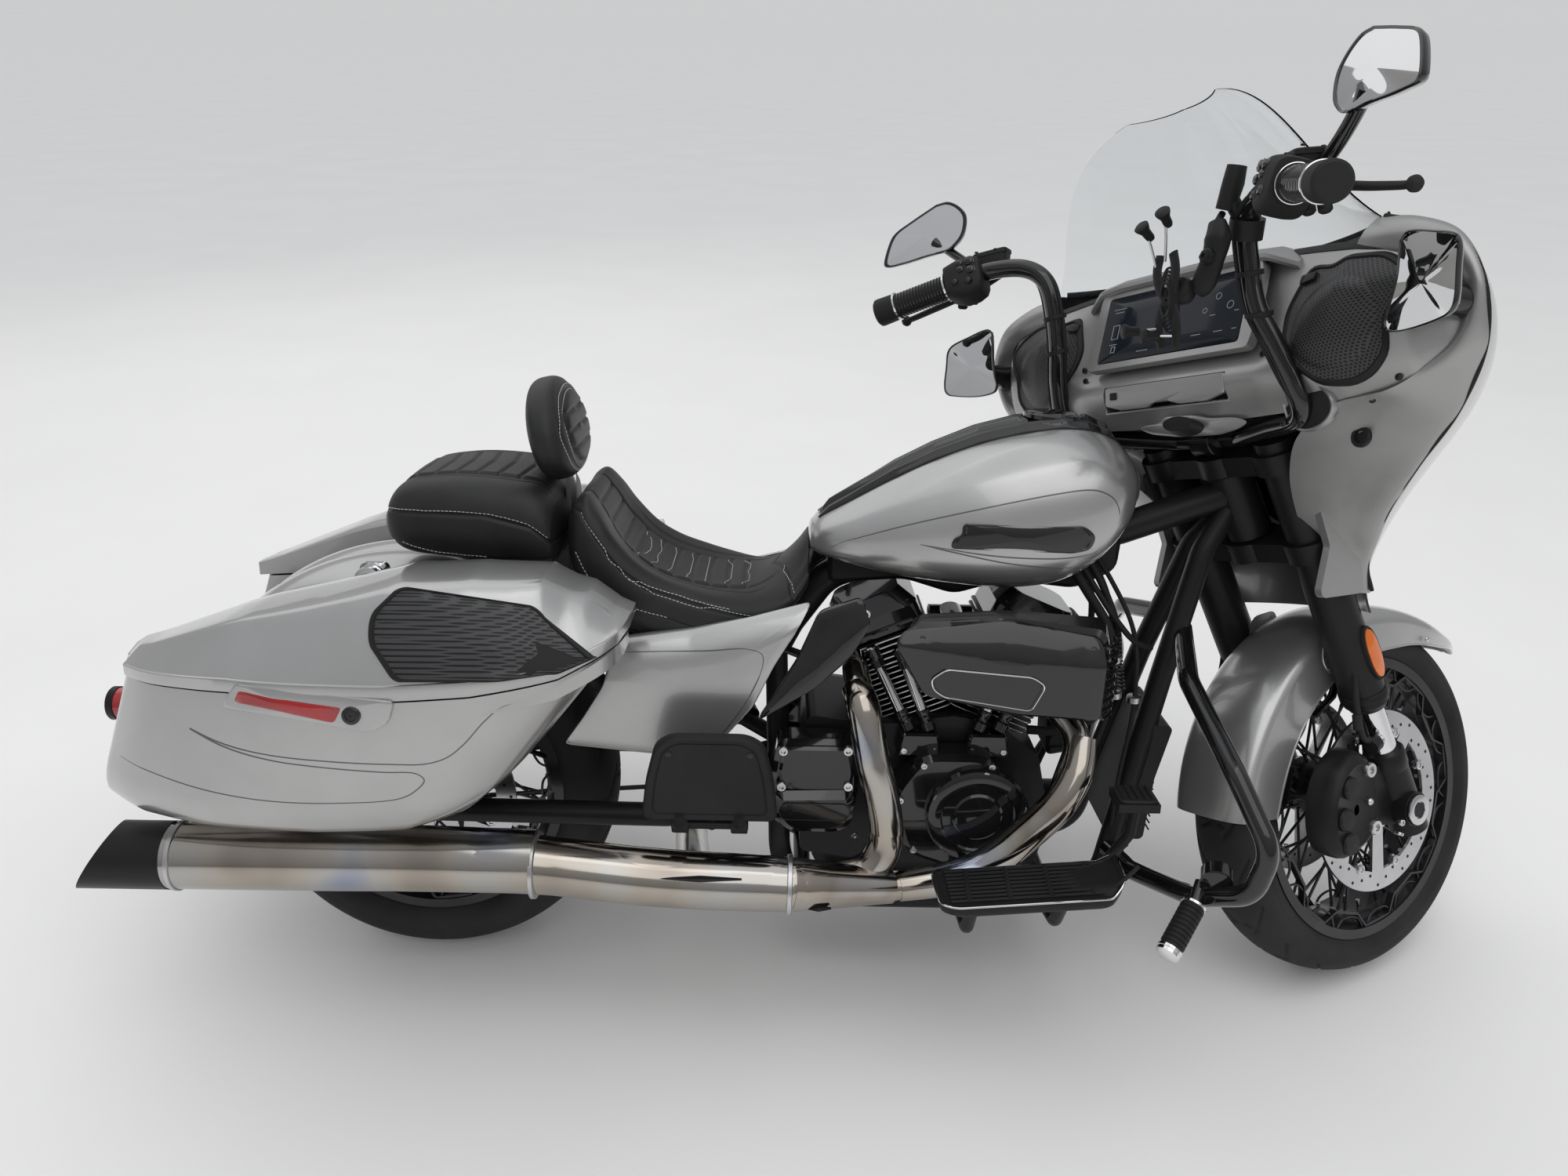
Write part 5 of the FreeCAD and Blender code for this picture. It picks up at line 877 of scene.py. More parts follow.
def lid_grid(along=120):
    """Sections from the inner wall over the plateau and down the slope to the rim band, each a table of
    shares of the width and the rise."""
    u = np.linspace(0, 1, along)
    u = 0.5 - 0.5 * np.cos(np.pi * u)
    x = -374 + u * (388 + 374)
    seam = seam_z(x) + 3
    top = np.interp(x, (-374, -335, -200, -60, 60, 170, 268, 330, 366, 388),
                    (24, 34, 76, 112, 145, 144, 126, 80, 36, 14))
    s = (x + 372) / (388 + 372)
    plan = closed_loop(BAG_PLAN[None], 600)[0]
    outer = plan[(plan[:, 1] > 284)]
    order = np.argsort(outer[:, 0])
    y_out = np.interp(s, outer[order, 0], outer[order, 1]) + 2.5
    y_out = np.minimum(y_out, np.interp(s, (0, 0.015, 0.05, 0.93, 0.985, 1),
                                        (262, 292, 420, 420, 345, 262)))
    span = (y_out - 198)[:, None]
    ridge = np.interp(s, (0, 0.25, 0.5, 0.8, 1), (0.55, 0.66, 0.72, 0.66, 0.5))[:, None]
    share = np.array([0, 0.004, 0.02, 0.06, 0.16, 0.3, 0.42, 0.5, 0.535, 0.56, 0.62, 0.7, 0.8, 0.9, 0.955,
                      0.972, 0.978, 0.985, 0.995, 1.0, 1.0, 0.992, 0.97])
    rise = np.array([-0.02, 0.90, 0.97, 0.992, 1.0, 1.0, 0.992, 0.985, 0.97, 0.935, 0.84, 0.68, 0.47, 0.24,
                     0.10, 0.055, 0.05, 0.05, 0.045, 0.02, -1, -2, -2])
    inner = np.minimum(share, 0.56) / 0.56 * ridge
    outer_part = np.maximum(share - 0.56, 0) / 0.44 * (1 - ridge)
    y = 198 + span * (inner + outer_part)
    band = 16
    z = seam[:, None] + band + rise[None] * (top[:, None] - band)
    z[:, -3] = seam + 3
    z[:, -2] = seam
    z[:, -1] = seam + 2
    z[:, 0] = seam
    return np.stack([x[:, None] + 0 * y, -y, z], -1)


def bag(side, name):
    """One tub, for the right or the left."""
    shell, _ = tub_shell()
    points, faces = shell.reshape(-1, 3), grid_faces(len(shell), shell.shape[1], wrap_v=True)
    tub = mesh_piece(name + "_tub", *flipped((points, faces), -side), silver, "chassis",
                     "silver_paint", sharp=50)
    return tub


def bag_lines(side):
    """Two dark lines that part from one point at the rear, and one that runs low along the tub."""
    _, grid = tub_shell()
    at = on_skin(grid, (0, 2), (0, -1, 0))
    rows = (
        ((-232, 580), (-180, 565), (-110, 553), (-20, 546), (60, 543), (110, 543), (140, 552), (165, 572),
         (200, 612), (225, 632), (262, 640), (310, 650)),
        ((-232, 580), (-180, 561), (-110, 545), (-30, 536), (50, 530), (96, 527), (106, 516), (94, 500),
         (70, 486), (-20, 478), (-110, 478), (-200, 486), (-300, 498), (-372, 508)))
    ribbons = []
    for row in rows:
        path = curve_through(row, 160).T
        width = np.interp(np.arange(160), (0, 30, 150, 159), (3.4, 2.2, 2.2, 1.0))
        ribbons.append(painted_line(at(*path, 0.5), at(*path, 1) - at(*path, 0), width))
    return flipped(merged(ribbons), -side)


def bags():
    """Both tubs with their lines, and both lids, which ride on their own hinges."""
    tub_right = bag(-1, "bag_right")
    tub_left = bag(1, "bag_left")
    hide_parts("bag_right")
    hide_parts("bag_left")
    mesh_piece("bag_lines", *merged([bag_lines(-1), bag_lines(1)]), stripe_and_groove_shade, "chassis", "silver_paint",
               sharp=0, closed=False)
    grid = lid_grid()
    n, m = grid.shape[:2]
    ends = [list(range(m)), [(n - 1) * m + j for j in range(m)][::-1]]
    shape = grid.reshape(-1, 3), [list(f) for f in grid_faces(n, m)] + ends
    for side, body in ((-1, "lid_right"), (1, "lid_left")):
        lid = mesh_piece(body + "_shell", *flipped(shape, -side), silver, body, "silver_paint", sharp=24)
        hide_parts(body)


tank()
console()
bags()


# Makers for panels on a surface

def thick_sheet(grid, thickness, kept=None):
    """Closed shell from a grid: its skin, the skin less normal * thickness, and walls along open edges."""
    normals = skin_normals(grid, False)
    rows, columns = grid.shape[:2]
    count = rows * columns
    points = np.concatenate([grid.reshape(-1, 3), (grid - normals * thickness).reshape(-1, 3)])
    quads = grid_faces(rows, columns)
    if kept is not None:
        middle = grid.reshape(-1, 3)[quads].mean(1)
        quads = quads[kept(middle)]
    edges = np.concatenate([quads[:, [0, 1]], quads[:, [1, 2]], quads[:, [2, 3]], quads[:, [3, 0]]])
    one_way = {tuple(e) for e in edges.tolist()}
    rim = [(a, b) for a, b in one_way if (b, a) not in one_way]
    faces = quads.tolist() + (quads[:, ::-1] + count).tolist()
    faces += [[b, a, a + count, b + count] for a, b in rim]
    used = sorted({i for f in faces for i in f})
    index = {old: new for new, old in enumerate(used)}
    return points[used], [[index[i] for i in f] for f in faces]


def mesh_finish(name, colour, pitch):
    """Black wire mesh: rows of holes at 60 degrees, cos(a) + cos(b) + cos(c) over three directions; the holes
    are painted near black as shade behind the wires.
    """
    made = finish(name, colour, None, 0.42, 0.3, 0.1)
    tree, shader, _ = parts_of(made)
    where = node(tree, "TexCoord").outputs["Object"]
    split = node(tree, "SeparateXYZ", {"Vector": where})
    total = None
    k = 2 * math.pi / pitch
    for angle in (0, 60, 120):
        c, s = math.cos(math.radians(angle)) * k, math.sin(math.radians(angle)) * k
        across = node(tree, "Math", {0: split.outputs["Y"], 1: c}, operation="MULTIPLY")
        along = node(tree, "Math", {0: split.outputs["Z"], 1: s, 2: across.outputs[0]},
                     operation="MULTIPLY_ADD")
        wave = node(tree, "Math", {0: along.outputs[0]}, operation="COSINE")
        if total is None:
            total = wave.outputs[0]
        else:
            total = node(tree, "Math", {0: total, 1: wave.outputs[0]}).outputs[0]
    hole_mask_and_shade = node(tree, "MapRange", {"Value": total, "From Min": -0.2, "From Max": 0.9})
    # Holes near black, wires dark grey: the holes' darkness is painted shade.
    tree.links.new(colour_mix(tree, hole_mask_and_shade.outputs[0], (0.045, 0.045, 0.047, 1), (0.002, 0.002, 0.002, 1)),
                   shader.inputs["Base Color"])
    lift = node(tree, "Bump", {"Height": hole_mask_and_shade.outputs[0], "Strength": 0.8, "Distance": -0.0008})
    tree.links.new(lift.outputs[0], shader.inputs["Normal"])
    return made


speaker_mesh = mesh_finish("speaker_mesh", (0.03, 0.03, 0.031), 0.0042)
INNER = np.array((  # half width, then x and z of the rear face from low to high
    (0, 1226, 975, 1198, 1040, 1232, 1090, 1272, 1218),
    (180, 1232, 982, 1200, 1040, 1232, 1090, 1272, 1214),
    (240, 1238, 985, 1208, 1037, 1224, 1118, 1269, 1208),
    (300, 1244, 988, 1218, 1034, 1222, 1140, 1262, 1200),
    (400, 1258, 1000, 1236, 1040, 1232, 1130, 1258, 1178),
    (440, 1276, 1030, 1262, 1058, 1262, 1118, 1274, 1152),
    (462, 1292, 1058, 1286, 1075, 1286, 1105, 1290, 1122)), float)


def dash_section(y, count=60):
    """Rear face of the inner fairing at a half width: a curve through four blended points."""
    row = [np.interp(abs(y), INNER[:, 0], INNER[:, k]) for k in range(1, 9)]
    path = curve_through(np.array(row).reshape(4, 2), count)
    return path


def dash_x(y, z):
    """How far back the face stands at a width and a height."""
    y, z = np.broadcast_arrays(np.asarray(y, float), np.asarray(z, float))
    out = [np.interp(c, dash_section(a)[:, 1], dash_section(a)[:, 0]) for a, c in zip(y.ravel(), z.ravel())]
    return np.array(out).reshape(y.shape)


def on_dash(y, z, lift):
    """A place on the dash's face, lifted towards the rider."""
    return np.column_stack([dash_x(y, z) - lift, y, z])


POCKET = (126, 1010.2, 1052)


def dash():
    """Inner fairing: a smooth face with the pocket's opening, a rolled rim and a box behind the opening."""
    ys = np.unique(np.concatenate([np.linspace(-462, 462, 121), (-POCKET[0], POCKET[0])]))
    rows = []
    for y in ys:
        section = dash_section(y, 90)
        z = section[:, 1].copy()
        if abs(y) < 170:
            for level in POCKET[1:]:
                z[np.abs(z - level).argmin()] = level
        rows.append(np.column_stack([np.interp(z, section[:, 1], section[:, 0]), np.full(90, y), z]))
    grid = np.array(rows)

    def kept(p):
        """Keeps what lies outside the pocket's opening."""
        return ~((np.abs(p[:, 1]) < POCKET[0]) & (p[:, 2] > POCKET[1]) & (p[:, 2] < POCKET[2]))

    face = thick_sheet(grid, 3.0 if skin_normals(grid, False)[60, 40, 0] < 0 else -3.0, kept)
    low, high = POCKET[1] - 0.4, POCKET[2] + 0.4
    w = POCKET[0] + 0.4
    box = np.array([[(x, -w, low), (x, w, low), (x, w, high), (x, -w, high)] for x in (1208, 1296)], float)
    outer = (box - (0, 0, 1031)) * (1, 1.02, 1.12) + (0, 0, 1031)
    rings = np.stack([box[1] - (4, 0, 0), box[0], outer[0], outer[1]])
    walls = grid_faces(4, 4, wrap_v=True).tolist() + [[0, 1, 2, 3], [12, 13, 14, 15]]
    piece = mesh_piece("dash_panel", *merged([face, (rings.reshape(-1, 3), walls)]), satin_silver,
                       "steering", "satin_silver", sharp=35)
    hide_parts("fairing_inner")


def dash_details():
    """Shelf, display bezel and brow, door face, key pod, speakers and screws on the inner fairing."""
    ys = np.linspace(-430, 430, 81)
    top = np.array([dash_section(y, 4)[-1] for y in ys])
    edge = np.column_stack([top[:, 0] - 1, ys, top[:, 1] + 1])
    far_x = np.interp(np.abs(ys), (0, 150, 250, 330, 430), (1412, 1392, 1352, 1312, 1284))
    far_z = np.interp(np.abs(ys), (0, 250, 330, 430), (1240, 1238, 1228, 1168))
    far = np.column_stack([far_x, ys, far_z])
    rows = []
    for t, sag in ((0, 0), (0.06, 5), (0.14, 7), (0.2, 1), (0.4, -7), (0.7, -10), (0.9, -8), (1, -2)):
        rows.append(edge + (far - edge) * t + (0, 0, sag))
    grid = np.array(rows)
    lid = thick_sheet(grid, 2.5)
    mesh_piece("dash_shelf", *lid, black_plastic, "steering", "black_plastic", sharp=30)
    slats = []
    for side in (-1, 1):
        for k in range(7):
            x = 1300 + k * 11
            slats.append(sweep([(x, side * 60, 1226), (x - 3, side * 110, 1226), (x - 9, side * 165, 1223)],
                               2.2, 6, 14))
    mesh_piece("shelf_slats", *merged(slats), black_plastic, "steering", "black_plastic")

    a = math.radians(18)

    def on_screen(y, z, lift):
        """The display's own plane, tilted 18 degrees."""
        return np.column_stack([1228 + (z - 1150) * math.sin(a) - lift * math.cos(a), y,
                                1150 + (z - 1150) * math.cos(a) + lift * math.sin(a)])

    frame_out = rounded(((-166, 1078), (166, 1078), (170, 1096), (166, 1216), (-166, 1216),
                         (-170, 1096)), 16, 7)
    frame_in = rounded(((-147, 1089), (147, 1089), (147, 1206), (-147, 1206)), 7, 7)
    frame_in = np.array([frame_in[np.abs(frame_in - p * (0.88, 1)).sum(1).argmin()] for p in frame_out])
    rings = [on_screen(*frame_out.T, -12), on_screen(*frame_out.T, 2),
             on_screen(*(frame_out * 0.995 + (0, 5.7)).T, 4.5),
             on_screen(*frame_in.T, 3.5), on_screen(*frame_in.T, -2)]
    shape = np.concatenate(rings), grid_faces(5, len(frame_out), wrap_v=True).tolist()
    mesh_piece("display_bezel", *shape, satin_silver, "steering", "satin_silver", sharp=30, closed=False)
    ys = np.linspace(-212, 212, 61)
    bend = np.interp(np.abs(ys), (0, 120, 170, 212), (0, 0, 4, 22))
    brow = []
    for dx, z in ((-8, 1214), (-22, 1213), (-27, 1218), (-26, 1224), (-10, 1232), (12, 1236),
                  (30, 1234), (30, 1222)):
        brow.append(np.column_stack([1262 + dx + bend, ys, z - bend * 1.1]))
    brow = np.array(brow)
    n = brow.shape[1]
    ends = [[k * n for k in range(8)], [k * n + n - 1 for k in range(8)][::-1]]
    mesh_piece("display_brow", brow.reshape(-1, 3), grid_faces(8, n, wrap_u=True).tolist() + ends,
               satin_silver, "steering", "satin_silver", sharp=45)
    light = finish("display_glow", (0.0, 0.0, 0.0), None, 0.3, 0.0, 0.0,
                   Emission_Color=(0.70, 0.78, 0.88, 1), Emission_Strength=0.22)
    pane = inlay(rounded(((-145, 1091), (145, 1091), (145, 1204), (-145, 1204)), 6, 6), on_screen,
                 ((1.0, 2.6), (0.995, 3.0), (0.5, 3.0)))
    dark = finish("display_pane", (0.012, 0.015, 0.021), None, 0.12, 0.0, 0.0, Specular_IOR_Level=0.25)
    mesh_piece("display_pane", *pane, dark, "steering", sharp=0, closed=False)
    glow = []
    for cy, w, h in ((118, 7, 12), (116, 4, 5)):
        base = 1143 if h > 10 else 1112
        loop = np.array(((-w, h), (w, h), (w, -h), (-w, -h), (-w, h))) + (cy, base)
        glow.append(sweep(on_screen(*loop.T, 3.4), 0.7, 4))
    for k, (a0, a1, z) in enumerate(((132, 104, 1184), (128, 108, 1178), (126, 110, 1121), (20, -24, 1186),
                                     (14, -30, 1180), (16, -20, 1174), (-52, -70, 1112), (-96, -112, 1112),
                                     (-130, -138, 1112), (-126, -138, 1196), (60, 36, 1102),
                                     (-128, -136, 1141), (-82, -92, 1140))):
        glow.append(sweep(on_screen(np.array((a0, a1)), np.array((z, z)), 3.4), 0.55, 4))
    for cy, cz, r in ((-92, 1170, 5), (-118, 1152, 6), (-134, 1168, 4), (-70, 1150, 4)):
        t = np.linspace(0, 2 * np.pi, 20)
        glow.append(sweep(on_screen(cy + r * np.cos(t), cz + r * np.sin(t), 3.4), 0.5, 4))
    mesh_piece("display_marks", *merged(glow), light, "steering", smooth=False)

    outline = rounded(((-124.5, 1051), (124.5, 1051), (124.5, 1021), (88, 1011.5), (30, 1011.5), (22, 1018),
                       (-28, 1018), (-36, 1011.5), (-90, 1011.5), (-124.5, 1021)), 5, 5)

    def on_door(y, z, lift):
        return np.column_stack([np.full(len(y), 1203.0) - lift, y, z])

    lid = inlay(outline, on_door, ((1.0, -6), (1.0, 0), (0.985, 2.0), (0.93, 2.6), (0.5, 3.4)))
    door = mesh_piece("door_face", *lid, satin_silver, "storage_door", "satin_silver", sharp=30)
    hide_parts("storage_door")
    latch = plate([(96, 1030), (110, 1030), (110, 1042), (96, 1042)], 1197.5, 1201, "x", 1, 2)
    mesh_piece("door_latch", *latch, black_plastic, "storage_door", "black_plastic")

    pod = rounded(((-150, 958), (-128, 971), (-80, 975), (-60, 986), (-8, 988), (6, 972), (40, 970),
                   (52, 962), (30, 945), (-20, 934), (-90, 932), (-130, 943)), 12, 6)

    def on_pod(y, z, lift):
        depth = lift * np.interp(y, (-150, -90, -30, 60), (0.0, 0.12, 0.75, 0.85))
        return np.column_stack([1218 - depth + (z - 985) * -0.25, y, 992 + (z - 985) * 0.62])

    boss = inlay(pod, on_pod, ((1.0, 0), (1.0, 16), (0.97, 24), (0.90, 30), (0.7, 34), (0.3, 36)))
    mesh_piece("key_pod", *boss, satin_silver, "steering", "satin_silver", sharp=50)
    t = np.linspace(0, 2 * np.pi, 40, endpoint=False)
    oval = np.column_stack([-48 + 30 * np.cos(t), 970 + 12 * np.sin(t)])
    knob = inlay(oval, lambda y, z, lift: np.column_stack([1202 - lift + 0 * y, y, z + 4 + lift * 0.3]),
                 ((1.08, -6), (1.08, 3), (1.0, 6), (1.0, 15), (0.93, 19), (0.4, 20)))
    mesh_piece("key_knob", *knob, black_plastic, "steering", "black_plastic", sharp=45)

    screws, frames, nets, tags = [], [], [], []
    for side in (-1, 1):
        for y, z in ((204, 968), (336, 990), (378, 1016), (196, 1090), (184, 1070)):
            screws.append(bolt((float(dash_x(y, z)) - 1, side * y, z), (-1, 0, 0.1), 5.2, 3.0))
        shape = np.array(((239, 1187), (277, 1180), (296, 1190), (350, 1184), (382, 1163), (392, 1141),
                          (382, 1112), (371, 1094), (371, 1051), (349, 1026), (318, 1014), (276, 1019),
                          (240, 1053), (218, 1092), (213, 1126), (227, 1160)), float)
        shape[:, 0] *= side
        rim = rounded(shape, 14, 4)
        frames.append(inlay(rim, on_dash, ((1.05, -4), (1.05, 1.5), (1.03, 5.5), (0.985, 7), (0.955, 5),
                                           (0.94, 2), (0.9, 1))))
        inner = curve_through(np.concatenate([rim, rim[:1]]), 121)[:-1]
        shares = np.linspace(0.95, 0.02, 24)

        def net(y, z, lift, side=side):
            d = np.hypot((y - side * 298) / 62, (z - 1098) / 62)
            rise = 4 + 9 * np.clip(1 - d**2, 0, None) ** 0.5
            return np.column_stack([dash_x(y, z) - lift - rise, y, z])

        nets.append(inlay(inner, net, [(k, 0.0) for k in shares]))
        tag = np.array(((228, 1176), (254, 1178), (254, 1166), (228, 1163)), float) * (side, 1)
        tags.append(inlay(rounded(tag, 3), on_dash, ((1.0, 6), (1.0, 9.5), (0.9, 10.2))))
    mesh_piece("dash_screws", *merged(screws), dark_steel, "steering")
    mesh_piece("speaker_frames", *merged(frames), black_plastic, "steering", "black_plastic", sharp=50,
               closed=False)
    mesh_piece("speaker_nets", *merged(nets), speaker_mesh, "steering", sharp=0, closed=False)
    mesh_piece("speaker_tags", *merged(tags), satin_black, "steering", closed=False)


def fairing_trim():
    """Rubber seam along the fairing's rear edge, the screen's foot strip, the lamp's rim and cells."""
    rows = np.array((  # z, x, y
        (702, 1500, 158), (745, 1474, 168), (830, 1412, 245), (900, 1358, 330), (970, 1314, 415),
        (1050, 1282, 470), (1130, 1262, 478), (1195, 1262, 440), (1240, 1285, 330)), float)
    path = rows[:, [1, 2, 0]]
    seam = sweep(path - (1.5, 0, 0), 3.4, 8, 90)
    mesh_piece("fairing_seam", *both(seam), rubber, "steering", "black_rubber")
    y = np.linspace(-322, 322, 80)
    strip = np.column_stack([1285 + 143 * (1 - (y / 330) ** 2) ** 0.72 + 1.5, y, np.full(80, 1243.0)])
    mesh_piece("screen_strip", *sweep(strip, 5, 8, None, flat=(0.6, 1.3)), rubber, "steering",
               "black_rubber")
    bezel = lathe([(-30, 88), (-26, 96), (0, 100), (7, 98), (9, 93), (4, 88), (-24, 84)], (1592, 0, 900),
                  (1, 0, 0), 72)
    mesh_piece("lamp_rim", *bezel, gloss_black, "steering", "gloss_black")
    bowl = lathe([(4, 82), (-2, 70), (-30, 52), (-56, 22), (-60, 0)], (1578, 0, 900), (1, 0, 0), 48)
    mesh_piece("lamp_bowl", *bowl, mirror_glass, "steering", closed=False)
    led = finish("lamp_white", (0.85, 0.87, 0.9), None, 0.2, 0.0, 0.6)
    cells = [lathe([(0, 15), (5, 14), (10, 9), (12, 0)], (1552, a, 900 + b), (1, 0, 0), 20)
             for a, b in ((-34, 22), (34, 22), (-34, -22), (34, -22), (0, 40), (0, -40))]
    mesh_piece("lamp_cells", *merged(cells), led, "steering")


dash()
dash_details()
fairing_trim()


# Lower inner fairing, bar, controls, mirrors and phone holder

def inner_skirt():
    """Silver lip from the shell's rear edge to the dash, and down both sides of the fork: a ruled bulge
    between two curves, (1 - s) a + s b - 10 sin(pi s) backwards."""
    outer = np.array(((1290, 322, 1240), (1270, 385, 1224), (1259, 440, 1197), (1257, 464, 1166),
                      (1257, 477, 1130), (1265, 477, 1090), (1277, 470, 1050), (1293, 445, 1010),
                      (1309, 415, 970), (1331, 372, 934), (1353, 330, 900), (1380, 288, 866),
                      (1407, 245, 830), (1437, 206, 788), (1469, 168, 745), (1496, 150, 698)), float)
    inner = np.array(((1266, 296, 1199), (1259, 352, 1188), (1252, 396, 1172), (1256, 424, 1156),
                      (1268, 443, 1130), (1274, 446, 1092), (1262, 436, 1056), (1246, 404, 1022),
                      (1240, 362, 1002), (1238, 320, 996), (1236, 284, 990), (1250, 214, 950),
                      (1290, 168, 900), (1335, 140, 850), (1385, 122, 790), (1430, 118, 716)), float)
    a, b = curve_through(outer, 120), curve_through(inner, 120)
    rows = []
    for s, back, out in ((0.0, -7, 0.0), (0.0, -1, 1.2), (0.02, 3, 1.0), (0.06, 6, 0), (0.12, 8, 0),
                         (0.25, 10, 0), (0.45, 11, 0), (0.65, 8, 0), (0.85, 3, 0), (1.0, -2, 0)):
        row = a * (1 - s) + b * s
        row[:, 0] -= back
        row[:, 1] += out
        rows.append(row)
    shape = thick_sheet(np.array(rows), 2.0)
    mesh_piece("fairing_lip", *both(shape), satin_silver, "steering", "satin_silver", sharp=50)
    t = np.linspace(0, 2 * np.pi, 48, endpoint=False)
    holes, rims = [], []
    for side in (-1, 1):
        oval = np.column_stack([side * (243 + 37 * np.cos(t) + 4 * np.cos(2 * t)), 990 + 33 * np.sin(t)])

        def at(y, z, lift):
            return np.column_stack([1229 + (1000 - z) * 0.25 - lift, y, z])

        rims.append(inlay(oval, at, ((1.12, -8), (1.12, 0), (1.06, 3.5), (0.98, 2), (0.96, -6))))
        holes.append(inlay(oval, at, ((0.985, 0.6), (0.9, 1.2), (0.6, 2.5), (0.42, 5))))
    mesh_piece("boot_rims", *merged(rims), satin_silver, "steering", "satin_silver", closed=False)
    mesh_piece("boot_skins", *merged(holes), rubber, "steering", "black_rubber", closed=False)
    cups = [lathe([(-6, 15), (-1, 15), (1, 13), (1, 9), (-4, 8), (-4, 0)],
                  (x, side * y, z), (-1, 0, 0.1), 24)
            for side in (-1, 1) for x, y, z in ((1262, 394, 1016), (1270, 300, 942), (1372, 214, 860))]
    mesh_piece("lip_cups", *merged(cups), black_plastic, "steering", "black_plastic")


BAR_PATH = ((1310, -60, 956), (1276, -150, 966), (1240, -226, 974), (1222, -243, 992), (1206, -238, 1030),
            (1188, -224, 1080), (1174, -207, 1130), (1166, -203, 1180), (1153, -209, 1240),
            (1138, -236, 1266), (1105, -296, 1274), (1045, -382, 1249), (985, -468, 1224))
GRIP_A, GRIP_B = np.array((1105.0, -296, 1274)), np.array((985.0, -468, 1224))
GRIP_WAY = (GRIP_B - GRIP_A) / np.linalg.norm(GRIP_B - GRIP_A)


def along_grip(rows, sides=40):
    """Turned skin on the grip's line: rows of share of its length and radius."""
    length = np.linalg.norm(GRIP_B - GRIP_A)
    return lathe([(t * length, r) for t, r in rows], GRIP_A, GRIP_WAY, sides)


def bars():
    """Handlebar tube with its clamps and the cables that run beside it."""
    bar = sweep(BAR_PATH, 15.5, 24, 150, up=(1, 0.2, 0))
    clamp = lathe([(-21, 24), (-19, 27), (19, 27), (21, 24)], (1308, 0, 956), (0, 1, 0), 32)
    middle = sweep([(1310, -62, 956), (1310, 62, 956)], 15.5, 24)
    piece = mesh_piece("bar_tube", *merged([both(bar), clamp, middle]), gloss_black, "steering",
                       "gloss_black")
    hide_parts("handlebar")
    cables = []
    for dy, dx, r in ((9, -14, 3.0), (-12, -10, 2.6), (16, 2, 3.4)):
        path = np.array(BAR_PATH[3:11], float) + (dx, dy, 0)
        path[0] = (1228, -240 + dy, 986)
        cables.append(sweep(path, r, 8, 90, up=(1, 0.2, 0)))
    ties = [lathe([(-4, 16), (-3.4, 19.5), (3.4, 19.5), (4, 16)], (x, y, z), (0.2, 0.1, -1), 24)
            for x, y, z in ((1166, -203, 1180), (1176, -210, 1122))]
    mesh_piece("bar_cables", *both(merged(cables + ties)), rubber, "steering", "black_rubber")


def switch_pod():
    """Rounded block round the bar: square sections of a superellipse, n = 4, whose size swells and falls."""
    up = np.array((0.1, -0.33, 0.94))
    up -= GRIP_WAY * up.dot(GRIP_WAY)
    up /= np.linalg.norm(up)
    side = np.cross(up, GRIP_WAY)
    a = np.linspace(0, 2 * np.pi, 48, endpoint=False)
    c, s = np.cos(a), np.sin(a)
    c4, s4 = np.sign(c) * np.abs(c) ** 0.55, np.sign(s) * np.abs(s) ** 0.55
    rows = []
    for t, w, h, drop in ((0.06, 18, 18, 0), (0.065, 26, 27, -2), (0.09, 30, 34, -3), (0.16, 33, 38, -4),
                          (0.26, 33, 38, -4), (0.32, 31, 34, -2), (0.365, 29, 30, 0), (0.37, 22, 22, 0)):
        centre = GRIP_A + (GRIP_B - GRIP_A) * t + up * drop
        rows.append(centre + c4[:, None] * side * w + s4[:, None] * up * h)
    rows = np.array(rows)
    n = 48
    faces = grid_faces(8, n, wrap_v=True).tolist() + [list(range(n))[::-1], list(range(7 * n, 8 * n))]
    return rows.reshape(-1, 3), faces, side, up


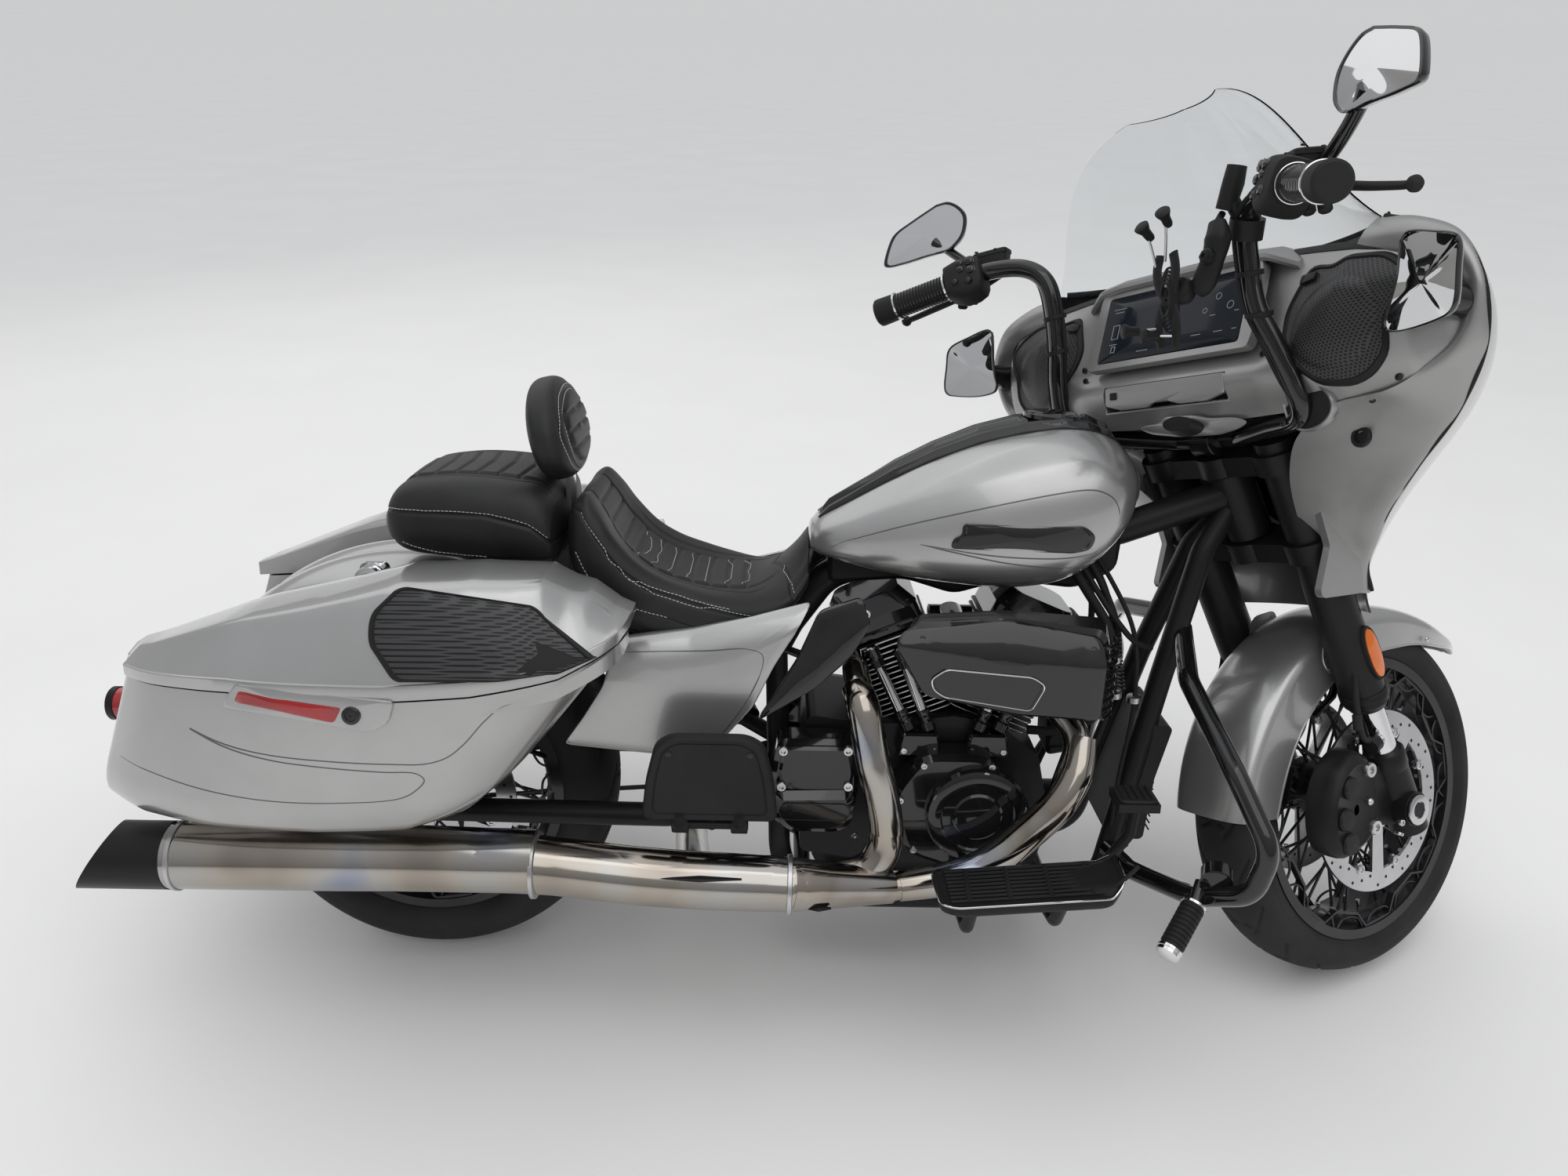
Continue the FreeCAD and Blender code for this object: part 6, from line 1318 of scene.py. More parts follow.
def controls():
    """Grips with bright rings, switch pods with their buttons, levers on their perches."""
    grip = along_grip([(0.372, 19), (0.375, 23), (0.385, 24.5), (0.40, 24.5), (0.405, 21.6), (0.83, 21.6),
                       (0.835, 22.8), (0.85, 23.0), (0.855, 24.2), (1.0, 25.2), (1.02, 24.6), (1.035, 21),
                       (1.038, 0)], 48)
    ribs = [along_grip([(t - 0.006, 21.4), (t - 0.004, 22.6), (t + 0.004, 22.6), (t + 0.006, 21.4)], 40)
            for t in np.linspace(0.425, 0.81, 15)]
    pod_points, pod_faces, side, up = switch_pod()
    pod = pod_points, pod_faces
    sign = 1 if side[0] < 0 else -1
    rear = side * sign

    def on_pod(t, a, b):
        return GRIP_A + (GRIP_B - GRIP_A) * t + up * a + rear * b

    caps = []
    for t, a, r in ((0.13, 16, 8), (0.21, 18, 6), (0.21, 6, 6), (0.13, -1, 7)):
        caps.append(lathe([(-3, r + 2), (0, r + 2), (0.6, r), (4, r - 0.4), (5.2, r - 2.4), (5.4, 0)],
                          on_pod(t, a, 31), rear, 24))
    for t, a in ((0.16, -20), (0.27, -14)):
        caps.append(lathe([(-3, 8), (1, 8), (5, 5.5), (6, 0)], on_pod(t, a, 30), rear, 6))
    rings = merged([along_grip([(t - 0.012, 23.6), (t - 0.009, 25.6), (t + 0.006, 25.6),
                                (t + 0.009, 23.6)], 48) for t in (0.392, 0.848)])
    lever = sweep([(1124, -306, 1281), (1150, -330, 1277), (1136, -372, 1258), (1112, -420, 1242),
                   (1092, -462, 1230), (1077, -496, 1221), (1071, -512, 1218)],
                  np.interp(np.arange(60), (0, 8, 30, 50, 59), (9, 9, 8, 7, 6.5)), 16, 60,
                  flat=(1.25, 0.75))
    ball = lathe([(-10, 0), (-8, 6), (-3, 9.6), (2, 10), (7, 7), (9.6, 0)], (1071, -512, 1218),
                 (-0.35, -0.9, -0.15), 24)
    perch = sweep([(1108, -312, 1274), (1126, -318, 1280), (1140, -326, 1279)], 12, 16, 12)
    cup = rounded(((-31, -21), (31, -21), (31, 21), (-31, 21)), 10, 6)
    reservoir = []
    for h, k in ((-14, 0.86), (-12, 0.95), (8, 1.0), (9, 1.05), (15, 1.05), (17, 0.98), (17.5, 0.5),
                 (17.6, 0.02)):
        ring = cup * k
        reservoir.append(np.array((1128, -322, 1296)) + ring[:, :1] * GRIP_WAY * (1, 1, 0.5)
                         + ring[:, 1:] * np.array((0.82, -0.56, 0.0)) + np.array((0.1, -0.1, 1.0)) * h)
    cup_faces = grid_faces(8, len(cup), wrap_v=True).tolist() + [list(range(len(cup)))[::-1]]
    cup_shape = np.array(reservoir).reshape(-1, 3), cup_faces
    knobs = [lathe([(0, 7), (3, 9), (14, 9), (17, 6), (17, 0)], p, (0, -0.2, -1), 16)
             for p in ((1100, -372, 1236), (1104, -345, 1240))]
    screws = [bolt((1128 + a, -322 + b, 1313), (0.1, -0.1, 1), 3.4, 1.8)
              for a, b in ((-22, -16), (20, 14), (-8, 20), (10, -22))]
    shapes = [grip, pod, lever, ball, perch, cup_shape] + knobs
    piece = mesh_piece("hand_grips", *both(merged(shapes)), rubber, "steering", "black_rubber", sharp=35)
    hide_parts("hand_controls")
    mesh_piece("grip_ribs", *both(merged(ribs)), gloss_black, "steering", "gloss_black")
    mesh_piece("grip_rings", *both(rings), chrome, "steering", "chrome")
    mesh_piece("pod_buttons", *both(merged(caps)), gloss_black, "steering", "gloss_black")
    mesh_piece("reservoir_screws", *both(merged(screws)), dark_steel, "steering")


HEAD = ((1099, -443, 1422), (1079, -488, 1403), (1061, -525, 1384), (1055, -533, 1372), (1043, -540, 1328),
        (1044, -536, 1322), (1058, -502, 1322), (1077, -451, 1327), (1095, -405, 1331), (1103, -391, 1340),
        (1111, -379, 1357), (1117, -379, 1388), (1115, -393, 1407), (1108, -419, 1422))
EDGE = ((1196, -411, 1186), (1194, -421, 1193), (1179, -468, 1183), (1167, -502, 1171), (1162, -508, 1160),
        (1158, -509, 1131), (1153, -510, 1095), (1153, -507, 1083), (1155, -500, 1076), (1161, -484, 1072),
        (1173, -441, 1067), (1182, -411, 1068), (1187, -396, 1073), (1189, -393, 1083), (1189, -399, 1103),
        (1192, -407, 1136), (1194, -409, 1162))


def glass_head(outline, normal, depth, lip):
    """Mirror from its outline: rounded shell ahead, a lip, and the sunken glass; rows of share and offset."""
    ring = curve_through(np.concatenate([outline, outline[:1]]), 97)[:-1]
    middle = ring.mean(0)
    normal = np.array(normal, float) / np.linalg.norm(normal)
    rows = [middle + (ring - middle) * k + normal * d
            for k, d in ((0.02, -depth), (0.4, -depth * 0.98), (0.75, -depth * 0.85), (0.93, -depth * 0.5),
                         (1.0, -2), (1.0, 1.5), (0.975, 2.4), (lip, 1.2), (lip, -2))]
    shell = np.array(rows).reshape(-1, 3), grid_faces(9, 96, wrap_v=True).tolist()
    face = [middle + (ring - middle) * lip * k + normal * (0.4 + 0.9 * (1 - k**2))
            for k in (1.0, 0.8, 0.55, 0.3, 0.05)]
    faces = grid_faces(5, 96, wrap_v=True).tolist() + [list(range(4 * 96, 5 * 96))]
    return shell, (np.array(face).reshape(-1, 3), faces)


def mirrors():
    """Bar mirrors on their stems and the two set in the fairing, with their glass."""
    head, pane = glass_head(np.array(HEAD, float), (-0.92, 0.34, 0.18), 24, 0.925)
    edge, edge_pane = glass_head(np.array(EDGE, float), (-0.95, 0.28, 0.12), 20, 0.955)
    stalk = sweep([(1090, -440, 1352), (1104, -416, 1332), (1120, -368, 1296), (1128, -332, 1280)],
                  np.interp(np.arange(40), (0, 6, 34, 39), (11, 9, 9.5, 12)), 20, 40, flat=(1.15, 0.9))
    neck = sweep([(1190, -440, 1118), (1222, -446, 1110), (1270, -450, 1104)], (16, 20, 24), 20)
    piece = mesh_piece("mirror_heads", *both(merged([head, edge, stalk, neck])), gloss_black, "steering",
                       "gloss_black", sharp=50)
    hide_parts("mirrors")
    mesh_piece("mirror_panes", *both(merged([pane, edge_pane])), mirror_glass, "steering", sharp=0,
               closed=False)


def phone_holder():
    """Clamp on the bar, two joined arms and a sprung four-fingered holder."""
    ring = lathe([(-15, 17), (-14, 24), (14, 24), (15, 17)], (1153, -209, 1240), (-0.2, -0.4, 1), 32)
    block = sweep([(1128, -216, 1322), (1127, -210, 1300), (1126, -196, 1266)], (13, 14.5, 13), 20, None,
                  (1, 0, 0), (1.0, 1.1))
    bridge = sweep([(1150, -209, 1244), (1130, -205, 1276)], 11, 16)
    post = sweep([(1124, -193, 1262), (1110, -194, 1246)], 5, 12)
    arm = sweep([(1110, -196, 1248), (1106, -200, 1224), (1104, -192, 1196), (1103, -176, 1168),
                 (1102, -166, 1160)], (13, 20, 17, 19, 15), 24, 40, (1, 0, 0), (1.0, 0.8))
    knob = lathe([(0, 9), (4, 9), (5, 7.4), (5, 3.5), (2.5, 3.3), (2.5, 0)], (1086, -196, 1200),
                 (-1, 0.05, 0.2), 6)
    nut = lathe([(-2, 11), (4, 11), (6, 8), (6, 0)], (1090, -196, 1200), (-1, 0.05, 0.2), 24)
    socket = lathe([(-10, 16), (2, 20), (8, 19), (10, 12)], (1092, -150, 1160), (-1, 0.1, 0.2), 32)
    shapes = [ring, block, bridge, post, arm, knob, nut, socket]
    body = []
    for k in (-1, 1):
        for lean in (-1, 1):
            path = [(1080, -132 + lean * 4, 1150), (1078, -132 + lean * 14, 1150 + k * 22),
                    (1079, -131 + lean * 17, 1150 + k * 44), (1082, -130 + lean * 12, 1150 + k * 66)]
            body.append(sweep(path, 4.6, 12, 24, (1, 0, 0), (1.8, 0.7)))
    for turn in range(5):
        r = 27 - turn * 3.2
        t = np.linspace(0.3, 2 * np.pi - 0.3, 40)
        loop = np.column_stack([np.full(40, 1082.0 - turn * 2.2), -134 + r * 0.62 * np.cos(t),
                                1150 + r * 1.7 * np.sin(t)])
        body.append(sweep(loop, 1.9, 8, None, (1, 0, 0)))
    tips, wires = [], []
    for y, z, fy, fz in ((-152, 1258, -128, 1206), (-116, 1246, -112, 1196), (-86, 1112, -118, 1112),
                         (-122, 1100, -140, 1098)):
        wires.append(sweep([(1080, fy, fz), (1070, (y + fy) / 2, (z + fz) / 2), (1058, y, z)], 2.0, 8, 16))
        way = np.array((-0.75, (y - fy) / 90, (z - fz) / 90))
        tips.append(lathe([(-12, 5), (-8, 6.5), (4, 7), (12, 10.5), (15, 11), (17, 8), (17, 0)],
                          (1058, y, z), way, 20))
    piece = mesh_piece("phone_holder", *merged(shapes + body + tips), black_plastic, "steering",
                       "black_plastic")
    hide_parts("phone_mount")
    mesh_piece("holder_wires", *merged(wires), steel, "steering")


inner_skirt()
bars()
controls()
mirrors()
phone_holder()


# Wheels, tyres, brakes and fork

def tread(name, node_name, hub, radius, half, rim_r, body):
    """Tyre skin: a crown that falls by drop (1 - sqrt(1 - |y / half|^2.1)), its sipes, walls and inside."""
    turns, across = 480, 49
    a = np.linspace(0, 2 * np.pi, turns, endpoint=False)[:, None]
    v = np.linspace(-1, 1, across)[None]
    y = half * np.sin(v * np.pi / 2 * 0.999)
    drop = (radius - rim_r) * 0.56
    crown = radius - 1.4 - drop * (1 - np.sqrt(np.clip(1 - np.abs(y / half) ** 2.1, 0, 1)))
    wave = np.abs(((a * 20 / (2 * np.pi) + np.abs(v) * 1.5 + 0.25 * (v > 0)) % 1) - 0.5)
    cut = np.clip(1 - wave / 0.055, 0, 1) * ((np.abs(v) > 0.16) & (np.abs(v) < 0.62))
    second = np.abs(((a * 20 / (2 * np.pi) - np.abs(v) * 0.5 + 0.5) % 1) - 0.5)
    cut = np.maximum(cut, np.clip(1 - second / 0.03, 0, 1) * ((np.abs(v) > 0.05) & (np.abs(v) < 0.30)))
    r = crown - 4.0 * np.sqrt(cut)
    top = np.stack([hub[0] + r * np.cos(a), hub[1] + y + 0 * a, hub[2] + r * np.sin(a)], -1)
    wall = np.linspace(0, 1, 11)
    low = radius - 1.4 - drop
    sides = []
    for sign in (1, -1):
        wr = low + (rim_r - low) * wall
        wy = half * (1.0 - 0.17 * wall**2 + 0.04 * np.sin(np.pi * wall))
        wr = wr + 0.9 * ((wall > 0.80) & (wall < 0.9))
        ring = np.stack([hub[0] + wr[None] * np.cos(a), hub[1] + sign * wy[None] + 0 * a,
                         hub[2] + wr[None] * np.sin(a)], -1)
        sides.append(ring)
    low_y = np.array((-0.5, 0, 0.5))[None] * half + 0 * a
    inner = np.stack([hub[0] + (rim_r - 2) * np.cos(a) + 0 * low_y, hub[1] + low_y,
                      hub[2] + (rim_r - 2) * np.sin(a) + 0 * low_y], -1)
    grid = np.concatenate([top, sides[0], inner[:, ::-1], sides[1][:, ::-1]], 1)
    piece = mesh_piece(name, grid.reshape(-1, 3), grid_faces(turns, grid.shape[1], True, True), tyre_rubber,
                       body, "tyre_rubber", sharp=50)
    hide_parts(node_name)


def wheel_details(hub, bead, body, name, count, half):
    """Dark steel edges of trapezoid lands round the rim, and the spokes' nipples; the lands themselves are
    built but not drawn.
    """
    lands, nipples, edges = [], [], []
    for side in (-1, 1):
        y = side * (half - 6)
        for k in range(count):
            a0 = 2 * np.pi * k / count
            step = 2 * np.pi / count
            span = []
            for share, r in ((-0.46, bead - 3), (-0.26, bead - 25), (0.26, bead - 25), (0.46, bead - 3)):
                b = a0 + share * step
                span.append((hub[0] + r * math.cos(b), y, hub[2] + r * math.sin(b)))
            edges.append(sweep(span, 2.3, 6, 26, (0, 1, 0)))
            lands.append(sweep(span, 4.2, 4, 26, (0, 1, 0), (1.0, 1.4)))
            b = a0
            nipples.append(lathe([(0, 4), (8, 4), (9, 2.6), (14, 2.4)],
                                 (hub[0] + (bead - 34) * math.cos(b), side * 14,
                                  hub[2] + (bead - 34) * math.sin(b)), (math.cos(b), 0, math.sin(b)), 8))
    mesh_piece(name + "_ring_edges", *merged(edges), dark_steel, body, sharp=0)
    mesh_piece(name + "_nipples", *merged(nipples), steel, body)


def rotor_details(hub, y_list, radius, body, name):
    """Dark discs painted as shade in a rotor's holes on both faces, in three rows, and bright bobbins."""
    hole_shades, bobbins = [], []
    for y in y_list:
        for face in (-1, 1):
            for k in range(40):
                a = 2 * np.pi * k / 40
                r = radius - 9 - 9 * (k % 3)
                hole_shades.append(lathe([(0.0, 3.1), (0.35, 2.9), (0.2, 0)],
                                      (hub[0] + r * math.cos(a), y + face * 2.5, hub[2] + r * math.sin(a)),
                                      (0, face, 0), 10))
            for k in range(8):
                a = 2 * np.pi * (k + 0.5) / 8
                r = radius - 36
                bobbins.append(lathe([(0, 9), (2.2, 9), (3, 8), (3, 5), (1, 4.4), (1, 0)],
                                     (hub[0] + r * math.cos(a), y + face * 2.5, hub[2] + r * math.sin(a)),
                                     (0, face, 0), 16))
    # The holes are not cut: satin black discs stand in for them as painted shade.
    mesh_piece(name + "_hole_shades", *merged(hole_shades), satin_black, body, smooth=False)
    mesh_piece(name + "_bobbins", *merged(bobbins), bright_edge, body)


def fork_details():
    """Seals on the fork's covers, side reflectors shaped like long lozenges, and axle ends with bolts."""
    s, c = math.sin(RAKE), math.cos(RAKE)
    down = np.array((s, 0, -c))
    shapes, bright, amber = [], [], []
    for side in (-1, 1):
        y = side * 115.0
        foot = np.array((WHEELBASE, y, FRONT_R))

        def at(up):
            """Points on the leg's line, a height above the axle."""
            return np.array((fork_x(FRONT_R + up), y, FRONT_R + up))

        ring = lathe([(-20, 37.2), (-17, 39), (-6, 39), (-3, 36), (4, 36), (7, 33), (14, 30), (15, 25)],
                     at(196), down, 48)
        shapes.append(ring)
        shapes.append(lathe([(-4, 30), (0, 33), (26, 33), (32, 31)], at(100), -down * -1, 40))
        bright.append(lathe([(0, 26), (3, 26), (4, 24), (4, 15), (1, 14), (1, 0)], foot + (0, side * 38, 0),
                            (0, side, 0), 40))
        bright.append(bolt(foot + (-22, side * 20, -40), (-0.4, 0, -0.9), 7, 5))
        bright.append(bolt(foot + (-34, side * 30, -18), (0, side, 0), 6, 5))
        t = np.linspace(0, 2 * np.pi, 48, endpoint=False)
        out = np.array((0.0, side, 0.0))
        along = -down
        centre = at(196 + 84) + np.array((30, 0, 0)) * 0.25
        profile = []
        for k, lift in ((1.22, 33.0), (1.22, 39.5), (1.14, 41.5), (1.02, 41.5), (1.0, 39.8)):
            profile.append(centre + out * lift + np.cos(t)[:, None] * np.array((c, 0, s)) * 14 * k
                           + np.sign(np.sin(t))[:, None] * np.abs(np.sin(t))[:, None] ** 0.8 * along
                           * 46 * k ** 0.5)
        shapes.append((np.array(profile).reshape(-1, 3), grid_faces(5, 48, wrap_v=True).tolist()))
        lens = []
        for k, lift in ((1.0, 39.4), (0.96, 42.6), (0.7, 43.6), (0.3, 44.0), (0.02, 44.0)):
            lens.append(centre + out * lift + np.cos(t)[:, None] * np.array((c, 0, s)) * 14 * k
                        + np.sign(np.sin(t))[:, None] * np.abs(np.sin(t))[:, None] ** 0.8 * along * 46 * k)
        amber.append((np.array(lens).reshape(-1, 3), grid_faces(5, 48, wrap_v=True).tolist()))
    mesh_piece("fork_seals", *merged(shapes), satin_black, "steering", "satin_black", closed=False)
    mesh_piece("fork_reflectors", *merged(amber), reflector_amber, "steering", closed=False)
    mesh_piece("axle_ends", *merged(bright), bright_edge, "steering")


def fork_x(z):
    """Where a leg's line stands at a height: the axle's trail line leans by the rake."""
    return FORK_LOW - (z - FRONT_R) * math.tan(RAKE)


def calipers():
    """Radial calipers: a bridge with a rounded face, three pots, two big silver bolts, and the hose."""
    bodies, silver_bolts, hoses = [], [], []
    outline = np.array(((-221, -16), (-224, 30), (-214, 66), (-196, 98), (-160, 120), (-134, 118),
                        (-110, 96), (-99, 50),
                        (-96, 8), (-108, -22), (-128, -42), (-160, -54), (-186, -57), (-206, -44)), float)
    outline += (WHEELBASE, FRONT_R)
    ring = rounded(outline, 20, 5)
    middle = ring.mean(0)
    rows = []
    for k, y in ((0.90, -100), (0.99, -104), (1.0, -112), (1.0, -134), (0.97, -144), (0.88, -152),
                 (0.80, -155), (0.74, -153.5), (0.1, -153.5)):
        shape = (ring - middle) * k + middle
        rows.append(np.column_stack([shape[:, 0], np.full(len(shape), y), shape[:, 1]]))
    n = len(ring)
    bodies.append((np.array(rows).reshape(-1, 3), grid_faces(9, n, wrap_v=True).tolist()
                   + [list(range(n))[::-1]]))
    for x, z in ((-176, 64), (-188, 14), (-178, -28)):
        bodies.append(lathe([(0, 19), (6, 19), (9, 16), (9.5, 0)], (WHEELBASE + x, -151, FRONT_R + z),
                            (0, -1, 0), 28))
    for x, z in ((-130, 88), (-116, -10)):
        silver_bolts.append(lathe([(-8, 13), (4, 13), (8, 11.5), (8, 6), (3, 5.6), (3, 0)],
                                  (WHEELBASE + x, -152, FRONT_R + z), (0, -1, 0), 24))
    silver_bolts.append(lathe([(0, 6), (5, 6), (7, 4), (7, 0)], (WHEELBASE - 132, -154, FRONT_R + 36),
                              (0, -1, 0), 16))
    bodies.append(sweep([(WHEELBASE - 104, -140, FRONT_R + 118), (WHEELBASE - 84, -136, FRONT_R + 124)], 12,
                        20))
    silver_bolts.append(bolt((WHEELBASE - 78, -136, FRONT_R + 128), (0.9, -0.3, 0.3), 9, 6))
    hoses.append(sweep([(WHEELBASE - 96, -136, FRONT_R + 128), (WHEELBASE - 128, -142, FRONT_R + 140),
                        (WHEELBASE - 140, -140, FRONT_R + 190), (WHEELBASE - 138, -132, FRONT_R + 260),
                        (WHEELBASE - 168, -128, FRONT_R + 330), (WHEELBASE - 208, -120, FRONT_R + 392)],
                       5.2, 12, 90))
    hoses.append(lathe([(-16, 5), (-14, 8.5), (14, 8.5), (16, 5)], (WHEELBASE - 166, -128, FRONT_R + 326),
                       (-0.5, 0.1, 0.85), 16))
    hoses.append(lathe([(-14, 5), (-12, 7.5), (12, 7.5), (14, 5)], (WHEELBASE - 140, -141, FRONT_R + 166),
                       (0, 0.1, 1), 16))
    piece = mesh_piece("caliper_bodies", *both(merged(bodies)), satin_black, "steering",
                       "satin_black", sharp=35)
    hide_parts("front_calipers")
    mesh_piece("caliper_bolts", *both(merged(silver_bolts)), bright_edge, "steering")
    mesh_piece("front_hoses", *both(merged(hoses)), rubber, "steering", "black_rubber")


FENDER = np.array((  # angle about the axle, inner radius over the tyre's, half width, depth of the sides
    (33, 80, 4, 3), (35.5, 76, 14, 8), (39, 66, 30, 16), (44, 54, 47, 26), (50, 42, 59, 38),
    (58, 33, 68, 50), (68, 26, 72, 62), (80, 21, 75, 74), (105, 19, 76, 88), (130, 19, 76, 96),
    (155, 19, 76, 98), (170, 21, 76, 95), (178, 23, 75, 92)), float)


def fender():
    """Front fender: a crown of superellipse sections, n = 2.6, swept about the axle with a pointed tip."""
    rows = curve_through(FENDER, 150)
    angle = np.radians(rows[:, 0])[:, None]
    r0 = FRONT_R + rows[:, 1][:, None] + 2.5
    w, deep = rows[:, 2][:, None], rows[:, 3][:, None]
    t = np.linspace(0, np.pi, 57)[None]
    y = -np.sign(np.cos(t)) * np.abs(np.cos(t)) ** (2 / 2.6) * w
    drop = (1 - np.sin(t) ** (2 / 2.6)) * np.minimum(w * 0.42, deep * 0.95)
    r = r0 - drop
    top = np.stack([WHEELBASE + r * np.cos(angle), y, FRONT_R + r * np.sin(angle)], -1)
    left = []
    for k in (1.0, 0.66, 0.33):
        rr = r0 - np.minimum(w * 0.42, deep * 0.95) - (deep - np.minimum(w * 0.42, deep * 0.95)) * k
        left.append(np.stack([WHEELBASE + rr * np.cos(angle), -w, FRONT_R + rr * np.sin(angle)], -1)[:, 0])
    left = np.stack(left, 1)
    right = left[:, ::-1] * (1, -1, 1)
    grid = np.concatenate([left, top, right], 1)
    shape = thick_sheet(grid, 2.5 if skin_normals(grid, False)[75, 31, 2] > 0 else -2.5)
    piece = mesh_piece("fender_shell", *shape, silver, "steering", "silver_paint", sharp=60)
    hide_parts("front_fender")
    beads = []
    for edge in (grid[:, 0], grid[:, -1]):
        beads.append(sweep(edge[6:], 1.8, 6, None, (0, 1, 0)))
    mesh_piece("fender_beads", *merged(beads), silver, "steering", "silver_paint")
    rivets, plates = [], []
    for side in (-1, 1):
        for a, drop_r in ((62, 40), (106, 62), (116, 74)):
            r = FRONT_R + 22 - drop_r + 6
            spot = (WHEELBASE + r * math.cos(math.radians(a)), side * 76.5,
                    FRONT_R + r * math.sin(math.radians(a)))
            rivets.append(lathe([(-1, 5), (1, 5), (2.6, 3.4), (3.2, 0)], spot, (0, side, 0), 16))
        ring = rounded([(WHEELBASE + x, FRONT_R + z)
                        for x, z in ((-128, 322), (-66, 330), (-62, 262), (-118, 232), (-142, 262))], 18, 6)

        def on_side(x, z, lift, side=side):
            return np.column_stack([x, side * (76.2 + lift) + 0 * x, z])

        plates.append(inlay(ring, on_side, ((1.04, -0.6), (1.0, 1.2), (0.6, 1.4))))
    mesh_piece("fender_rivets", *merged(rivets), bright_edge, "steering")
    mesh_piece("fender_bosses", *merged(plates), silver, "steering", "silver_paint", closed=False)


tread("front_tread", "front_tyre", FRONT_HUB, FRONT_R, 65.5, 250, "front_wheel")
tread("rear_tread", "rear_tyre", REAR_HUB, REAR_R, 89.5, 238, "rear_wheel")
wheel_details(FRONT_HUB, 241, "front_wheel", "front", 18, 58.5)
wheel_details(REAR_HUB, 228.5, "rear_wheel", "rear", 18, 74)
rotor_details(FRONT_HUB, (-77, 77), 160, "front_wheel", "front_rotor")
rotor_details(REAR_HUB, (-94,), 160, "rear_wheel", "rear_rotor")
fork_details()
calipers()
fender()


# Engine, exhaust, boards and guards

CRANK = np.array((905.0, 330.0))
CYLINDERS = (-22.5, 22.5)  # degrees from upright


def on_barrel(angle, dist, along, across):
    """A point on a cylinder: distance up its axis, offset along x and y."""
    a = math.radians(angle)
    x = CRANK[0] + dist * math.sin(a) + along * math.cos(a)
    z = CRANK[1] + dist * math.cos(a) - along * math.sin(a)
    return np.stack([x + 0 * across, across + 0 * x, z + 0 * across], -1)


def fins():
    """Bright edges on the fins, bolts on the heads, ridges on the rocker boxes, the pushrods' collars."""
    edges, screws, ridges = [], [], []
    for angle in CYLINDERS:
        a = math.radians(angle)
        up = (math.sin(a), 0, math.cos(a))
        for i in range(16):
            half_l, half_w = (76, 82) if i < 11 else (80, 88)
            ring = rounded(((-half_l, -half_w), (half_l, -half_w), (half_l, half_w), (-half_l, half_w)),
                           22, 7)
            ring = np.concatenate([ring, ring[:1]])
            path = on_barrel(angle, 165 + 10 * i + 1.6, ring[:, 0], ring[:, 1])
            edges.append(sweep(path, 1.15, 6, None, up, (1.0, 1.3)))
        for along in (-58, 58):
            for across in (-66, 66):
                base = on_barrel(angle, 326 + 34, along, np.float64(across))
                screws.append(bolt(base, up, 8, 7))
        for across in (-1, 1):
            low = on_barrel(angle, 336, -60, np.float64(across * 84))
            high = on_barrel(angle, 336, 60, np.float64(across * 84))
            ridges.append(sweep([low, high], 3.5, 8))
    mesh_piece("fin_edges", *merged(edges), bright_edge, "chassis", sharp=0)
    mesh_piece("head_bolts", *merged(screws), bright_edge, "chassis")
    mesh_piece("rocker_ridges", *merged(ridges), gloss_black, "chassis", "gloss_black")
    collars = []
    for angle in CYLINDERS:
        a = math.radians(angle)
        for offset in (-17, 17):
            low = np.array((905 + math.sin(a) * 152 + offset, -122, 482))
            top = np.array((905 + 311 * math.sin(a) + offset * 1.4, -97, 330 + 311 * math.cos(a)))
            way = top - low
            collars.append(lathe([(0, 13), (14, 13), (17, 10.4), (24, 10.4), (26, 12), (34, 12), (36, 9.6)],
                                 low, way, 20))
            collars.append(lathe([(-34, 9.6), (-32, 12), (-20, 12), (-18, 10), (0, 14)],
                                 low + way * 0.98, way, 20))
    mesh_piece("pushrod_collars", *merged(collars), gloss_black, "chassis", "gloss_black")


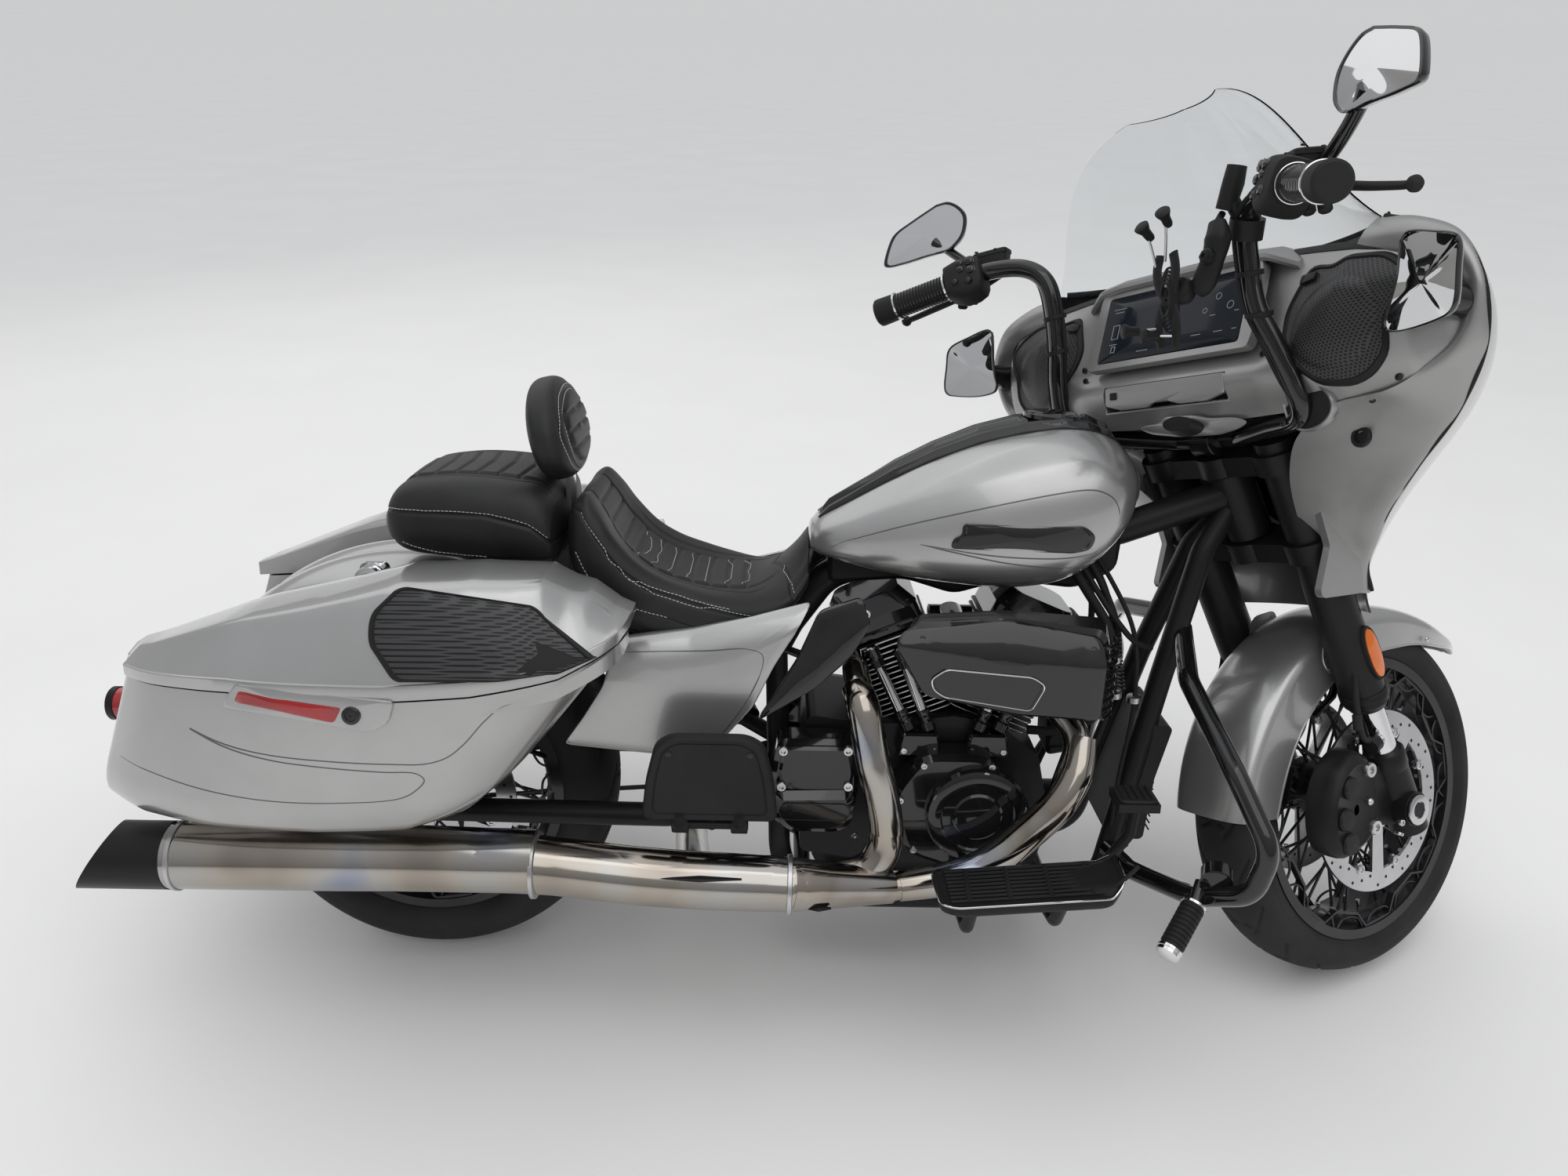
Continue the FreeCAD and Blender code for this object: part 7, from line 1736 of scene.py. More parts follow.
def covers():
    """Cam cover with its round lid, gear cover with a blank plate, tappet blocks, and the primary cover."""
    def wall(rows, low, high, bevel=8, radius=24):
        return plate([(CRANK[0] + x, CRANK[1] + z) for x, z in rows], low, high, "y", bevel, radius)

    shapes = [wall(((105, -30), (95, 70), (55, 125), (-55, 125), (-105, 50), (-75, -60), (15, -90)),
                   -170, -108.7, 10, 30),
              lathe([(-6, 86), (8, 86), (14, 82), (17, 74), (17, 62), (14, 59), (14, 42), (17, 38),
                     (18, 20), (18, 0)], (945, -170, 352), (0, -1, 0), 64),
              wall(((-299, -8), (-167, -8), (-157, 70), (-167, 148), (-293, 148), (-305, 70)),
                   -168, -108.7, 8, 18),
              wall(((-283, 60), (-176, 60), (-166, 92), (-176, 140), (-283, 140), (-292, 92)),
                   -178, -160, 5, 12),
              wall(((-296, 62), (-172, 66), (-164, 46), (-168, 4), (-190, -12), (-272, -12), (-294, 10)),
                   -192, -150, 12, 14)]
    for x in (-57, 57):
        shapes.append(wall(((x - 38, 108), (x + 38, 108), (x + 30, 150), (x - 30, 150)),
                           -140, -108.7, 4, 6))
    left = [wall(((-255, -94), (95, -84), (157, 0), (105, 98), (-235, 138), (-301, 70), (-305, -40)),
                 108.7, 182, 16, 44),
            wall(((-240, -78), (80, -70), (132, 0), (92, 78), (-225, 112), (-280, 62), (-284, -34)),
                 180, 196, 8, 40),
            lathe([(-4, 72), (6, 72), (12, 66), (13, 50), (11, 46), (11, 0)], (905 - 210, 194, 350),
                  (0, 1, 0), 56),
            lathe([(-4, 44), (6, 44), (9, 38), (9, 0)], (905 + 70, 194, 335), (0, 1, 0), 48)]
    piece = mesh_piece("cover_shells", *merged(shapes + left), gloss_black, "chassis",
                       "gloss_black", sharp=30)
    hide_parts("engine_covers")
    silver_bits = []
    for k in range(5):
        a = 2 * np.pi * (k + 0.15) / 5
        silver_bits.append(bolt((945 + 76 * math.cos(a), -180, 352 + 76 * math.sin(a)), (0, -1, 0), 6.5, 5))
    for x, z in ((74, -56), (-52, 108), (60, 108), (-88, 44), (-62, -48), (14, -74), (92, 40)):
        silver_bits.append(bolt((CRANK[0] + x, -170, CRANK[1] + z), (0, -1, 0), 6, 5))
    for x, z in ((-284, 134), (-178, 136), (-286, 70), (-176, 72)):
        silver_bits.append(bolt((CRANK[0] + x, -176, CRANK[1] + z), (0, -1, 0), 8.5, 7))
    for x in (-57, 57):
        for dx in (-26, 26):
            silver_bits.append(bolt((CRANK[0] + x + dx, -139, CRANK[1] + 120), (0, -1, 0), 5.5, 4))
    for k in range(6):
        a = 2 * np.pi * k / 6
        silver_bits.append(bolt((695 + 59 * math.cos(a), 205, 350 + 59 * math.sin(a)), (0, 1, 0), 5, 4))
        silver_bits.append(bolt((905 - 80 + 170 * math.cos(a), 182, 340 + 88 * math.sin(a)),
                                (0, 1, 0), 6, 4))
    silver_bits.append(bolt((640, -214, 250), (0, -1, 0), 7, 6))
    silver_bits.append(bolt((742, -190, 318), (0, -1, 0), 6, 5))
    mesh_piece("cover_bolts", *merged(silver_bits), bright_edge, "chassis")
    ring = rounded(((622, 376), (726, 376), (734, 362), (726, 346), (622, 346), (614, 362)), 10, 6)

    def on_gear(x, z, lift):
        return np.column_stack([x, -192 - lift + 0 * x, z])

    badge = inlay(ring, on_gear, ((1.0, -1), (1.0, 1.4), (0.97, 1.4), (0.96, 0.6), (0.5, 0.6)))
    mesh_piece("gear_blank_plate", *badge, gloss_black, "chassis", "gloss_black", closed=False)
    path = np.concatenate([ring, ring[:1]])
    mesh_piece("gear_plate_rim", *sweep(on_gear(*path.T, 1.5), 0.8, 6, None, (0, 1, 0)),
               dark_steel, "chassis")


def crease(x):
    """Height of the air cleaner's crease at a place along it: a straight fall to the front."""
    return 681 - 31 * (x - 794) / 315


def air_box():
    """Wedge air cleaner: outlines blended from the engine outwards; above the crease the face leans in
    by 0.42 of the height over it."""
    back = ((858, 600), (866, 690), (960, 694), (1084, 690), (1088, 640), (1062, 562),
            (960, 572), (866, 588))
    wide = ((800, 648), (820, 712), (960, 722), (1116, 712), (1130, 660), (1124, 556),
            (1000, 566), (818, 608))
    face = ((786, 682), (802, 702), (960, 716), (1104, 692), (1112, 658), (1110, 560),
            (980, 568), (834, 598))

    def ring(corners, radius):
        return rounded(corners, radius, 7)

    def on_face(x, z, lift):
        return np.column_stack([x, -(258 + lift) + 0.42 * np.clip(z - crease(x), 0, None), z])

    a, b, c = ring(back, 16), ring(wide, 18), ring(face, 14)
    middle = c.mean(0)
    rows = [np.column_stack([a[:, 0], np.full(len(a), -137.0), a[:, 1]]),
            np.column_stack([(a * 0.5 + b * 0.5)[:, 0], np.full(len(a), -168.0),
                             (a * 0.5 + b * 0.5)[:, 1]]),
            np.column_stack([b[:, 0], np.full(len(a), -204.0), b[:, 1]]),
            np.column_stack([(b * 0.5 + c * 0.5)[:, 0], np.full(len(a), -232.0),
                             (b * 0.5 + c * 0.5)[:, 1]]),
            on_face(*c.T, -4)]
    for k, lift in ((0.985, 0), (0.94, 2), (0.8, 2.4), (0.6, 2.6), (0.4, 2.8), (0.2, 3), (0.04, 3)):
        rows.append(on_face(*((c - middle) * k + middle).T, lift))
    n = len(a)
    ends = [list(range(n))[::-1], list(range((len(rows) - 1) * n, len(rows) * n))]
    faces = grid_faces(len(rows), n, wrap_v=True).tolist() + ends
    pipe = sweep([(905, -136, 640), (905, -60, 640), (905, 0, 640)], 27, 28)
    manifold = sweep([(868, 0, 640), (942, 0, 640)], 21, 24)
    piece = mesh_piece("air_box", *merged([(np.array(rows).reshape(-1, 3), faces), pipe, manifold]),
                       gloss_black, "chassis", "gloss_black", sharp=25)
    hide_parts("air_cleaner")
    panel = rounded(((843, 628), (866, 645), (999, 634), (1019, 620), (999, 578), (866, 599),
                     (848, 611)), 9, 6)
    plate_ = inlay(panel, on_face, ((1.0, 1), (1.0, 5), (0.985, 6), (0.96, 6), (0.95, 5), (0.5, 5)))
    mesh_piece("air_panel", *plate_, gloss_black, "chassis", "gloss_black", closed=False)
    path = np.concatenate([panel, panel[:1]])
    mesh_piece("air_panel_rim", *sweep(on_face(*path.T, 5.6), 1.25, 8, None, (0, 1, 0)), chrome,
               "chassis", "chrome")
    slats = []
    for k in range(9):
        z = 562 + k * 14.5
        slats.append(sweep([(1112, -250, z), (1128, -232, z + 1), (1134, -204, z + 2)], 3.2, 8, 12,
                           (0, 0, 1), (1.6, 0.8)))
    mesh_piece("air_louvres", *merged(slats), gloss_black, "chassis", "gloss_black")
    screws = [bolt((x, -257 + 0.42 * max(z - crease(x), 0), z), (0, -1, 0), 5, 3)
              for x, z in ((828, 690), (1090, 676))]
    mesh_piece("air_screws", *merged(screws), dark_steel, "chassis")


def deflectors():
    """Folded wing under the tank, ahead of the side cover: a ridge runs from its top to its lower tip."""
    ring = rounded(((672, 716), (738, 742), (752, 700), (722, 646), (668, 594), (578, 536), (640, 640)),
                   12, 7)

    def at(x, z, lift):
        ridge = (x - 700) * -0.55 + (z - 640) * 0.52
        return np.column_stack([x, -(214 + lift) - 14 * np.exp(-(ridge / 34) ** 2), z])

    shell = inlay(ring, at, ((0.97, -14), (1.0, -11), (1.0, -3), (0.985, 0), (0.94, 1.5), (0.8, 2),
                             (0.6, 2), (0.4, 2), (0.2, 2), (0.04, 2)))
    base = inlay(ring, at, ((0.97, -14), (0.5, -16), (0.04, -16)))
    piece = mesh_piece("deflector_wings", *both(merged([shell, base])), gloss_black, "chassis",
                       "gloss_black", sharp=40, closed=False)
    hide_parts("mid_deflectors")
    struts = sweep([(700, -150, 716), (720, -214, 712)], 5, 10)
    cap = bolt((744, -218, 716), (0, -1, 0), 7, 5)
    mesh_piece("deflector_stays", *both(struts), satin_black, "chassis", "satin_black")
    mesh_piece("deflector_bolts", *both(cap), bright_edge, "chassis")


def side_panels():
    """Side covers: a smooth skin with a rolled upper edge and a dark line painted round its inset as the
    shade of a groove.
    """
    ring = rounded(((350, 654), (470, 672), (560, 690), (662, 718), (640, 680), (604, 620), (572, 552),
                    (530, 500), (492, 458), (400, 464), (266, 478), (300, 528), (334, 584)), 12, 5)

    def at(x, z, lift):
        top = np.interp(x, (330, 470, 660), (654, 672, 716))
        roll = np.clip(1 - (top - z) / 42, 0, 1)
        return np.column_stack([x, -(196 + lift) - 7 * np.sin(np.clip((z - 460) / 200, 0, 1) * np.pi)
                                + 26 * roll**2, z])

    shell = inlay(ring, at, ((0.985, -8), (1.0, -5), (1.0, -1), (0.99, 1), (0.96, 2), (0.85, 2.4),
                             (0.7, 2.4), (0.5, 2.4), (0.3, 2.4), (0.1, 2.4), (0.02, 2.4)))
    base = inlay(ring, at, ((0.985, -8), (0.5, -9), (0.03, -9)))
    piece = mesh_piece("cover_skins", *both(merged([shell, base])), silver, "chassis", "silver_paint",
                       sharp=40, closed=False)
    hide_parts("side_covers")
    # The skin has no groove here: a dark ribbon in the line paint stands for its shade, painted shade.
    line = curve_through(((338, 636), (420, 640), (500, 644), (560, 648), (584, 640), (586, 622),
                          (560, 560), (520, 500), (500, 472)), 90)
    path = at(line[:, 0], line[:, 1], 2.6)
    groove_shade = painted_line(path, np.tile((0.0, -1.0, 0.0), (90, 1)),
                          np.interp(np.arange(90), (0, 8, 84, 89), (1, 2.2, 2.2, 1)))
    mesh_piece("cover_groove_shade_lines", *both(groove_shade), stripe_and_groove_shade, "chassis", "silver_paint", sharp=0, closed=False)


def exhaust_details():
    """Shields, clamps and joint rings on the pipes, with dark bars painted as the shade in their slots."""
    shields = [sweep([(736, -176, 574), (744, -204, 562), (764, -228, 470), (778, -232, 420),
                      (790, -234, 350), (783, -238, 312), (760, -242, 286), (716, -250, 275),
                      (690, -258, 272)], (24, 27.5, 27.5, 27.5, 27.5, 27.5, 27.5, 27, 24), 36, 140),
               sweep([(1104, -186, 500), (1092, -214, 450), (1062, -230, 400), (1010, -231, 340),
                      (985, -232, 315), (940, -236, 286), (880, -242, 268), (812, -254, 262)],
                     (24, 27.5, 27.5, 27.5, 27.5, 27.5, 27, 24), 36, 140)]
    skin = sweep([(800, -256, 262), (760, -264, 268), (700, -280, 278), (640, -296, 289), (560, -299, 293),
                  (420, -300, 300), (250, -300, 318), (150, -300, 325), (-330, -300, 325)],
                 (26, 34, 42, 45, 45, 45, 50, 52, 52), 48, 200)
    mesh_piece("pipe_shields", *merged(shields), pipe_steel, "chassis", "brushed_pipe", sharp=50)
    mesh_piece("muffler_skin", *skin, pipe_steel, "chassis", "brushed_pipe", sharp=50)
    left = sweep([(240, 300, 318), (150, 300, 325), (-330, 300, 325)], (45, 51, 52), 48, 60)
    mesh_piece("muffler_skin_left", *left, pipe_steel, "chassis", "brushed_pipe", sharp=50)
    rings = []
    for x, r, z in ((634, 45.4, 291), (236, 51, 319), (-318, 53, 325)):
        rings.append(lathe([(-4, r), (-3, r + 1.6), (3, r + 1.6), (4, r)], (x, -300, z), (1, 0, -0.02), 48))
        if x < 300:
            rings.append(lathe([(-4, r), (-3, r + 1.6), (3, r + 1.6), (4, r)], (x, 300, z),
                               (1, 0, -0.02), 48))
    mesh_piece("muffler_rings", *merged(rings), steel, "chassis")
    # The slots are not cut: satin black bars stand in for them as painted shade.
    slot_shades = []
    for x0, x1, z, y in ((560, 430, 321, -336), (700, 660, 262, -320)):
        slot_shades.append(sweep([(x0, y, z), ((x0 + x1) / 2, y - 2, z + 1), (x1, y, z)], (2, 7, 2), 12, 30,
                           (0, 1, 0), (0.5, 1.3)))
    mesh_piece("shield_slot_shades", *merged(slot_shades), satin_black, "chassis", "satin_black")


def boards():
    """Floorboards with ribbed pads and bright trim; folded passenger boards with framed pads."""
    pans, ribs, trims = [], [], []
    plan = rounded(((858, -290), (862, -378), (884, -392), (1120, -392), (1140, -372), (1142, -296),
                    (1120, -284), (880, -284)), 14, 6)

    def top(x):
        return np.interp(x, (850, 864, 1118, 1150, 1170), (305, 308, 331, 362, 380))

    def at(x, y, lift):
        return np.column_stack([x, y, top(x) + lift])

    pans.append(inlay(plan, at, ((0.94, -16), (0.985, -12), (1.0, -5), (1.0, 1), (0.985, 3), (0.96, 3),
                                 (0.95, 1.5), (0.3, 1.5))))
    pans.append(inlay(plan, at, ((0.94, -16), (0.1, -17))))
    for k in range(9):
        y = -376 + k * 10.5
        ribs.append(sweep([(878, y, top(878) + 3.4), (1000, y, top(1000) + 3.4),
                           (1112, y, top(1112) + 3.4)], 3.4, 8, 30, (0, 1, 0), (0.8, 0.8)))
    for k in range(4):
        x = 905 + k * 62
        ribs.append(sweep([(x, -378, top(x) + 3.0), (x + 6, -292, top(x + 6) + 3.0)], 4.4, 8, 10))
    loop = np.concatenate([plan, plan[:1]])
    trims.append(sweep(at(loop[:, 0], loop[:, 1], 1.6), 1.5, 8, None))
    heel = [sweep([(1120, -372, 336), (1142, -370, 358), (1158, -366, 374)], 3.2, 8, 14),
            sweep([(1120, -300, 336), (1142, -300, 358), (1158, -302, 374)], 3.2, 8, 14)]
    piece = mesh_piece("board_pans", *both(merged(pans)), satin_black, "chassis", "satin_black", sharp=35,
                       closed=False)
    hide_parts("floorboards")
    mesh_piece("board_ribs", *both(merged(ribs + heel)), rubber, "chassis", "black_rubber")
    mesh_piece("board_trims", *both(merged(trims)), chrome, "chassis", "chrome")
    shape = rounded(((402, 400), (614, 400), (606, 470), (592, 526), (566, 541), (448, 541), (424, 526),
                     (410, 470)), 16, 7)

    def face(x, z, lift):
        return np.column_stack([x, -(300 + lift) + 0 * x, z])

    board = [inlay(shape, face, ((0.97, -22), (1.0, -18), (1.0, -4), (0.985, 0), (0.95, 2.5), (0.86, 2.5),
                                 (0.85, 1), (0.835, 1), (0.825, 2.4), (0.3, 2.8))),
             inlay(shape, face, ((0.97, -22), (0.1, -22)))]
    for x in (451, 543):
        board.append(lathe([(-2, 12), (0, 13.5), (22, 13.5), (24, 12)], (x, -288, 388), (1, 0, 0), 28))
        board.append(sweep([(x + 11, -298, 392), (x + 11, -300, 412)], 11, 4))
    hole_shades = [lathe([(0, 5), (1.5, 5), (2.4, 3), (2.4, 0)], (x, -302.4, 515), (0, -1, 0), 16)
            for x in (446, 570)]
    for side, body in ((-1, "passenger_board_right"), (1, "passenger_board_left")):
        piece = mesh_piece(body + "_face", *flipped(merged(board), -side), rubber, body, "black_rubber",
                           sharp=35, closed=False)
        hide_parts(body)
        mesh_piece(body + "_dots", *flipped(merged(hole_shades), -side), dark_steel, body)


def pegs_and_hoses():
    """Highway pegs on the guard, the oil lines, and the cables round the neck."""
    a, b = np.array((1252.0, -360, 306)), np.array((1200.0, -415, 256))
    way = b - a
    length = np.linalg.norm(way)
    rubber_rows = [(2, 17)]
    for k in range(9):
        s = 8 + k * (length - 20) / 9
        rubber_rows += [(s, 18.6), (s + 4.0, 18.6), (s + 5.0, 16.8), (s + 6.0, 16.8)]
    rubber_rows += [(length - 8, 17)]
    mesh_piece("highway_pegs", *both(lathe(rubber_rows, a, way, 28)), rubber, "chassis", "black_rubber")
    rings = [lathe([(-3, 17), (-2, 19.6), (2, 19.6), (3, 17)], a + way / length * s, way, 28)
             for s in (3, length - 6)]
    rings.append(lathe([(-2, 18.4), (4, 18.4), (8, 14), (9, 0)], a + way / length * (length - 2), way, 28))
    mesh_piece("peg_rings", *both(merged(rings)), chrome, "chassis", "chrome")
    joint = lathe([(-14, 21), (-12, 24), (12, 24), (14, 21)], (1284, -350, 346), (0.3, 0.9, 0.2), 28)
    mesh_piece("guard_joints", *both(joint), gloss_black, "chassis", "gloss_black")
    hoses = [sweep([(1096, -44, 800), (1140, -70, 730), (1172, -86, 650), (1172, -96, 540),
                    (1140, -100, 420), (1098, -70, 330), (1070, -30, 296)], 6, 12, 70),
             sweep([(1110, -30, 800), (1160, -60, 730), (1204, -76, 640), (1212, -92, 520),
                    (1196, -104, 380), (1192, -106, 262)], 4, 10, 60),
             sweep([(1060, -60, 800), (1106, -96, 730), (1150, -112, 660), (1162, -118, 600),
                    (1150, -116, 520), (1100, -90, 470), (1040, -70, 460)], 8, 14, 60),
             sweep([(1080, -50, 800), (1130, -96, 720), (1168, -104, 668), (1204, -84, 630),
                    (1240, -60, 610)], 5, 10, 40)]
    spine = plate(((690, 706), (820, 716), (905, 690), (990, 716), (1110, 704), (1176, 738), (1180, 800),
                   (690, 790)), -36, 36, "y", 8, 18)
    block = plate(((1084, 396), (1148, 410), (1160, 610), (1120, 654), (1078, 600)), -42, 42, "y", 6, 14)
    ribs = [plate(((1090, 410 + 22 * k), (1150, 414 + 22 * k), (1152, 420 + 22 * k), (1090, 416 + 22 * k)),
                  -48, 48, "y", 1) for k in range(9)]
    mesh_piece("spine_cover", *merged([spine, block] + ribs), black_plastic, "chassis", "black_plastic")
    mesh_piece("engine_hoses", *merged(hoses + [flipped(h) for h in hoses[:2]]), rubber, "chassis",
               "black_rubber")
    steps = np.linspace(0, 1, 220)
    spring = np.column_stack([1160 + 18 * steps + 9 * np.cos(steps * 90), -112 + 0 * steps
                              + 9 * np.sin(steps * 90), 655 - 100 * steps])
    mesh_piece("spring_sleeve", *sweep(spring, 1.4, 5), dark_steel, "chassis")
    clamps = [lathe([(-6, 9), (-5, 11.5), (5, 11.5), (6, 9)], p, (0.1, 0.1, -1), 20)
              for p in ((1176, -96, 540), (1162, -118, 612), (1211, -90, 530))]
    mesh_piece("hose_clamps", *merged(clamps), steel, "chassis")
    horn = [lathe([(-10, 30), (-6, 46), (0, 48), (4, 46), (6, 30), (10, 12), (11, 0)], (792, 168, 470),
                  (0, 1, 0), 40)]
    mesh_piece("horn_cover", *merged(horn), gloss_black, "chassis", "gloss_black")
    cooler = []
    for k in range(12):
        cooler.append(sweep([(1268 - k * 0.2, -78, 276 + k * 13),
                             (1268 - k * 0.2 + (k > 6) * (k - 6) * 2.5, 78, 276 + k * 13)], (1.6), 6))
    mesh_piece("cooler_slats", *merged(cooler), black_plastic, "chassis", "black_plastic")


fins()
covers()
air_box()
deflectors()
side_panels()
exhaust_details()
boards()
pegs_and_hoses()


# Bags, tail and the small parts

def bag_details():
    """Trim plates with red lens and lock, loudspeaker frames with nets on the lids, hinges, latches."""
    _, grid = tub_shell()
    trim = rounded(((-145, 661), (78, 645), (69, 613), (47, 598), (30, 599), (-170, 624), (-164, 637)),
                   8, 5)
    at = on_skin(grid, (0, 2), (0, -1, 0))
    middle = np.linspace(0.85, 0.05, 9)
    cover = inlay(trim, at, [(1.0, -2), (1.0, 4), (0.985, 6), (0.96, 6.6)] + [(k, 6.6) for k in middle])
    lens = rounded(((-138, 650), (2, 634), (-10, 612), (-146, 634)), 5, 4)
    red = inlay(lens, at, [(1.04, 5), (1.04, 7.0), (1.0, 7.4), (0.98, 8.4)] + [(k, 8.8) for k in middle])
    mesh_piece("bag_trims", *both(cover), silver, "chassis", "silver_paint", closed=False)
    mesh_piece("bag_reflectors", *both(red), reflector_red, "chassis", closed=False)
    lock = lathe([(-6, 13), (3, 13), (4.5, 11), (4.5, 8), (3, 7.4), (3, 2), (2, 2), (2, 0)],
                 (18, -421, 623), (0, -1, 0.1), 32)
    mesh_piece("bag_locks", *both(lock), dark_steel, "chassis")
    lid = refined(refined(lid_grid()))
    frame_line = np.array(((77, -346), (269, -346), (359, -381), (298, -402), (219, -408), (78, -408),
                           (40, -389), (39, -370)), float)
    ring = rounded(frame_line, 10, 6)
    top = on_skin(lid, (0, 1), (0, -0.6, 0.8))
    frame_ = inlay(ring, top, ((1.0, -1), (1.0, 6), (0.985, 8.5), (0.95, 8.5), (0.935, 6), (0.9, 4)))
    net = inlay(ring, top, [(k, 6.0) for k in np.linspace(0.945, 0.04, 24)])
    for side, body in ((-1, "lid_right"), (1, "lid_left")):
        mesh_piece(body + "_grille_frame", *flipped(frame_, -side), black_plastic, body, "black_plastic",
                   closed=False)
        mesh_piece(body + "_grille_net", *flipped(net, -side), speaker_mesh, body, sharp=0, closed=False)
    hinges = []
    for x in (-180, 160):
        z = float(seam_z(x))
        hinges.append(lathe([(-26, 6), (-25, 7), (25, 7), (26, 6)], (x, -201, z), (1, 0, 0), 20))
        hinges.append(plate([(x - 20, z - 26), (x + 20, z - 26), (x + 20, z + 4), (x - 20, z + 4)],
                            -203, -199, "y", 0.8, 4))
    mesh_piece("lid_hinges", *both(merged(hinges)), satin_black, "chassis", "satin_black")
    latch = [plate([(60, 668), (110, 668), (106, 702), (64, 702)], -203, -193, "y", 2, 6)]
    mesh_piece("bag_latches", *both(merged(latch)), satin_black, "chassis", "satin_black")


def tail_details():
    """Rims and ribbed lenses of the tail lamps, blank plate, docking rings and coil springs, a helix
    of 16 turns per length on each shock."""
    rims, lenses, plates, rings = [], [], [], []
    for side in (-1, 1):
        centre = (-466, side * 160, 520)
        rims.append(lathe([(-6, 27.4), (4, 27.6), (6, 26), (6, 23.6), (2, 23)], centre, (-1, 0, 0), 40))
        rows = [(4, 23)]
        for k in range(6):
            r = 21 - 3.2 * k
            rows += [(6.2 + 0.3 * k, r + 1.2), (5.4 + 0.3 * k, r - 0.6)]
        lenses.append(lathe(rows + [(7, 0)], centre, (-1, 0, 0), 40))
    outline = rounded(((-92, 362), (92, 362), (92, 486), (-92, 486)), 10, 5)

    def back(y, z, lift):
        return np.column_stack([-446 - lift + 0 * y, y, z])

    plates.append(inlay(outline, back, ((0.98, -4), (1.0, -2), (1.0, 0), (0.99, 1.2), (0.955, 1.2),
                                        (0.945, 0.5), (0.93, 0.5), (0.92, 1.2), (0.2, 1.2))))
    for y in (-62, 62):
        rings.append(bolt((-447, y, 472), (-1, 0, 0), 6, 4))
    mesh_piece("tail_lamp_rims", *merged(rims), satin_black, "chassis", "satin_black")
    mesh_piece("tail_lamp_lenses", *merged(lenses), reflector_red, "chassis", "red_lens")
    mesh_piece("blank_plate", *merged(plates), white_print, "chassis", closed=False)
    mesh_piece("plate_bolts", *merged(rings), bright_edge, "chassis")
    docks = []
    for side in (-1, 1):
        docks.append(lathe([(-2, 17.5), (-1, 19.5), (4, 19.5), (5, 17.5)], (-34, side * 141, 742),
                           (0, side, 0), 32))
        docks.append(lathe([(-3, 17.5), (-2, 20.5), (3, 20.5), (4, 18), (4, 8), (2, 7), (2, 0)],
                           (-34, side * 170, 742), (0, side, 0), 32))
    mesh_piece("dock_rings", *merged(docks), chrome, "chassis", "chrome")
    shocks = []
    for side in (-1, 1):
        a, b = np.array((60.0, side * 142, 350)), np.array((212.0, side * 142, 600))
        way = b - a
        length = np.linalg.norm(way)
        steps = np.linspace(0.24, 0.80, 260)[:, None]
        u = np.cross(way, (0, 1, 0)) / length
        turns = steps * 2 * np.pi * 16
        coil = a + way * steps + u * 26 * np.cos(turns) + np.array((0, 26.0, 0)) * np.sin(turns)
        shocks.append(sweep(coil, 4.2, 7))
        shocks.append(lathe([(-6, 27), (-4, 33), (4, 33), (6, 27)], a + way * 0.22, way, 32))
        shocks.append(lathe([(-6, 27), (-4, 33), (4, 33), (6, 27)], a + way * 0.82, way, 32))
    mesh_piece("shock_springs", *merged(shocks), gloss_black, "chassis", "gloss_black")


def pedal_details():
    """Ribbed rubber on the brake pedal and the shift peg, and the pedals' pivot bolts."""
    pad = [plate(rounded(((1142, -298), (1202, -298), (1202, -242), (1142, -242)), 12, 5),
                 440, 446, "z", 2)]
    for k in range(5):
        pad.append(sweep([(1150 + k * 11, -292, 446.5), (1150 + k * 11, -248, 446.5)], 2.6, 8))
    mesh_piece("brake_pad", *merged(pad), rubber, "chassis", "black_rubber")
    rows = [(2, 10)]
    for k in range(7):
        rows += [(4 + k * 8, 12.5), (9 + k * 8, 12.5), (10 + k * 8, 10.8), (11 + k * 8, 10.8)]
    peg = lathe(rows + [(60, 10)], (1200, 264, 408), (0, 1, 0), 24)
    mesh_piece("shift_peg", *peg, rubber, "chassis", "black_rubber")
    bits = [bolt((1128, -118, 172), (0, -1, 0), 8, 6), bolt((904, -240, 292), (0, -1, 0), 7, 5)]
    mesh_piece("pedal_bolts", *merged(bits), bright_edge, "chassis")


bag_details()
tail_details()
pedal_details()


# Floor, light and camera

CAMERA_FROM_AXLE = np.array((0.62371, -1.74700, 1.23523))
FOCAL_PX, PHOTO_WIDTH_PX, SENSOR_MM = 1488.3, 2000, 36.0
CAMERA_AXES = ((-0.00144, 0.89700, -0.44204), (0.99995, 0.00557, 0.00805), (-0.00969, 0.44200, 0.89696))
FLOOR_HALF = 300  # metres


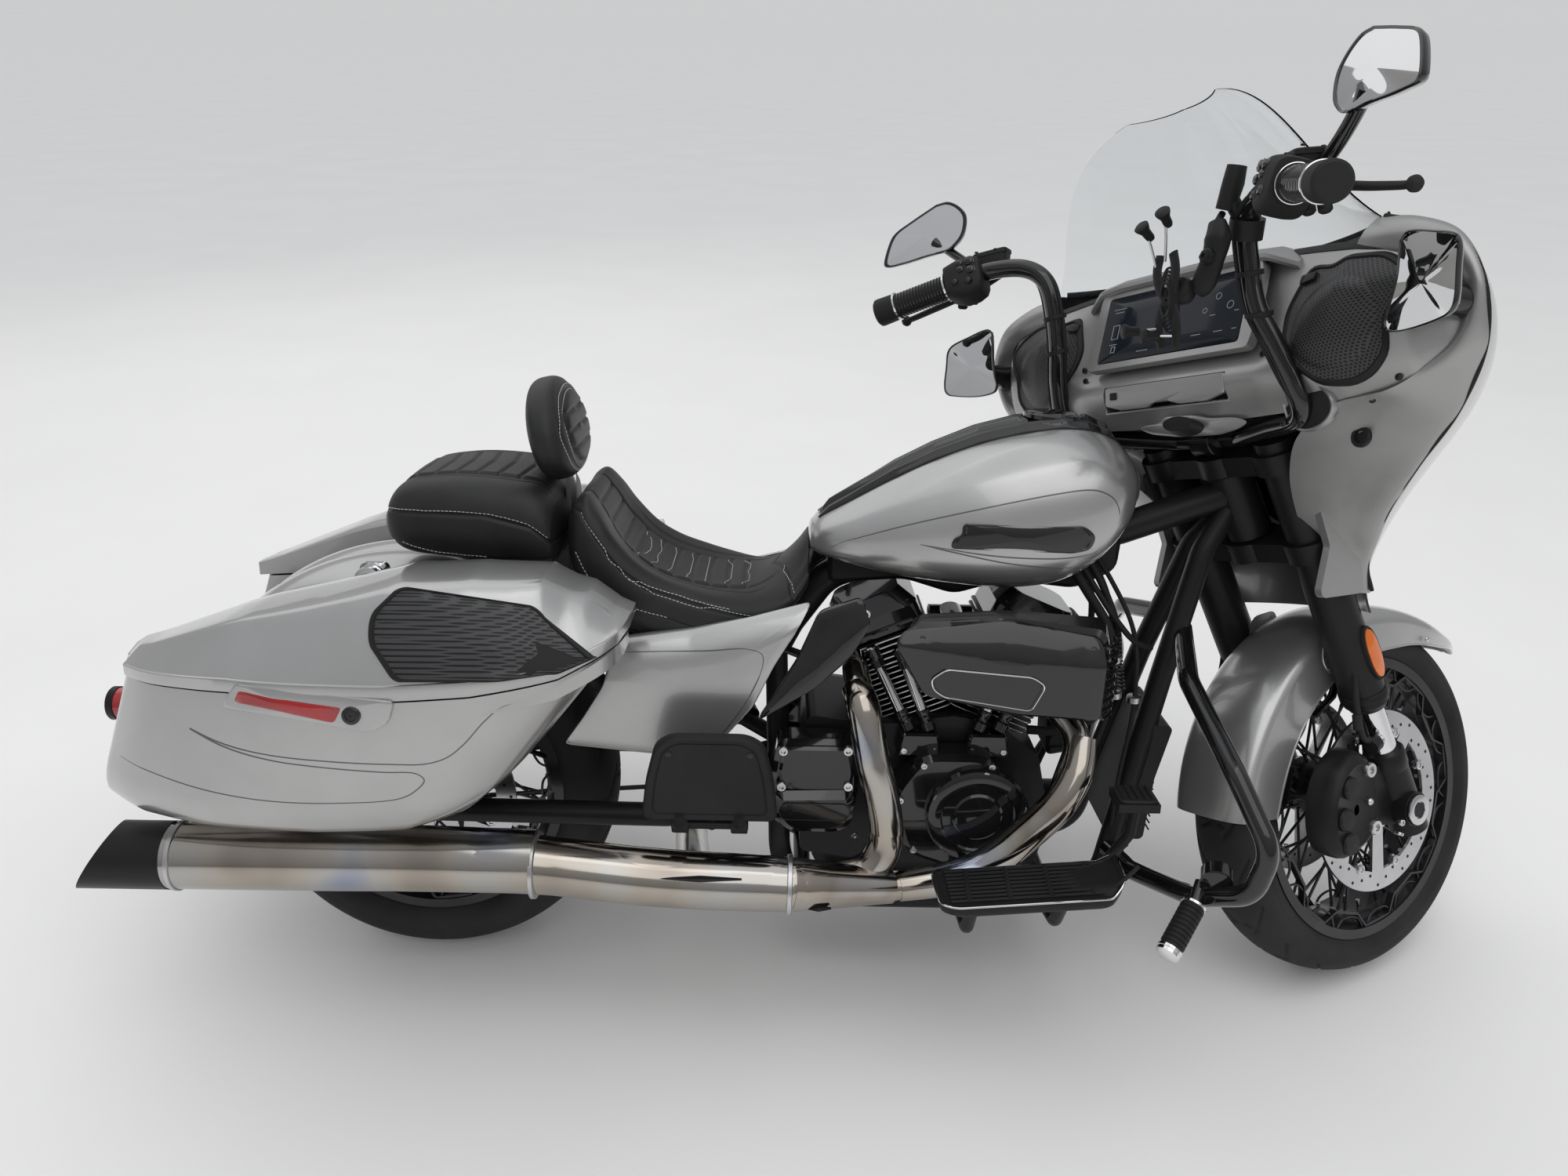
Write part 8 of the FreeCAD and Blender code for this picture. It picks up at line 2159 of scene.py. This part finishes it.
def studio():
    """Pale floor that runs to the horizon, a graded world and three soft lamps."""
    floor = finish("pale_floor", (0.80, 0.79, 0.775), (0.78, 0.77, 0.755), 0.7, 0.0, 0.0, 300,
                   0.02, 0.05, 1.5)
    data = bpy.data.meshes.new("floor")
    corners = [(x * FLOOR_HALF, y * FLOOR_HALF, 0) for x, y in ((-1, -1), (1, -1), (1, 1), (-1, 1))]
    data.from_pydata(corners, [], [(0, 1, 2, 3)])
    data.materials.append(floor)
    sheet = bpy.data.objects.new("floor", data)
    bpy.context.scene.collection.objects.link(sheet)
    world = bpy.data.worlds.new("studio")
    bpy.context.scene.world = world
    world.use_nodes = True
    tree = world.node_tree
    background = tree.nodes["Background"]
    where = node(tree, "TexCoord").outputs["Generated"]
    height = node(tree, "SeparateXYZ", {"Vector": where}).outputs["Z"]
    ramp = node(tree, "ValToRGB", {"Fac": height})
    ramp.color_ramp.elements[0].position, ramp.color_ramp.elements[0].color = 0.0, (0.40, 0.39, 0.375, 1)
    ramp.color_ramp.elements[1].position, ramp.color_ramp.elements[1].color = 0.8, (0.88, 0.90, 0.93, 1)
    ramp.color_ramp.elements.new(0.12).color = (0.55, 0.55, 0.56, 1)
    path = node(tree, "LightPath")
    seen = colour_mix(tree, path.outputs["Is Camera Ray"], ramp.outputs["Color"], (0.60, 0.604, 0.61, 1))
    tree.links.new(seen, background.inputs["Color"])
    strength = node(tree, "Math", {0: path.outputs["Is Glossy Ray"], 1: -0.42, 2: 1.0},
                    operation="MULTIPLY_ADD")
    tree.links.new(strength.outputs[0], background.inputs["Strength"])
    for label, spot, size, power in (("key", (1.0, -3.0, 5.2), 5.0, 80),
                                     ("fill", (-2.5, 3.8, 4.2), 5.0, 40),
                                     ("top", (-0.3, 0.4, 5.4), 4.5, 30)):
        lamp = bpy.data.lights.new(label, "AREA")
        lamp.size, lamp.energy = size, power
        holder = bpy.data.objects.new(label, lamp)
        bpy.context.scene.collection.objects.link(holder)
        toward = Vector((0, 0, 0.6)) - Vector(spot)
        holder.matrix_world = (Matrix.Translation(spot)
                               @ toward.to_track_quat("-Z", "Y").to_matrix().to_4x4())


def camera():
    """The photograph's view: behind the shoulder of someone standing on the right, looking down."""
    forward, right, up = CAMERA_AXES
    lens = bpy.data.cameras.new("view")
    lens.sensor_width = SENSOR_MM
    lens.lens = SENSOR_MM * FOCAL_PX / PHOTO_WIDTH_PX
    lens.clip_end = 900
    eye = bpy.data.objects.new("view", lens)
    bpy.context.scene.collection.objects.link(eye)
    rear = np.array(JOINT["rear_wheel_spin"]["pos_m"])
    at = rear + CAMERA_FROM_AXLE
    matrix = np.eye(4)
    matrix[:3, 0], matrix[:3, 1], matrix[:3, 2], matrix[:3, 3] = right, up, -np.array(forward), at
    eye.matrix_world = Matrix(matrix.tolist())
    bpy.context.scene.camera = eye


studio()
camera()
bpy.context.scene.view_settings.view_transform = "Standard"
